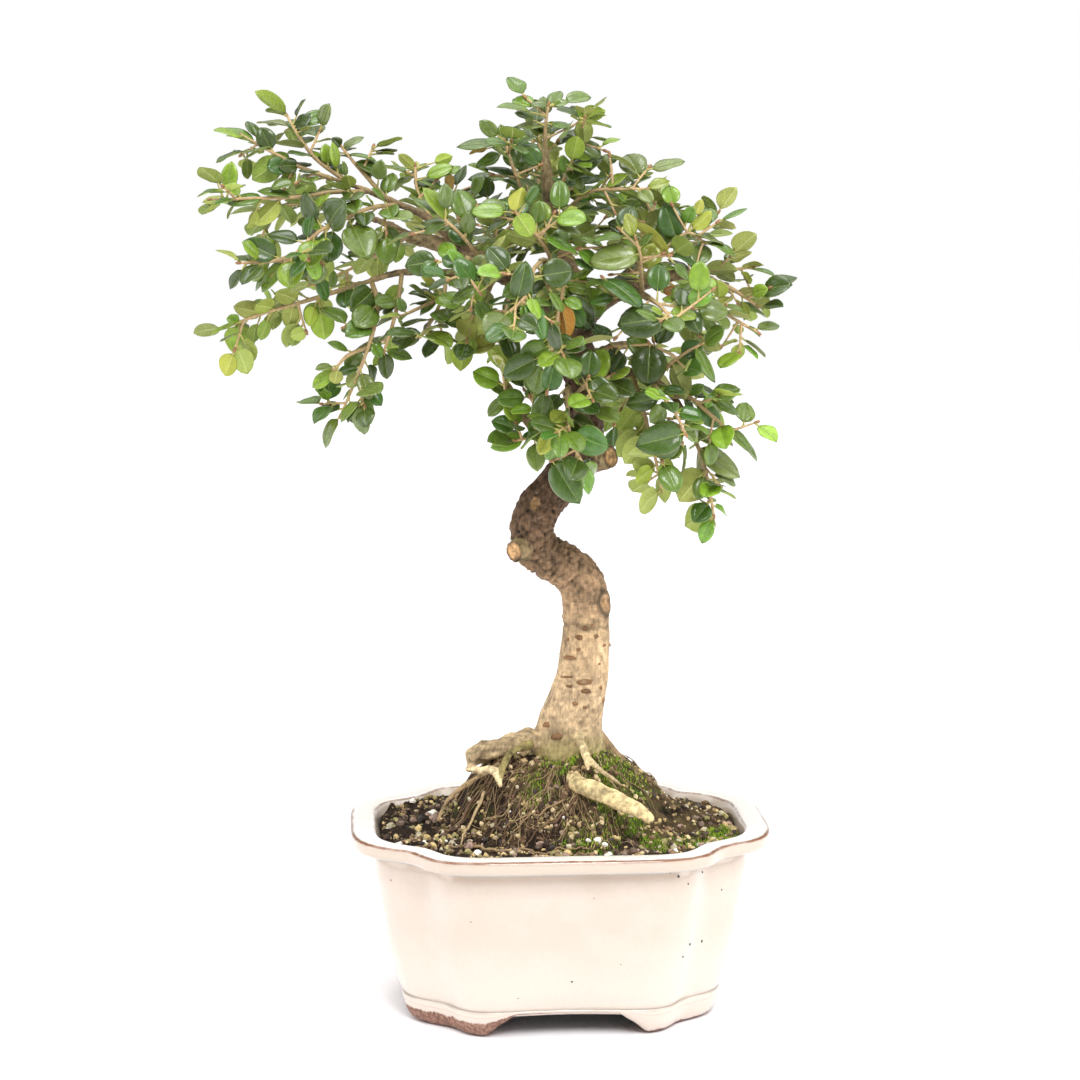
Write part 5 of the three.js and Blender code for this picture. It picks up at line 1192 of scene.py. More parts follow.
# How far leaves turn to the sky, by how they were placed.
SKYWARD = {"R": 0.35, "F": 0.5, "Y": 0.5}
SEEN_SKYWARD = 0.16
# The leaves low in the crown get a painted sheen that lightens their upper side: from and to which height,
# and by how much.
LOW_CROWN = [240, 205]
LOW_PAINTED_SHEEN = 0.35
LEAF_UPPER, LEAF_UNDER, TWIG = 0, 1, 2
# How thick twigs and shoots look, of their solids' radius: at the base and at the tip.
TWIG_SHARES = [0.78, 0.4]
SHOOT_SHARES = [0.62, 0.42]

# Tones of the upper and the under side of a leaf, by the shade that shows.
UPPER_TONES = {
    "mid": hue(72, 98, 40), "deep": hue(47, 68, 27), "gloss": hue(49, 83, 33), "grey": hue(88, 108, 64),
    "fresh": hue(102, 134, 46), "yellow": hue(122, 134, 60), "pale": hue(120, 138, 74),
    "bright": hue(84, 124, 46), "orange": hue(130, 90, 44), "brown": hue(120, 92, 54),
}
UNDER_TONES = {
    "mid": hue(108, 130, 64), "pale": hue(132, 150, 86), "fresh": hue(122, 148, 62),
    "yellow": hue(132, 146, 70), "grey": hue(120, 134, 88), "orange": hue(150, 108, 46),
    "brown": hue(150, 118, 72), "deep": hue(104, 124, 70), "gloss": hue(118, 140, 74),
    "bright": hue(116, 150, 64),
}
# The share of each shade among the leaves that a rule places.
RULED_SHADES = [
    ("mid", 0.34), ("deep", 0.22), ("gloss", 0.16), ("grey", 0.12), ("fresh", 0.12), ("yellow", 0.04),
]
YOUNG_SHADES = [("fresh", 0.4), ("bright", 0.25), ("mid", 0.2), ("yellow", 0.15)]
BACK_OF = {"bright": "bright", "fresh": "fresh", "yellow": "yellow", "orange": "yellow", "deep": "mid",
           "gloss": "mid", "mid": "pale", "grey": "grey", "pale": "pale", "brown": "brown"}
FRONT_OF = {"pale": "mid", "mid": "mid", "fresh": "fresh", "yellow": "fresh", "grey": "grey",
            "orange": "orange", "brown": "brown", "deep": "deep"}
LEAF_GAIN = np.array([1.36, 1.22, 0.8])
TWIG_BASE = hue(146, 126, 86)
TWIG_TIP = hue(190, 160, 118)
STALK_TONE = hue(168, 160, 92)
BUD_TONE = hue(150, 112, 78)


def chosen(choices, value):
    """One of some choices of equal share, by a number from 0 to 1."""
    return choices[int(value * len(choices))]


def pick(shares, value):
    """One of some names, by their shares and a number from 0 to 1."""
    for name, share in shares:
        value -= share
        if value < 0:
            return name
    return shares[0][0]


def leaf_faces():
    """The faces of a leaf's two sides. Their shared rim is the upper side's first and last column."""
    columns = len(LEAF_COLUMNS)
    rows = LEAF_ROWS - 1
    upper = 2 + np.arange(rows * columns).reshape(rows, columns)
    inner = 2 + rows * columns + np.arange(rows * (columns - 2)).reshape(rows, columns - 2)
    under = np.hstack([upper[:, :1], inner, upper[:, -1:]])

    def side(grid, flip):
        a, b = grid[:-1, :-1].ravel(), grid[:-1, 1:].ravel()
        c, d = grid[1:, 1:].ravel(), grid[1:, :-1].ravel()
        quads = np.stack([a, b, c, d], -1)
        none = np.full(columns - 1, -1)
        low = np.stack([grid[0, 1:], grid[0, :-1], 0 * none, none], -1)
        high = np.stack([grid[-1, :-1], grid[-1, 1:], -none, none], -1)
        if flip:
            return np.vstack([quads[:, ::-1], low[:, [1, 0, 2, 3]], high[:, [1, 0, 2, 3]]])
        return np.vstack([quads, low, high])

    return side(upper, False), side(under, True)


def leaf_points(leaf, seed):
    """A leaf's points in the order that leaf_faces gives them, and their place on the blade."""
    across = LEAF_COLUMNS[None]
    v = (np.arange(1, LEAF_ROWS) / LEAF_ROWS)[:, None] ** 0.92
    length, width = leaf["length"], leaf["width"]
    swell = 0.56 + 0.16 * draw(seed, 1)
    half = (4 * v * (1 - v)) ** swell * (1.08 - 0.22 * v) * (1 - 0.1 * smooth(0.8, 1, v))
    half = half / half.max() * width / 2
    fold = 0.14 + 0.34 * draw(seed, 2)
    droop = (0.06 + 0.18 * draw(seed, 3)) * length
    twist = 0.35 * (draw(seed, 4) - 0.5)
    ripple = 0.34 * draw(seed, 5)
    phase = 6.28 * draw(seed, 6)
    x = across * half
    rise = fold * np.abs(across) ** 1.4 * half - 0.2 * np.abs(across) ** 4 * half
    rise = rise + (0.02 + 0.05 * draw(seed, 7)) * half * np.sin(np.pi * np.abs(across) ** 0.8)
    rise = rise - droop * (v - 0.15) ** 2 + ripple * across**2 * np.sin(9 * v + phase + 1.6 * across)
    rise = rise + twist * across * half * v
    body = BLADE_THICKNESS / 2 * (1 - across**2) ** 0.5
    groove = 0.13 * peak(across, 0.06) * (1 - v)
    rib = 0.20 * peak(across, 0.1) * (1 - 0.9 * v)
    y = leaf["stalk"] + v * length + 0 * across
    upper = np.stack([x, y, rise + body - groove], -1).reshape(-1, 3)
    under = np.stack([x, y, rise - body - rib], -1)[:, 1:-1].reshape(-1, 3)
    ends = np.array([[0, leaf["stalk"], 0], [0, leaf["stalk"] + length, -droop * 0.72]])
    local = np.vstack([ends, upper, under])
    side = np.cross(leaf["along"], leaf["normal"])
    points = leaf["start"] + local @ np.array([side, leaf["along"], leaf["normal"]])
    plan_upper = np.stack([across + 0 * v, v + 0 * across], -1)
    plan = np.vstack([[[0, 0], [0, 1]], plan_upper.reshape(-1, 2), plan_upper[:, 1:-1].reshape(-1, 2)])
    return points, plan * [0.5, 1] + [0.5, 0]


def leaf_tones(look, seed):
    """The tones of a leaf's two sides: the given shade on the side that shows."""
    if look in ("R", "F"):
        look = "U " + pick(RULED_SHADES, draw(seed, 11))
    elif look == "Y":
        look = "U " + pick(YOUNG_SHADES, draw(seed, 11))
    side, shade = look.split()
    upper = UPPER_TONES[shade if side == "U" else FRONT_OF.get(shade, "mid")]
    under = UNDER_TONES[shade if side == "D" else BACK_OF[shade]]
    change = np.array([1 + 0.16 * (draw(seed, 12 + k) - 0.5) for k in range(3)])
    change *= LEAF_GAIN * (1 + 0.4 * (draw(seed, 15) - 0.5))
    return np.array(upper) * change, np.array(under) * change


def raised(leaf):
    """A leaf rolled a little so that its upper side looks to the sky: less where the front view shows it."""
    share = SKYWARD.get(leaf["look"], 0 if leaf["look"][0] == "D" else SEEN_SKYWARD)
    normal = leaf["normal"] * (1 - share) + np.array([0, 0, share])
    normal = unit(normal - leaf["along"] * float(leaf["along"] @ normal))
    return {**leaf, "normal": normal}


def add_leaf(heap, leaf, seed):
    """One leaf: its two-sided blade and its stalk."""
    points, plan = leaf_points(leaf, seed)
    upper_tone, under_tone = leaf_tones(leaf["look"], seed)
    # Painted sheen: the upper side of leaves low in the crown is lightened.
    upper_tone = upper_tone * (1 + LOW_PAINTED_SHEEN * smooth(*LOW_CROWN, leaf["start"][2]))
    upper, under = LEAF_FACES
    faces = np.vstack([upper, under])
    finish = np.concatenate([np.full(len(upper), LEAF_UPPER), np.full(len(under), LEAF_UNDER)])
    heap.add(points, faces, finish, upper_tone, plan)
    tones = np.where((finish == LEAF_UPPER)[:, None, None], upper_tone, under_tone)
    heap.tones[-1] = np.broadcast_to(tones, heap.tones[-1].shape)
    base = leaf["start"] + leaf["along"] * (leaf["stalk"] + 0.12 * leaf["length"])
    bend = np.cross(leaf["along"], leaf["normal"]) * 0.15
    line = [leaf["start"], (leaf["start"] + base) / 2 + bend, base - leaf["normal"] * 0.12]
    stalk_points, stalk_faces = tube(curve(line, 2), np.linspace(0.5, 0.2, 5), 5)
    heap.add(stalk_points, stalk_faces, TWIG, STALK_TONE)


def add_twig(heap, route, radii, sides, tones, seed):
    """A twig with swollen leaf joints: a slight bump on alternate sides every few millimetres."""
    line = curve(route, 4)
    walked = np.concatenate([[0], np.cumsum(np.linalg.norm(np.diff(line, axis=0), axis=1))])
    share = walked / walked[-1]
    radius = np.interp(share, [0, 1], radii)
    joints = 1 + 0.16 * np.cos(2 * np.pi * walked / LEAF_SPACING + 6 * draw(seed, 3)) ** 6
    points, faces = tube(line, radius * joints, sides)
    tone = blended(np.array(tones[0]), share, tones[1])
    tone = np.vstack([np.repeat(tone, sides, axis=0), tone[:1], tone[-1:]])
    heap.add(points, faces, TWIG, tone)
    way = unit(line[-1] - line[-2])
    shape, bud_faces = ball(5, 6)
    side = unit(np.cross(way, [0.3, 0.2, 0.9]))
    other = np.cross(way, side)
    bud = line[-1] + way * radii[1] + (shape * [0.62, 0.62, 1.3]) @ np.array([side, other, way])
    heap.add(bud, bud_faces, TWIG, BUD_TONE)


def make_sprays():
    """Each spray as one piece: its twigs, shoots, stalks, buds and blades."""
    finishes = [leaf_upper_finish(), leaf_under_finish(), twig_finish()]
    for spray in grow_sprays():
        heap = Heap()
        index = spray["index"]
        for r, route in enumerate(spray["routes"]):
            radii = [TWIG_RADIUS * TWIG_SHARES[0], TWIG_RADIUS * TWIG_SHARES[1]]
            add_twig(heap, route, radii, 7, [TWIG_BASE, TWIG_TIP], index * 7 + r)
        for s, (a, b) in enumerate(spray["shoots"]):
            bow = unit(np.cross(b - a, spray["face"])) * (0.6 * (draw(index, 50 + s) - 0.5))
            radii = [SHOOT_RADIUS * SHOOT_SHARES[0], SHOOT_RADIUS * SHOOT_SHARES[1]]
            add_twig(heap, [a, (a + b) / 2 + bow, b], radii, 6, [TWIG_TIP, TWIG_TIP], index + s)
        for k, leaf in enumerate(spray["leaves"]):
            add_leaf(heap, raised(leaf), index * 1000 + k)
        name = "spray_" + spray["name"]
        piece = heap.make("leaves_" + spray["name"], finishes)
        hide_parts(name)


# The wood: how finely it is remade, and where its marks are: x and z in the front view, width and height.
WOOD_VOXEL = 0.65
WOOD_EASE = 5
CHUNK = 4000
# How much the bark's grain and its blotches are drawn out along a stem.
DRAWN_GRAIN = 0.62
DRAWN_BLOTCHES = 0.8
LIMB_SLIMMING = 0.82
LENTICELS = [
    [3.9, 126.7, 5.5, 1.3], [2.8, 119.7, 6, 1.1], [9.5, 118.2, 5.2, 2.2], [3.9, 116.8, 3.2, 1.1],
    [9.9, 115.1, 3.6, 1.8], [6, 110.8, 2, 1.2], [9.5, 109.4, 1.8, 1.2], [-4.3, 102.3, 4, 2.4],
    [-0.4, 98.8, 4, 2.4], [16.2, 110.8, 2, 2.2], [15.2, 115.8, 1.4, 1.4], [13.4, 134.5, 2.2, 1.5],
    [7.4, 134.2, 3, 1.8], [7.1, 129.9, 1.6, 1.4], [16.3, 131, 2, 1], [3.5, 133.1, 1.4, 1.2],
    [12, 138.4, 1.4, 1], [9.5, 137.4, 2.4, 1.2], [-1.4, 109.4, 1.2, 0.9], [14.5, 124.6, 1.2, 1],
]
HIDDEN_LENTICELS = 46
LENTICEL_SPAN = [99, 151]
LENTICEL_WIDTH = [1.2, 4.4]
LENTICEL_HEIGHT = [0.9, 1.7]
# How far round the back the hidden ones reach, in half turns.
LENTICEL_BACK = [0.06, 0.94]
CONSTRICTION = 137.7
KNOT = {"at": [16.6, -4.2, 145.8], "size": 3.0}
SCAR = {"at": [-8.2, -8.0, 182], "size": 2.0}
CREASE = {"from": [-3.5, -8, 157.5], "to": [10, -8, 150.5], "width": 1.0}
CUT_FACES = ["stub_left", "stub_right", "pruned_left"]
CUT_TONE = hue(190, 150, 104)
CUT_RIM_TONE = hue(84, 62, 46)
# Bark tones up the trunk: height and tone.
TRUNK_TONES = [
    [90, hue(166, 146, 104)], [98, hue(176, 152, 118)], [112, hue(190, 163, 128)], [128, hue(184, 156, 120)],
    [137, hue(172, 145, 110)], [143, hue(168, 139, 106)], [152, hue(150, 122, 92)], [162, hue(118, 94, 70)],
    [178, hue(102, 78, 58)], [195, hue(84, 62, 48)], [250, hue(84, 66, 50)],
]
LIMB_TONES = [hue(104, 84, 62), hue(148, 130, 94)]
ROOT_TONES = {
    "root_thick": hue(206, 184, 136), "root_fork": hue(204, 182, 138), "root_fork_b": hue(206, 184, 140),
    "root_log": hue(172, 150, 116), "root_olive": hue(134, 122, 76), "root_white": hue(214, 192, 150),
}
PLAIN_ROOT_TONE = hue(150, 126, 92)
LENTICEL_TONE = hue(132, 98, 68)
DAMP_TONE = hue(128, 128, 62)


def wood_lines():
    """Every stem and root as a sampled line: name, points, radii and directions."""
    lines = []
    for name, route in [*STEMS.items(), *ROOTS.items()]:
        line = curve(route, 6)
        along, _, _ = frames(line[:, :3])
        slim = LIMB_SLIMMING if name.startswith("limb") else 1
        lines.append({"name": name, "points": line[:, :3], "radii": line[:, 3] * slim, "along": along})
    return lines


def read(items, field, width, kind):
    """One field of all of a mesh's points, corners or faces, in one flat row."""
    values = np.zeros(len(items) * width, kind)
    items.foreach_get(field, values)
    return values


def fused(heap, voxel, passes):
    """A heap's shapes remade as one smooth skin: its points and its four-cornered faces."""
    mesh = plain_mesh("rough", np.concatenate(heap.points), np.concatenate(heap.faces))
    rough = placed("rough", mesh)
    remesh = rough.modifiers.new("remesh", "REMESH")
    remesh.mode, remesh.voxel_size = "VOXEL", voxel
    ease = rough.modifiers.new("ease", "SMOOTH")
    ease.factor, ease.iterations = 0.5, passes
    whole = worked(rough)
    points = read(whole.vertices, "co", 3, np.float32)
    normals = read(whole.vertices, "normal", 3, np.float32)
    corners = read(whole.loops, "vertex_index", 1, np.int32)
    sizes = read(whole.polygons, "loop_total", 1, np.int32)
    starts = np.concatenate([[0], np.cumsum(sizes)[:-1]])
    faces = np.full((len(sizes), 4), -1)
    for k in range(4):
        has = sizes > k
        faces[has, k] = corners[starts[has] + k]
    bpy.data.objects.remove(rough)
    bpy.data.meshes.remove(mesh)
    bpy.data.meshes.remove(whole)
    return points.reshape(-1, 3).astype(float), normals.reshape(-1, 3).astype(float), faces


def nearest_wood(points, lines):
    """For each point, the line and the sample on it whose surface is nearest."""
    centres = np.concatenate([line["points"] for line in lines])
    radii = np.concatenate([line["radii"] for line in lines])
    owner = np.concatenate([np.full(len(line["points"]), k) for k, line in enumerate(lines)])
    ways = np.concatenate([line["along"] for line in lines])
    shares = np.concatenate([np.linspace(0, 1, len(line["points"])) for line in lines])
    best = np.zeros(len(points), int)
    for start in range(0, len(points), CHUNK):
        chunk = points[start:start + CHUNK]
        away = np.linalg.norm(chunk[:, None] - centres[None], axis=2) - radii[None]
        best[start:start + CHUNK] = away.argmin(axis=1)
    return owner[best], shares[best], ways[best], radii[best], centres[best]


def wood_relief(points, normals, lines):
    """How far the bark stands out at each point, and its tone there."""
    names = [line["name"] for line in lines]
    owner, share, way, radius, centre = nearest_wood(points, lines)
    z = points[:, 2]
    trunk = owner == 0
    root = owner >= len(STEMS)
    limb = ~trunk & ~root
    rough = smooth(132, 168, z) * trunk + limb * 0.8
    drawn = points - way * DRAWN_GRAIN * np.sum(points * way, axis=1)[:, None]
    lumps = grain(points, 7, 3)
    fine = grain(drawn, 1.7, 11, 2)
    ridges = 1 - np.abs(grain(drawn, 3.2, 23, 2))
    cracks = smooth(0.75, 0.97, ridges)
    flakes = grain(drawn, 2.2, 37, 2)
    thick = np.minimum(1, radius / 6)
    rise = (0.30 + 0.45 * rough) * lumps * thick
    rise += fine * (0.08 + 0.22 * rough) + (0.4 * flakes - 0.75 * cracks) * rough * thick
    rise += root * (0.30 * lumps + 0.22 * grain(points, 2.2, 31))
    log = owner == names.index("root_log")
    rise += log * (0.9 * grain(points, 3.4, 43, 2) - 0.6)
    tone = np.tile(np.array(PLAIN_ROOT_TONE), (len(points), 1))
    heights = [row[0] for row in TRUNK_TONES]
    for c in range(3):
        tone[trunk, c] = np.interp(z[trunk], heights, [row[1][c] for row in TRUNK_TONES])
    tone[limb] = blended(np.array(LIMB_TONES[0]), share[limb] ** 1.5, LIMB_TONES[1])
    for k, name in enumerate(names):
        if name in ROOT_TONES:
            tone[owner == k] = ROOT_TONES[name]
    # The constriction round the trunk: a groove, darkened with painted shade.
    turn = np.arctan2(points[:, 1] - centre[:, 1], points[:, 0] - centre[:, 0])
    line = peak(z - CONSTRICTION - 0.7 * np.sin(2 * turn) - 0.4 * np.sin(5 * turn), 0.75) * trunk
    rise -= 0.55 * line
    tone *= 1 - 0.45 * line[:, None]
    # The knot with its ring of callus.
    away = np.linalg.norm((points - KNOT["at"]) / [1, 1, 1.5], axis=1) / KNOT["size"]
    ring, core = peak(away - 0.95, 0.32), peak(away, 0.5)
    rise += 0.8 * ring - 0.5 * core
    tone = blended(tone * (1 - 0.7 * ring[:, None]), core, np.array(CUT_TONE) * 0.8)
    # The crease under the bend: a groove, darkened with painted shade.
    start, end = np.array(CREASE["from"]), np.array(CREASE["to"])
    reach = np.clip((points - start) @ (end - start) / ((end - start) @ (end - start)), 0, 1)
    away = np.linalg.norm((points - start - reach[:, None] * (end - start)) * [1, 0.35, 1], axis=1)
    crease = peak(away + 0.5 * fine, CREASE["width"]) * trunk
    rise -= 0.9 * crease
    tone *= 1 - 0.55 * crease[:, None]
    # The old scar.
    away = np.linalg.norm((points - SCAR["at"]) / [1, 1, 1.35], axis=1) / SCAR["size"]
    core = smooth(1.05, 0.75, away)
    rise += 0.3 * peak(away - 1.05, 0.2) - 0.25 * core
    tone = blended(tone, 0.85 * core, CUT_TONE)
    # The cut faces, with their growth rings.
    for name in CUT_FACES:
        line = lines[names.index(name)]
        end, out, size = line["points"][-1], line["along"][-1], line["radii"][-1]
        past = (points - end) @ out
        side = np.linalg.norm(points - end - past[:, None] * out, axis=1)
        face = smooth(-0.5, 0.1, past) * (side < size * 1.3) * (past < size)
        rise = np.where(face > 0.5, -np.maximum(past, 0) * np.sum(normals * out, axis=1), rise)
        pale = face * smooth(size * 0.9, size * 0.68, side + 0.3 * lumps)
        tone = blended(tone, face, CUT_RIM_TONE)
        rings = 1 + 0.14 * np.sin(side * 6) + 0.2 * fine
        tone = blended(tone, pale, np.array(CUT_TONE) * rings[:, None])
    blotches = grain(points - DRAWN_BLOTCHES * (points - drawn) / DRAWN_GRAIN, 1.5, 53, 2)
    change = 1 + 0.3 * fine + 0.22 * lumps + 0.34 * blotches + rough * (0.26 * flakes - 0.5 * cracks)
    tone *= change[:, None]
    thick_root = log | (owner == names.index("root_thick"))
    tone *= 1 + 0.35 * thick_root[:, None] * grain(points, 1.6, 47, 2)[:, None]
    damp = smooth(103, 92, z + 2 * lumps) * trunk
    tone = blended(tone, 0.45 * damp, DAMP_TONE)
    return rise, np.clip(tone, DARKEST, 1)


def add_lenticels(heap, lines):
    """Corky raised dashes across the lower trunk: the ones that show, and others round the back."""
    trunk = lines[0]
    shape, faces = ball(6, 10)
    marks = [[*mark, 0] for mark in LENTICELS]
    for k in range(HIDDEN_LENTICELS):
        turn = math.pi * between(LENTICEL_BACK, draw(k, 901))
        size = [between(LENTICEL_WIDTH, draw(k, 902)), between(LENTICEL_HEIGHT, draw(k, 903))]
        marks.append([turn, between(LENTICEL_SPAN, draw(k, 900)), *size, 1])
    for number, (x, z, width, height, hidden) in enumerate(marks):
        row = np.abs(trunk["points"][:, 2] - z).argmin()
        centre, radius = trunk["points"][row], trunk["radii"][row]
        if hidden:
            out = np.array([math.cos(x), math.sin(x), 0])
        else:
            side = np.clip((x - centre[0]) / radius, -0.97, 0.97)
            out = np.array([side, -math.sqrt(1 - side**2), 0])
        across = np.array([-out[1], out[0], 0])
        place = np.array([centre[0], centre[1], z]) + out * (radius - 0.15)
        lumpy = shape * (1 + 0.4 * grain(shape * 3 + number * 7, 1.3, 41)[:, None])
        local = lumpy * [width / 2, 0.75, height / 2]
        local[:, 2] += 0.12 * local[:, 0] * math.sin(number)
        points = place + local @ np.array([across, out, [0, 0, 1]])
        change = 0.8 + 0.5 * draw(number, 910)
        heap.add(points, faces, 0, np.array(LENTICEL_TONE) * change)


def make_wood():
    """The tree's woody body in one skin, with its bark relief and its corky marks."""
    lines = wood_lines()
    rough = Heap()
    for line in lines:
        sides = 32 if line["name"] == "trunk" else 14
        rough.add(*tube(line["points"], line["radii"], sides))
    points, normals, faces = fused(rough, WOOD_VOXEL, WOOD_EASE)
    rise, tone = wood_relief(points, normals, lines)
    heap = Heap()
    heap.add(points + normals * rise[:, None], faces, 0, tone)
    add_lenticels(heap, lines)
    piece = heap.make("wood", [bark_finish()])
    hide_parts("trunk")


def lobe(shape, angle):
    """How far a rounded box reaches from its middle at an angle."""
    c = np.abs(np.cos(angle) / shape["x"]) ** shape["power"]
    s = np.abs(np.sin(angle) / shape["y"]) ** shape["power"]
    return (c + s) ** (-1 / shape["power"])


def outline(angle, inset):
    """The pot's plan drawn in by an inset: an even wall as far as WALL_ZONE, and in proportion within it."""
    ends, sides = lobe(END_LOBES, angle - PLAN_TURN), lobe(SIDE_LOBES, angle - PLAN_TURN)
    softness = NOTCH_SOFTNESS + NOTCH_FADE * np.minimum(inset, WALL_ZONE)
    reach = (ends + sides + np.sqrt((ends - sides) ** 2 + softness**2)) / 2 - softness / 8
    inner = (reach - WALL_ZONE) * (PLAN_REACH - inset) / (PLAN_REACH - WALL_ZONE)
    return np.where(inset <= WALL_ZONE, reach - inset, inner)


def sweep(profile):
    """A profile of [inset, height] rows swept round the pot's plan, both ends on the axis."""
    profile = np.asarray(profile, float)
    angles = 2 * np.pi * np.arange(PLAN_STEPS) / PLAN_STEPS
    inner = profile[1:-1]
    reach = outline(angles[None], inner[:, :1])
    points = np.stack([reach * np.cos(angles), reach * np.sin(angles), inner[:, 1:] + 0 * reach], -1)
    points = np.vstack([points.reshape(-1, 3), [[0, 0, profile[0, 1]], [0, 0, profile[-1, 1]]]])
    plan = np.vstack([np.repeat(inner, PLAN_STEPS, axis=0), profile[:1], profile[-1:]]) / PLAN_REACH
    return points, skin(len(inner), PLAN_STEPS), plan


def softened(profile, reach):
    """A profile with each corner rounded by a short curve."""
    p = np.asarray(profile, float)
    made = [p[0]]
    for before, corner, after in zip(p, p[1:], p[2:]):
        a, b = before - corner, after - corner
        a = corner + a * min(0.45, reach / (np.linalg.norm(a) + 1e-9))
        b = corner + b * min(0.45, reach / (np.linalg.norm(b) + 1e-9))
        for t in np.linspace(0, 1, CORNER_STEPS + 1):
            made.append(a * (1 - t) ** 2 + corner * 2 * t * (1 - t) + b * t**2)
    made.append(p[-1])
    return np.array(made)


# Iron specks in the glaze: x, z and size.
SPECKS = [
    [45.5, 32, 0.5], [43, 28.3, 0.4], [50, 31, 0.55], [4.6, 20.8, 0.4], [21.4, 27.3, 0.25],
    [41, 58.6, 0.5], [46.4, 60.4, 0.45], [49.7, 57.4, 0.4], [53, 59.5, 0.4], [44.4, 55.5, 0.35],
    [57, 49, 0.35], [38, 60, 0.3], [-30, 44, 0.25], [12, 52, 0.2], [-14, 15, 0.25],
]
SPECK_TONE = hue(92, 74, 62)

# The feet: how far each opening reaches each side of the middle, and the foot's rounded outer profile.
OPENING_FRONT = 23
OPENING_SIDE = 13
FOOT_TOP = 9.4
FOOT_PROFILE = [
    [31, FOOT_TOP], [30, 0.4], [29, 0], [23.5, 0], [21.4, 0.8], [19.8, 3.2], [18.7, 7.2], [18.5, FOOT_TOP],
]


def arch_height(away, half_width):
    """The height of the opening between two feet, by the distance from its middle: a low ogee."""
    t = (half_width + 6 - away) / 12
    rise = 0.6 * smooth(0, 0.62, t) + 0.4 * smooth(0.5, 1, t)
    return (FOOT_HEIGHT + 0.6) * rise


def make_pot():
    """The glazed pot with its drain holes and feet, and the specks in its glaze."""
    lip = POT_HEIGHT - RIM_THICKNESS
    outside = [[inset, z] for z, inset in BODY[::-1]]
    rim = [
        [8.4, lip - 0.4], [1.2, lip], [0, lip + 0.8], [0, POT_HEIGHT - 0.9], [0.9, POT_HEIGHT],
        [RIM_WIDTH - 0.6, POT_HEIGHT], [RIM_WIDTH + 0.8, POT_HEIGHT - 1.8],
    ]
    inside = [[inset, z] for z, inset in HOLLOW]
    base = [[PLAN_REACH, FOOT_HEIGHT], [60, FOOT_HEIGHT]]
    shell = [*base, *outside, *rim, *inside, [60, FLOOR_TOP], [PLAN_REACH, FLOOR_TOP]]
    heap = Heap()
    points, faces, plan = sweep(softened(shell, 1.6))
    heap.add(points, faces, 0, plan=plan)
    glaze = glaze_finish()
    piece = heap.make("pot_glazed", [glaze])
    for side in (-1, 1):
        drill(piece, side * DRAIN_SPACING / 2)
    feet = Heap()
    points, faces, plan = foot_ring(softened(FOOT_PROFILE, 1.4))
    feet.add(points, faces, plan=plan)
    specks = Heap()
    shape, faces = ball(4, 8)
    for x, z, size in SPECKS:
        inset = np.interp(z, [row[0] for row in BODY[::-1]], [row[1] for row in BODY[::-1]])
        angles = np.linspace(-np.pi, 0, 1441)
        reach = outline(angles, np.full(len(angles), inset))
        spot = np.abs(reach * np.cos(angles) - x).argmin()
        place = [x, reach[spot] * np.sin(angles[spot]), z]
        specks.add(place + shape * size * [1, 0.4, 1.1], faces, 0, SPECK_TONE)
    specks.make("glaze_specks", [net_finish()])
    for made in (piece, feet.make("pot_feet", [glaze])):
        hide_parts("pot")


def foot_ring(section):
    """The foot ring: a closed section swept round the plan, raised where the openings are."""
    angles = 2 * np.pi * np.arange(PLAN_STEPS) / PLAN_STEPS
    reach = outline(angles[None], section[:, :1])
    x, y = reach * np.cos(angles), reach * np.sin(angles)
    across, back = reach * np.cos(angles - PLAN_TURN), reach * np.sin(angles - PLAN_TURN)
    front = np.abs(back) / 44 > np.abs(across) / 56
    front_arch = arch_height(np.abs(across), OPENING_FRONT)
    lift = np.where(front, front_arch, arch_height(np.abs(back), OPENING_SIDE))
    z = section[:, 1:] + 0 * reach
    z = FOOT_TOP - (FOOT_TOP - z) * (FOOT_TOP - np.minimum(lift, FOOT_TOP - 1.2)) / FOOT_TOP
    points = np.stack([x, y, z], -1).reshape(-1, 3)
    here = np.arange(len(section))[:, None] * PLAN_STEPS
    after = np.roll(here, -1)
    a = np.arange(PLAN_STEPS)[None]
    b = (a + 1) % PLAN_STEPS
    faces = np.stack([here + b, here + a, after + a, after + b], -1)
    plan = np.repeat(section, PLAN_STEPS, axis=0) / PLAN_REACH
    return points, faces.reshape(-1, 4)[:, ::-1], plan


def drill(piece, x):
    """Cuts a drain hole through the pot's floor."""
    points, faces = tube([[x, 0, -5], [x, 0, 30]], DRAIN_RADIUS, DRAIN_SIDES)
    bit = placed("drill", plain_mesh("drill", to_frame(points), faces))
    cut = piece.modifiers.new("drain", "BOOLEAN")
    cut.operation, cut.solver, cut.object = "DIFFERENCE", "EXACT", bit
    whole = worked(piece)
    piece.modifiers.clear()
    piece.data = whole
    bpy.data.objects.remove(bit)


# The soil's surface details: how many stones, crumbs, moss blades and fine roots.
STONES = 800
CRUMBS = 4600
MOSS_BLADES = 6000
HAIRS = 420
SOIL_EDGE = 11.4
SOIL_INNER = 78
SOIL_STEPS = 86
SOIL_FLOOR = FLOOR_TOP + 1.6
SOIL_TONE = hue(45, 33, 26)
DRY_TONE = hue(112, 94, 62)
GREEN_TONE = hue(88, 104, 40)
STONE_TONES = [
    hue(136, 116, 100), hue(70, 62, 58), hue(156, 148, 96), hue(212, 186, 130), hue(170, 142, 128),
    hue(96, 80, 66), hue(196, 184, 156),
]
PERLITE_TONE = hue(236, 232, 222)
PERLITE_SHARE = 0.05
# Stones are smaller from this height of the mound on.
SLOPE_START = 6
SLOPE_STONES = 0.62
CRUMB_TONES = [
    hue(116, 92, 68), hue(168, 144, 104), hue(126, 110, 74), hue(196, 176, 138), hue(76, 58, 44),
    hue(138, 124, 84), hue(52, 40, 32), hue(100, 76, 56),
]
MOSS_TONES = [hue(112, 156, 28), hue(146, 172, 44), hue(84, 120, 30), hue(172, 180, 74)]
HAIR_TONES = [hue(146, 120, 86), hue(104, 78, 56), hue(178, 154, 114), hue(82, 60, 44)]
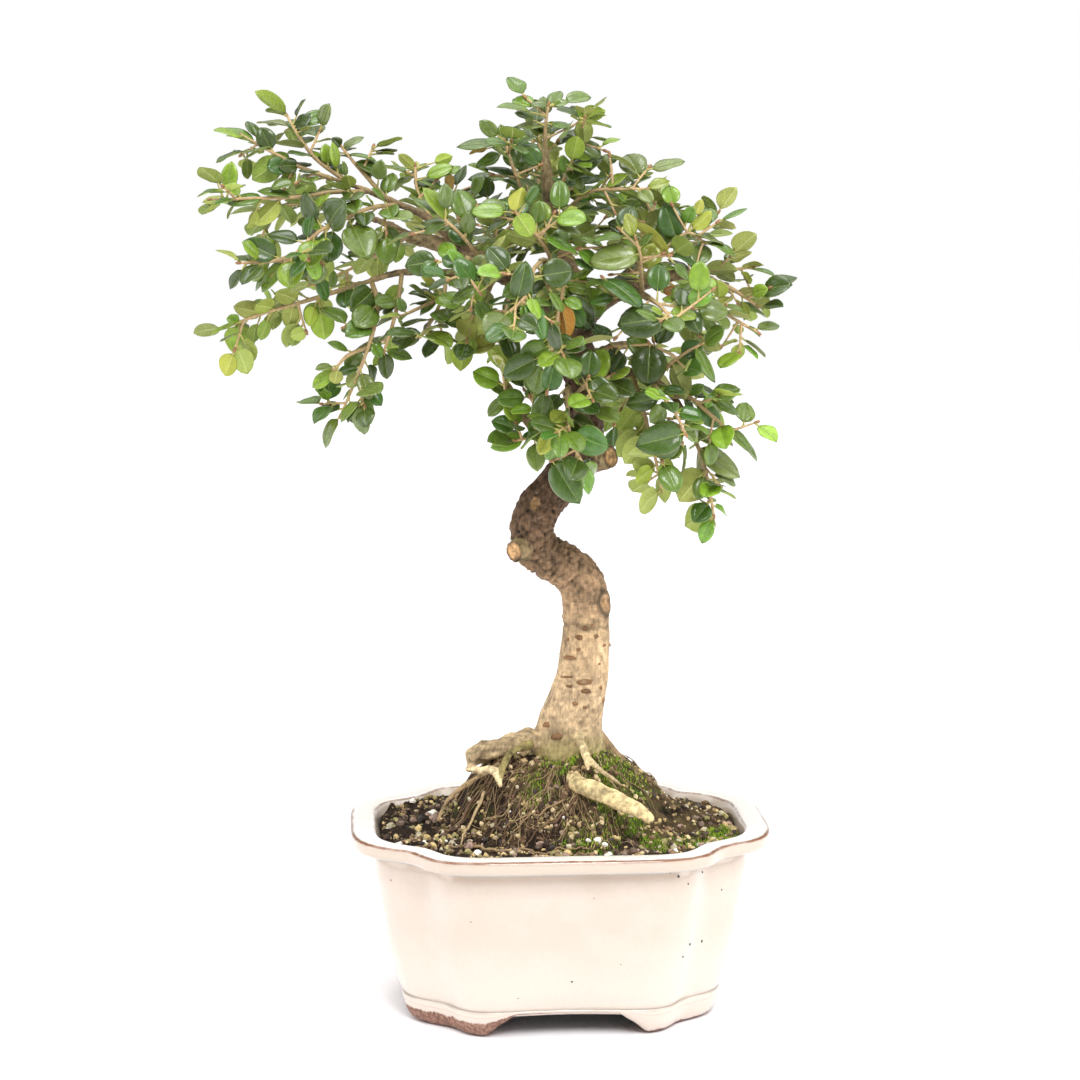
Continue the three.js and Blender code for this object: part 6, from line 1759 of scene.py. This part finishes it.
# Where moss grows: x, y and reach, and how thick it is.
MOSS_PATCHES = [
    [1, -11, 7, 1.0], [16, -22, 8, 1.0], [25, -26, 7, 0.9], [34, -33, 6, 0.8], [58, -18, 9, 1.0],
    [22, -8, 12, 0.5], [46, -28, 9, 0.5], [-8, -20, 9, 0.35], [10, -40, 12, 0.25], [0, 20, 14, 0.5],
    [26, 22, 12, 0.6], [-26, 16, 10, 0.4],
]
# How much fuller the pot looks than its flat soil, and the mound's shoulders: x, y, spread and rise.
SOIL_FILL = 3.2
KNOLLS = [[-21, -12, 11, 6.5], [-12, -22, 9, 3.5], [20, -10, 11, 2.5], [38, 0, 12, 2.5], [-30, -6, 9, 9]]
# White bits that show: x, y and size.
PERLITE = [
    [-28, -42, 1.7], [17.5, -44.5, 1.9], [13.4, -38, 1.7],
    [15.8, -39.5, 1.4], [-47, -27, 1.4], [49, -30, 1.3],
]
# Fine roots that show: points of x and y, with a height above the soil, and a radius.
FINE_ROOTS = [
    [0.55, [[-30, -38, 0.5], [-18, -43, 1.3], [-8, -45, 1.6], [2, -45, 1.2], [10, -44, 0.3]]],
    [0.5, [[-30, -16, 2.0], [-34, -20, 2.2], [-38, -25, 2.0], [-41, -31, 1.0], [-42, -36, 0]]],
    [0.6, [[-26, -18, 2.5], [-30, -23, 3.0], [-33, -29, 2.2], [-34, -35, 0.4]]],
    [0.4, [[2, -26, 1.5], [-6, -30, 1.8], [-13, -32, 1.4], [-19, -37, 0.3]]],
    [0.4, [[8, -24, 1.5], [0, -32, 2.0], [-9, -36, 1.6], [-14, -41, 0.2]]],
]


def soil_height(x, y):
    """The height of the flat soil, the mound and its shoulders."""
    reach = np.hypot((x - MOUND["x"]) / MOUND["reach_x"], (y - MOUND["y"]) / MOUND["reach_y"])
    height = SOIL_LEVEL + SOIL_FILL + (MOUND["height"] - SOIL_FILL) * (1 - smooth(*MOUND_SLOPE, reach))
    for at_x, at_y, spread, rise in KNOLLS:
        height = height + rise * np.exp(-((x - at_x) ** 2 + (y - at_y) ** 2) / spread**2)
    return height


def soil_relief(points):
    """The clods and crumbs of the soil's surface, as a rise at each point."""
    flat = points * [1, 1, 0]
    rise = 1.5 * grain(flat, 8, 51) + 1.3 * grain(flat, 3.1, 57, 2)
    return rise * smooth(0, 4, points[:, 2] - SOIL_LEVEL + 5)


def surface(x, y):
    """The height of the soil with its relief."""
    base = soil_height(x, y)
    return base + soil_relief(np.stack([x, y, base], -1))


def moss_at(x, y):
    """How thick the moss is at a place, from 0 to 1."""
    cover = 0 * x
    for at_x, at_y, reach, thick in MOSS_PATCHES:
        cover = np.maximum(cover, thick * smooth(1.2, 0.4, np.hypot(x - at_x, y - at_y) / reach))
    return cover


def scatter(count, seed, edge):
    """Places spread evenly over the soil, by a fixed draw."""
    k = np.arange(count)
    first = np.array([draw(int(i), seed) for i in k])
    second = np.array([draw(int(i), seed + 1) for i in k])
    angle = 2 * np.pi * first
    reach = outline(angle, np.full(count, float(edge))) * np.sqrt(second)
    return reach * np.cos(angle), reach * np.sin(angle)


def spin(seed):
    """A turn of a small thing, by a fixed draw."""
    axis = unit(np.array([draw(seed, 1) - 0.5, draw(seed, 2) - 0.5, draw(seed, 3) - 0.5]))
    angle = 6.28 * draw(seed, 4)
    return np.array([turned(np.eye(3)[k], axis, angle) for k in range(3)])


def make_soil():
    """The soil with its clods, in one closed body."""
    top = [[inset, SOIL_LEVEL] for inset in np.linspace(SOIL_EDGE, SOIL_INNER, SOIL_STEPS)]
    below = [[PLAN_REACH, SOIL_FLOOR], [25, SOIL_FLOOR], [19.2, 30], [14.2, 56]]
    points, faces, _ = sweep([*below, *top, [PLAN_REACH, SOIL_LEVEL]])
    high = points[:, 2] > SOIL_LEVEL - 0.01
    points[high, 2] = surface(points[high, 0], points[high, 1])
    x, y, z = points.T
    dry = smooth(-0.1, 0.5, grain(points, 4, 61, 2) + 0.012 * x)
    tone = blended(np.array(SOIL_TONE), 0.55 * dry, DRY_TONE)
    film = 0.25 * smooth(0.1, 0.6, grain(points, 3, 67)) * smooth(66, 74, z)
    tone = blended(tone, np.clip(moss_at(x, y) + film, 0, 1), GREEN_TONE)
    tone *= (1 + 0.45 * grain(points, 1.6, 71))[:, None]
    heap = Heap()
    heap.add(points, faces, 0, np.clip(tone, DARKEST, 1))
    piece = heap.make("soil_mound", [soil_finish()])
    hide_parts("soil")


def make_stones():
    """Gravel near the wall, soil crumbs over the mound, and white perlite."""
    heap = Heap()
    shape, faces = ball(4, 6)
    x, y = scatter(STONES, 500, SOIL_EDGE + 2)
    for k in range(STONES):
        on_slope = float(soil_height(x[k], y[k])) - SOIL_LEVEL >= SLOPE_START
        size = (0.7 + 1.1 * draw(k, 510) ** 2) * (SLOPE_STONES if on_slope else 1)
        tone = chosen(STONE_TONES, draw(k, 511))
        if draw(k, 512) < PERLITE_SHARE:
            tone = PERLITE_TONE
        add_lump(heap, shape, faces, x[k], y[k], size, tone, 2000 + k)
    for k, (at_x, at_y, size) in enumerate(PERLITE):
        add_lump(heap, shape, faces, at_x, at_y, size, PERLITE_TONE, 2900 + k)
    x, y = scatter(CRUMBS * 2, 520, SOIL_EDGE + 1)
    clumps = grain(np.stack([x, y, 0 * x], -1), 4.5, 59, 2)
    shape, faces = ball(3, 5)
    for k in [k for k in range(len(x)) if draw(k, 532) < 0.5 + 0.8 * clumps[k]][:CRUMBS]:
        size = 0.28 + 1.1 * draw(k, 530) ** 3
        tone = chosen(CRUMB_TONES, draw(k, 531))
        add_lump(heap, shape, faces, x[k], y[k], size, np.array(tone) * (1 + 0.5 * clumps[k]), 4000 + k)
    piece = heap.make("soil_stones", [stone_finish()], False)


def add_lump(heap, shape, faces, x, y, size, tone, seed):
    """A stone or crumb: a lumpy ball, turned at random and half sunk in the soil."""
    z = float(surface(np.array([x]), np.array([y]))[0])
    lumpy = shape * (1 + 0.5 * (grain(shape * 2 + seed, 1.1, 81)[:, None])) * [1, 0.85, 0.7]
    points = np.array([x, y, z + 0.25 * size]) + size * lumpy @ spin(seed)
    heap.add(points, faces, 0, np.array(tone) * (0.8 + 0.4 * draw(seed, 5)))


def make_moss():
    """Tufts of short pointed blades where moss grows."""
    heap = Heap()
    x, y = scatter(MOSS_BLADES * 5, 600, SOIL_EDGE + 2)
    cover = moss_at(x, y)
    keep = [k for k in range(len(x)) if draw(k, 610) < cover[k]][:MOSS_BLADES]
    heights = surface(x[keep], y[keep])
    faces = [[0, 1, 3], [1, 2, 3], [2, 0, 3], [0, 2, 1]]
    for k, z in zip(keep, heights):
        lean = np.array([draw(k, 620) - 0.5, draw(k, 621) - 0.5, 0.9])
        tall = 0.7 + 1.1 * draw(k, 622)
        turn = 6.28 * draw(k, 623)
        foot = [[0.26 * math.cos(turn + a), 0.26 * math.sin(turn + a), -0.2] for a in (0, 2.09, 4.19)]
        points = np.array([*foot, lean * tall]) + [x[k], y[k], z]
        heap.add(points, faces, 0, chosen(MOSS_TONES, draw(k, 624)))
    piece = heap.make("soil_moss", [moss_finish()], False)


def make_hairs():
    """Fine roots over the mound: those that show, and many that run down its slopes."""
    heap = Heap()
    for k, (radius, route) in enumerate(FINE_ROOTS):
        route = np.array(route, float)
        line = curve(route, 8)
        line[:, 2] += surface(line[:, 0], line[:, 1])
        line += 0.35 * np.stack([grain(line, 2.5, 91 + 3 * k + c) for c in range(3)], -1)
        heap.add(*tube(line, np.linspace(radius, radius * 0.4, len(line)), 6), 0, HAIR_TONES[k % 3])
    for k in range(HAIRS):
        angle = math.pi * (0.72 + 0.95 * draw(k, 700)) if k % 3 else 2 * math.pi * draw(k, 700)
        reach = 12 + 20 * draw(k, 701)
        place = np.array([MOUND["x"] + reach * math.cos(angle), MOUND["y"] + reach * math.sin(angle)])
        way = angle + 1.2 * (draw(k, 702) - 0.5)
        count = 9 + int(8 * draw(k, 703))
        line = []
        for step in range(count):
            arch = 1.1 * math.sin(math.pi * step / (count - 1))
            line.append([*place, float(surface(place[:1], place[1:])[0]) + arch * draw(k, 704) + 0.1])
            way += 0.7 * (draw(k * 40 + step, 705) - 0.5)
            place = place + 1.5 * np.array([math.cos(way), math.sin(way)])
        radius = 0.10 + 0.2 * draw(k, 706) ** 2
        points, faces = tube(curve(line, 2), np.linspace(radius, radius * 0.5, 2 * count - 1), 4)
        heap.add(points, faces, 0, chosen(HAIR_TONES, draw(k, 707)))
    piece = heap.make("root_hairs", [twig_finish()])


class Finish:
    """A procedural material: a Principled shader, and short ways to make the nodes that feed it."""

    def __init__(self, name, **constants):
        self.material = bpy.data.materials.new(name)
        self.material.use_nodes = True
        self.tree = self.material.node_tree
        self.tree.nodes.clear()
        output = self.tree.nodes.new("ShaderNodeOutputMaterial")
        self.shader = self.tree.nodes.new("ShaderNodeBsdfPrincipled")
        self.tree.links.new(self.shader.outputs[0], output.inputs[0])
        for key, value in constants.items():
            self.shader.inputs[key.replace("_", " ")].default_value = value
        self.place = self.node("TexCoord").outputs["Object"]

    def node(self, kind, inputs=None, **settings):
        made = self.tree.nodes.new("ShaderNode" + kind)
        for key, value in settings.items():
            setattr(made, key, value)
        for socket, value in (inputs or {}).items():
            self.feed(made.inputs[socket], value)
        return made

    def feed(self, socket, value):
        if isinstance(value, bpy.types.NodeSocket):
            self.tree.links.new(value, socket)
        elif isinstance(value, tuple) and len(socket.default_value) == 4:
            socket.default_value = (*value, 1)
        else:
            socket.default_value = value

    def tone(self):
        return self.node("Attribute", attribute_name="tone").outputs["Color"]

    def noise(self, size, detail=3, roughness=0.55, place=None, distortion=0):
        inputs = {"Vector": place or self.place, "Scale": 1000 / size, "Detail": detail,
                  "Roughness": roughness, "Distortion": distortion}
        return self.node("TexNoise", inputs).outputs["Fac"]

    def cells(self, size, place=None, feature="F1"):
        inputs = {"Vector": place or self.place, "Scale": 1000 / size}
        return self.node("TexVoronoi", inputs, feature=feature)

    def stretched(self, x, y, z):
        return self.node("Mapping", {"Vector": self.place, "Scale": (x, y, z)}).outputs[0]

    def calc(self, operation, a, b=0.0):
        return self.node("Math", {0: a, 1: b}, operation=operation).outputs[0]

    def times(self, a, b):
        return self.calc("MULTIPLY", a, b)

    def plus(self, a, b):
        return self.calc("ADD", a, b)

    def apart(self, a, b):
        """How far one value is from another."""
        return self.calc("ABSOLUTE", self.calc("SUBTRACT", a, b))

    def parts(self, vector):
        return self.node("SeparateXYZ", {0: vector}).outputs

    def plan(self):
        """The plan coordinates of a surface."""
        return self.parts(self.node("UVMap", uv_map="plan").outputs[0])

    def step(self, value, low, high, start=0.0, end=1.0):
        """A value eased from one level to another between two bounds."""
        inputs = {"Value": value, "From Min": low, "From Max": high, "To Min": start, "To Max": end}
        return self.node("MapRange", inputs, interpolation_type="SMOOTHSTEP").outputs[0]

    def mix(self, share, a, b, **settings):
        return self.node("Mix", {0: share, 6: a, 7: b}, data_type="RGBA", **settings).outputs[2]

    def tint(self, colour, share, amount, tone):
        """A colour with an amount of another tone laid over it where a share is high."""
        return self.mix(self.times(share, amount), colour, tone)

    def shade(self, colour, amount):
        """A colour made darker or lighter by a value round 1."""
        grey = self.node("CombineColor", {0: amount, 1: amount, 2: amount}).outputs[0]
        return self.mix(1.0, colour, grey, blend_type="MULTIPLY")

    def bump(self, height, strength, distance):
        inputs = {"Height": height, "Strength": strength, "Distance": distance * MM}
        return self.node("Bump", inputs).outputs[0]

    def done(self, **links):
        for key, value in links.items():
            self.feed(self.shader.inputs[key.replace("_", " ")], value)
        return self.material


def leaf_veins(finish):
    """How near a point of a blade is to its midrib and side veins, and to its edge."""
    across, along, _ = finish.plan()
    across = finish.apart(across, 0.5)
    rib = finish.step(across, 0.032, 0.0)
    slant = finish.calc("SUBTRACT", along, finish.times(across, 0.62))
    wobble = finish.times(finish.noise(3.5, 1), 0.05)
    wave = finish.calc("FRACT", finish.times(finish.plus(slant, wobble), 6.5))
    wave = finish.apart(wave, 0.5)
    side = finish.step(wave, 0.1, 0.0)
    side = finish.times(side, finish.step(across, 0.47, 0.2))
    edge = finish.step(across, 0.455, 0.495)
    return rib, side, edge


def leaf_upper_finish():
    """Glossy, leathery upper face, with sunken veins, a paler midrib and a thin pale edge."""
    finish = Finish("leaf_upper", Specular_IOR_Level=0.4, IOR=1.45, Coat_Weight=0.5, Coat_Roughness=0.12)
    rib, side, edge = leaf_veins(finish)
    mottle = finish.step(finish.noise(2.2, 3), 0.3, 0.75, 0.84, 1.16)
    colour = finish.shade(finish.tone(), mottle)
    colour = finish.tint(colour, rib, 0.5, hue(148, 168, 88))
    colour = finish.tint(colour, side, 0.14, hue(120, 146, 76))
    colour = finish.tint(colour, edge, 0.5, hue(160, 166, 96))
    height = finish.plus(finish.times(rib, -0.6), finish.times(side, -0.5))
    height = finish.plus(height, finish.times(finish.noise(1.1, 2), 0.35))
    gloss = finish.step(finish.noise(5, 2), 0.3, 0.7, 0.24, 0.38)
    return finish.done(Base_Color=colour, Roughness=gloss, Normal=finish.bump(height, 0.8, 0.25))


def leaf_under_finish():
    """Matt, paler under face, with a raised network of veins."""
    finish = Finish("leaf_under", Specular_IOR_Level=0.3)
    rib, side, edge = leaf_veins(finish)
    net = finish.cells(0.9, feature="DISTANCE_TO_EDGE").outputs["Distance"]
    net = finish.step(net, 0.12, 0.0)
    colour = finish.shade(finish.tone(), finish.step(finish.noise(2.0, 3), 0.3, 0.75, 0.9, 1.1))
    colour = finish.tint(colour, net, 0.18, hue(196, 204, 140))
    colour = finish.tint(colour, side, 0.35, hue(190, 198, 130))
    colour = finish.tint(colour, rib, 0.7, hue(202, 204, 138))
    colour = finish.tint(colour, edge, 0.4, hue(176, 182, 112))
    height = finish.plus(finish.times(side, 0.8), finish.times(net, 0.3))
    return finish.done(Base_Color=colour, Roughness=0.62, Normal=finish.bump(height, 0.6, 0.15))


def twig_finish():
    """Smooth young bark with fine fibres and pores."""
    finish = Finish("twig_bark", Specular_IOR_Level=0.35)
    colour = finish.shade(finish.tone(), finish.step(finish.noise(1.2, 4, 0.65), 0.3, 0.7, 0.78, 1.18))
    pores = finish.step(finish.cells(1.6).outputs["Distance"], 0.16, 0.08)
    colour = finish.tint(colour, pores, 0.4, hue(208, 186, 148))
    return finish.done(Base_Color=colour, Roughness=0.6, Normal=finish.bump(finish.noise(0.6, 4), 0.5, 0.15))


def bark_finish():
    """Grey-brown bark: fine upright cracks, flakes and small pores over the tone of each stretch."""
    finish = Finish("bark", Specular_IOR_Level=0.3)
    upright = finish.stretched(1, 1, 0.35)
    cracks = finish.noise(0.9, 5, 0.65, upright, 0.4)
    flakes = finish.cells(2.4, finish.stretched(1, 1, 0.6)).outputs["Distance"]
    patches = finish.noise(5, 4, 0.6)
    colour = finish.shade(finish.tone(), finish.step(cracks, 0.34, 0.6, 0.72, 1.12))
    bands = finish.noise(1.3, 4, 0.6, finish.stretched(0.4, 0.4, 2.2))
    colour = finish.shade(colour, finish.step(bands, 0.32, 0.62, 0.9, 1.06))
    colour = finish.shade(colour, finish.step(patches, 0.3, 0.7, 0.92, 1.08))
    lichen = finish.step(finish.noise(3.2, 5, 0.7), 0.6, 0.72)
    colour = finish.tint(colour, lichen, 0.28, hue(190, 182, 156))
    height = finish.plus(cracks, finish.times(flakes, 0.35))
    rough = finish.step(patches, 0.3, 0.7, 0.68, 0.9)
    return finish.done(Base_Color=colour, Roughness=rough, Normal=finish.bump(height, 0.9, 0.5))


def soil_finish():
    """Dark, fibrous soil with bits of straw."""
    finish = Finish("soil", Specular_IOR_Level=0.2, Roughness=0.95)
    fibres = finish.noise(0.8, 5, 0.7, distortion=1.2)
    colour = finish.shade(finish.tone(), finish.step(fibres, 0.3, 0.7, 0.42, 1.45))
    straw = finish.step(finish.noise(0.55, 3, 0.6, distortion=2.0), 0.62, 0.7)
    colour = finish.tint(colour, straw, 0.5, hue(176, 154, 108))
    return finish.done(Base_Color=colour, Normal=finish.bump(fibres, 1.0, 0.9))


def stone_finish():
    """Gritty stone."""
    finish = Finish("stone", Specular_IOR_Level=0.35, Roughness=0.75)
    grit = finish.noise(0.5, 4, 0.7)
    colour = finish.shade(finish.tone(), finish.step(grit, 0.3, 0.7, 0.75, 1.25))
    return finish.done(Base_Color=colour, Normal=finish.bump(grit, 0.6, 0.2))


def moss_finish():
    """Moss, lighter and darker in patches."""
    finish = Finish("moss", Specular_IOR_Level=0.25, Roughness=0.8)
    change = finish.step(finish.noise(2.5, 3), 0.3, 0.7, 0.75, 1.25)
    return finish.done(Base_Color=finish.shade(finish.tone(), change))


# Lines in the glaze, by inset from the rim's outline and height, with width, tone and strength: brown where
# it thins over an edge; grey under the rim and at the base, partly where it pools and partly painted shade.
GLAZE_AND_SHADE_LINES = [
    [0.3, 66.7, 0.62, hue(122, 78, 52), 1.0], [9.6, 66.5, 0.6, hue(138, 108, 90), 0.9],
    [0.4, 62.2, 0.7, hue(172, 172, 168), 0.7], [8.9, 60.6, 1.1, hue(176, 176, 170), 0.6],
    [18.45, 9.5, 1.2, hue(166, 160, 148), 0.3], [19.6, 7.3, 0.5, hue(150, 120, 100), 0.35],
]


def glaze_finish():
    """Cream glaze: brown where it thins on edges, grey where it pools, pin marks and bare clay below;
    painted light on the rim's top and lower body, painted shade on the rim's face, under the rim and at the
    base, and a painted shadow under the pot.
    """
    finish = Finish("glaze", Specular_IOR_Level=0.5, Coat_Roughness=0.06)
    inset, height, _ = finish.plan()
    inset = finish.times(inset, PLAN_REACH)
    height = finish.times(height, PLAN_REACH)
    drift = finish.noise(14, 2)
    colour = finish.mix(finish.step(drift, 0.35, 0.65), hue(199, 183, 168), hue(203, 188, 174))
    # Painted light: the body is painted lighter towards the bottom, for the light that reaches it from
    # below.
    colour = finish.mix(finish.step(height, 42, 12), colour, hue(214, 200, 187))
    # Painted light and shade: the rim's top is painted near white, as if lit from above, and its outer face
    # darker.
    top = finish.times(finish.step(height, 65.6, 66.4), finish.step(inset, 0.5, 1.6))
    colour = finish.mix(top, colour, hue(243, 238, 231))
    face = finish.times(finish.step(height, 61.4, 62.4), finish.step(inset, 1.4, 0.5))
    colour = finish.mix(face, colour, hue(192, 176, 160))
    # Painted shadow: the pot's underside, low down and well inside the outline, is painted near black for
    # the shade under the pot.
    under = finish.times(finish.step(inset, 24.5, 25.5), finish.step(height, 9.5, 8.5))
    colour = finish.mix(under, colour, hue(44, 34, 32))
    colour = finish.shade(colour, finish.step(finish.noise(1.6, 3), 0.3, 0.7, 0.985, 1.015))
    wobble = finish.calc("SUBTRACT", finish.noise(7, 3), 0.5)
    breaks = finish.step(finish.noise(5, 3, 0.7), 0.34, 0.56, 0.6, 1.0)
    # The grey lines under the rim and at the base are partly pooled glaze and partly painted shade.
    for line_inset, line_height, width, tone, strength in GLAZE_AND_SHADE_LINES:
        across = finish.apart(inset, line_inset)
        up = finish.calc("SUBTRACT", height, line_height)
        up = finish.calc("ABSOLUTE", finish.plus(up, finish.times(wobble, 0.9)))
        away = finish.plus(finish.times(across, 0.35), up)
        near = finish.step(away, width * 1.3, width * 0.35)
        share = finish.times(finish.times(near, breaks), strength)
        colour = finish.mix(share, colour, tone)
    dots = finish.cells(11)
    speck = finish.step(dots.outputs["Distance"], 0.045, 0.03)
    few = finish.parts(dots.outputs["Color"])[0]
    speck = finish.times(speck, finish.step(few, 0.72, 0.74))
    colour = finish.tint(colour, speck, 0.75, hue(96, 76, 62))
    left = finish.parts(finish.place)[0]
    clay_top = finish.step(left, 0.03, 0.018, 1.0, 5.2)
    ragged = finish.plus(height, finish.times(finish.noise(2.6, 4, 0.7), 3.0))
    clay = finish.step(finish.calc("SUBTRACT", ragged, clay_top), 1.9, 1.3)
    grit = finish.step(finish.noise(1.3, 4), 0.35, 0.65)
    colour = finish.mix(clay, colour, finish.mix(grit, hue(116, 82, 70), hue(160, 124, 106)))
    rough = finish.step(clay, 0, 1, 0.16, 0.85)
    coat = finish.step(clay, 0, 1, 0.6, 0.0)
    ripple = finish.bump(finish.noise(9, 2), 0.12, 0.6)
    return finish.done(Base_Color=colour, Roughness=rough, Coat_Weight=coat, Normal=ripple)


def net_finish():
    """Dull, dark synthetic net."""
    finish = Finish("drain_net", Specular_IOR_Level=0.4)
    colour = finish.mix(finish.noise(2, 3), hue(58, 62, 58), hue(82, 86, 80))
    return finish.done(Base_Color=colour, Roughness=0.5, Normal=finish.bump(finish.noise(0.8, 3), 0.4, 0.1))


# The floor, in metres: how far it reaches, and its height just under the feet.
FLOOR_REACH = 3
FLOOR_Z = -0.0002
# Soft boxes: name, place, width and power; and the surround's brightness by the height of a direction.
LAMPS = [
    ["right_box", (1000, -260, 520), 700, 4.8], ["left_box", (-1000, -200, 520), 700, 3.6],
    ["top_box", (-150, -150, 1150), 400, 3.0], ["front_box", (180, -820, 900), 400, 6.6],
]
LIT_PLACE = [0, 0, 150]
SKY = [[0.0, 1.0], [0.14, 1.0], [0.3, 0.3], [0.6, 0.36], [0.8, 2.0]]
FRONT_SKY = [[0.0, 1.0], [0.1, 1.0], [0.2, 0.26], [0.3, 0.24], [0.6, 0.36], [0.8, 2.0]]


def make_stage():
    """A plain white floor, a bright even surround and large soft lights."""
    corners = [(x * FLOOR_REACH, y * FLOOR_REACH, FLOOR_Z) for x, y in ((-1, -1), (1, -1), (1, 1), (-1, 1))]
    mesh = bpy.data.meshes.new("floor")
    mesh.from_pydata(corners, [], [(0, 1, 2, 3)])
    floor = placed("floor", mesh)
    paint = Finish("floor_paint", Specular_IOR_Level=0.1, Roughness=0.9)
    white = paint.mix(paint.noise(60, 2), hue(252, 251, 254), hue(254, 253, 255))
    mesh.materials.append(paint.done(Base_Color=white))
    light_world()
    for name, place, width, power in LAMPS:
        lamp = bpy.data.lights.new(name, "AREA")
        lamp.shape, lamp.size, lamp.size_y, lamp.energy = "RECTANGLE", width * MM, width * MM, power
        lamp_object = placed(name, lamp)
        lamp_object.location = to_frame([place])[0]
        aim(lamp_object, to_frame([LIT_PLACE])[0])


def light_world():
    """A white backdrop and a bright ceiling, with a dimmer room in front."""
    world = bpy.data.worlds.new("studio")
    bpy.context.scene.world = world
    world.use_nodes = True
    nodes, links = world.node_tree.nodes, world.node_tree.links
    place = nodes.new("ShaderNodeTexCoord")
    parts = nodes.new("ShaderNodeSeparateXYZ")
    links.new(place.outputs["Generated"], parts.inputs[0])
    behind = nodes.new("ShaderNodeMapRange")
    behind.inputs["From Min"].default_value = -0.5
    behind.inputs["From Max"].default_value = 0.1
    links.new(parts.outputs[1], behind.inputs["Value"])
    both = nodes.new("ShaderNodeMix")
    both.data_type = "RGBA"
    links.new(behind.outputs[0], both.inputs["Factor"])
    for levels, side in ((FRONT_SKY, "A"), (SKY, "B")):
        ramp = nodes.new("ShaderNodeValToRGB")
        links.new(parts.outputs[2], ramp.inputs[0])
        ramp.color_ramp.interpolation = "EASE"
        stops = ramp.color_ramp.elements
        stops[0].position, stops[1].position = levels[0][0], levels[-1][0]
        for height, _ in levels[1:-1]:
            stops.new(height)
        for stop, (_, level) in zip(stops, levels):
            stop.color = (level, level, level, 1)
        entry = next(way for way in both.inputs if way.name == side and way.type == "RGBA")
        links.new(ramp.outputs[0], entry)
    whole = next(way for way in both.outputs if way.type == "RGBA")
    links.new(whole, nodes["Background"].inputs[0])


def aim(thing, target):
    """Turns a lamp or camera to face a place, with its top upward."""
    way = Vector(target) - Vector(thing.location)
    thing.rotation_euler = way.to_track_quat("-Z", "Y").to_euler()


def make_camera():
    """The camera at the photograph's viewing angle."""
    lens = bpy.data.cameras.new("camera")
    lens.sensor_fit, lens.sensor_width = "HORIZONTAL", SENSOR_WIDTH
    lens.lens = SENSOR_WIDTH * CAMERA["focal_pixels"] / FRAME_PIXELS
    lens.clip_start, lens.clip_end = 0.01, 20
    camera = placed("camera", lens)
    pitch = math.radians(CAMERA["pitch"])
    back = CAMERA["distance"] * np.array([0, -math.cos(pitch), math.sin(pitch)])
    camera.location = to_frame([CAMERA["aim"] + back])[0]
    aim(camera, to_frame([CAMERA["aim"]])[0])
    bpy.context.scene.camera = camera


LEAF_FACES = leaf_faces()
bpy.context.scene.view_settings.view_transform = "Standard"
make_camera()
make_stage()
make_pot()
for node in ("screen_left", "screen_right"):
    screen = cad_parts[node]
    screen.data.materials.clear()
    screen.data.materials.append(net_finish())
make_soil()
make_stones()
make_moss()
make_hairs()
make_wood()
make_sprays()
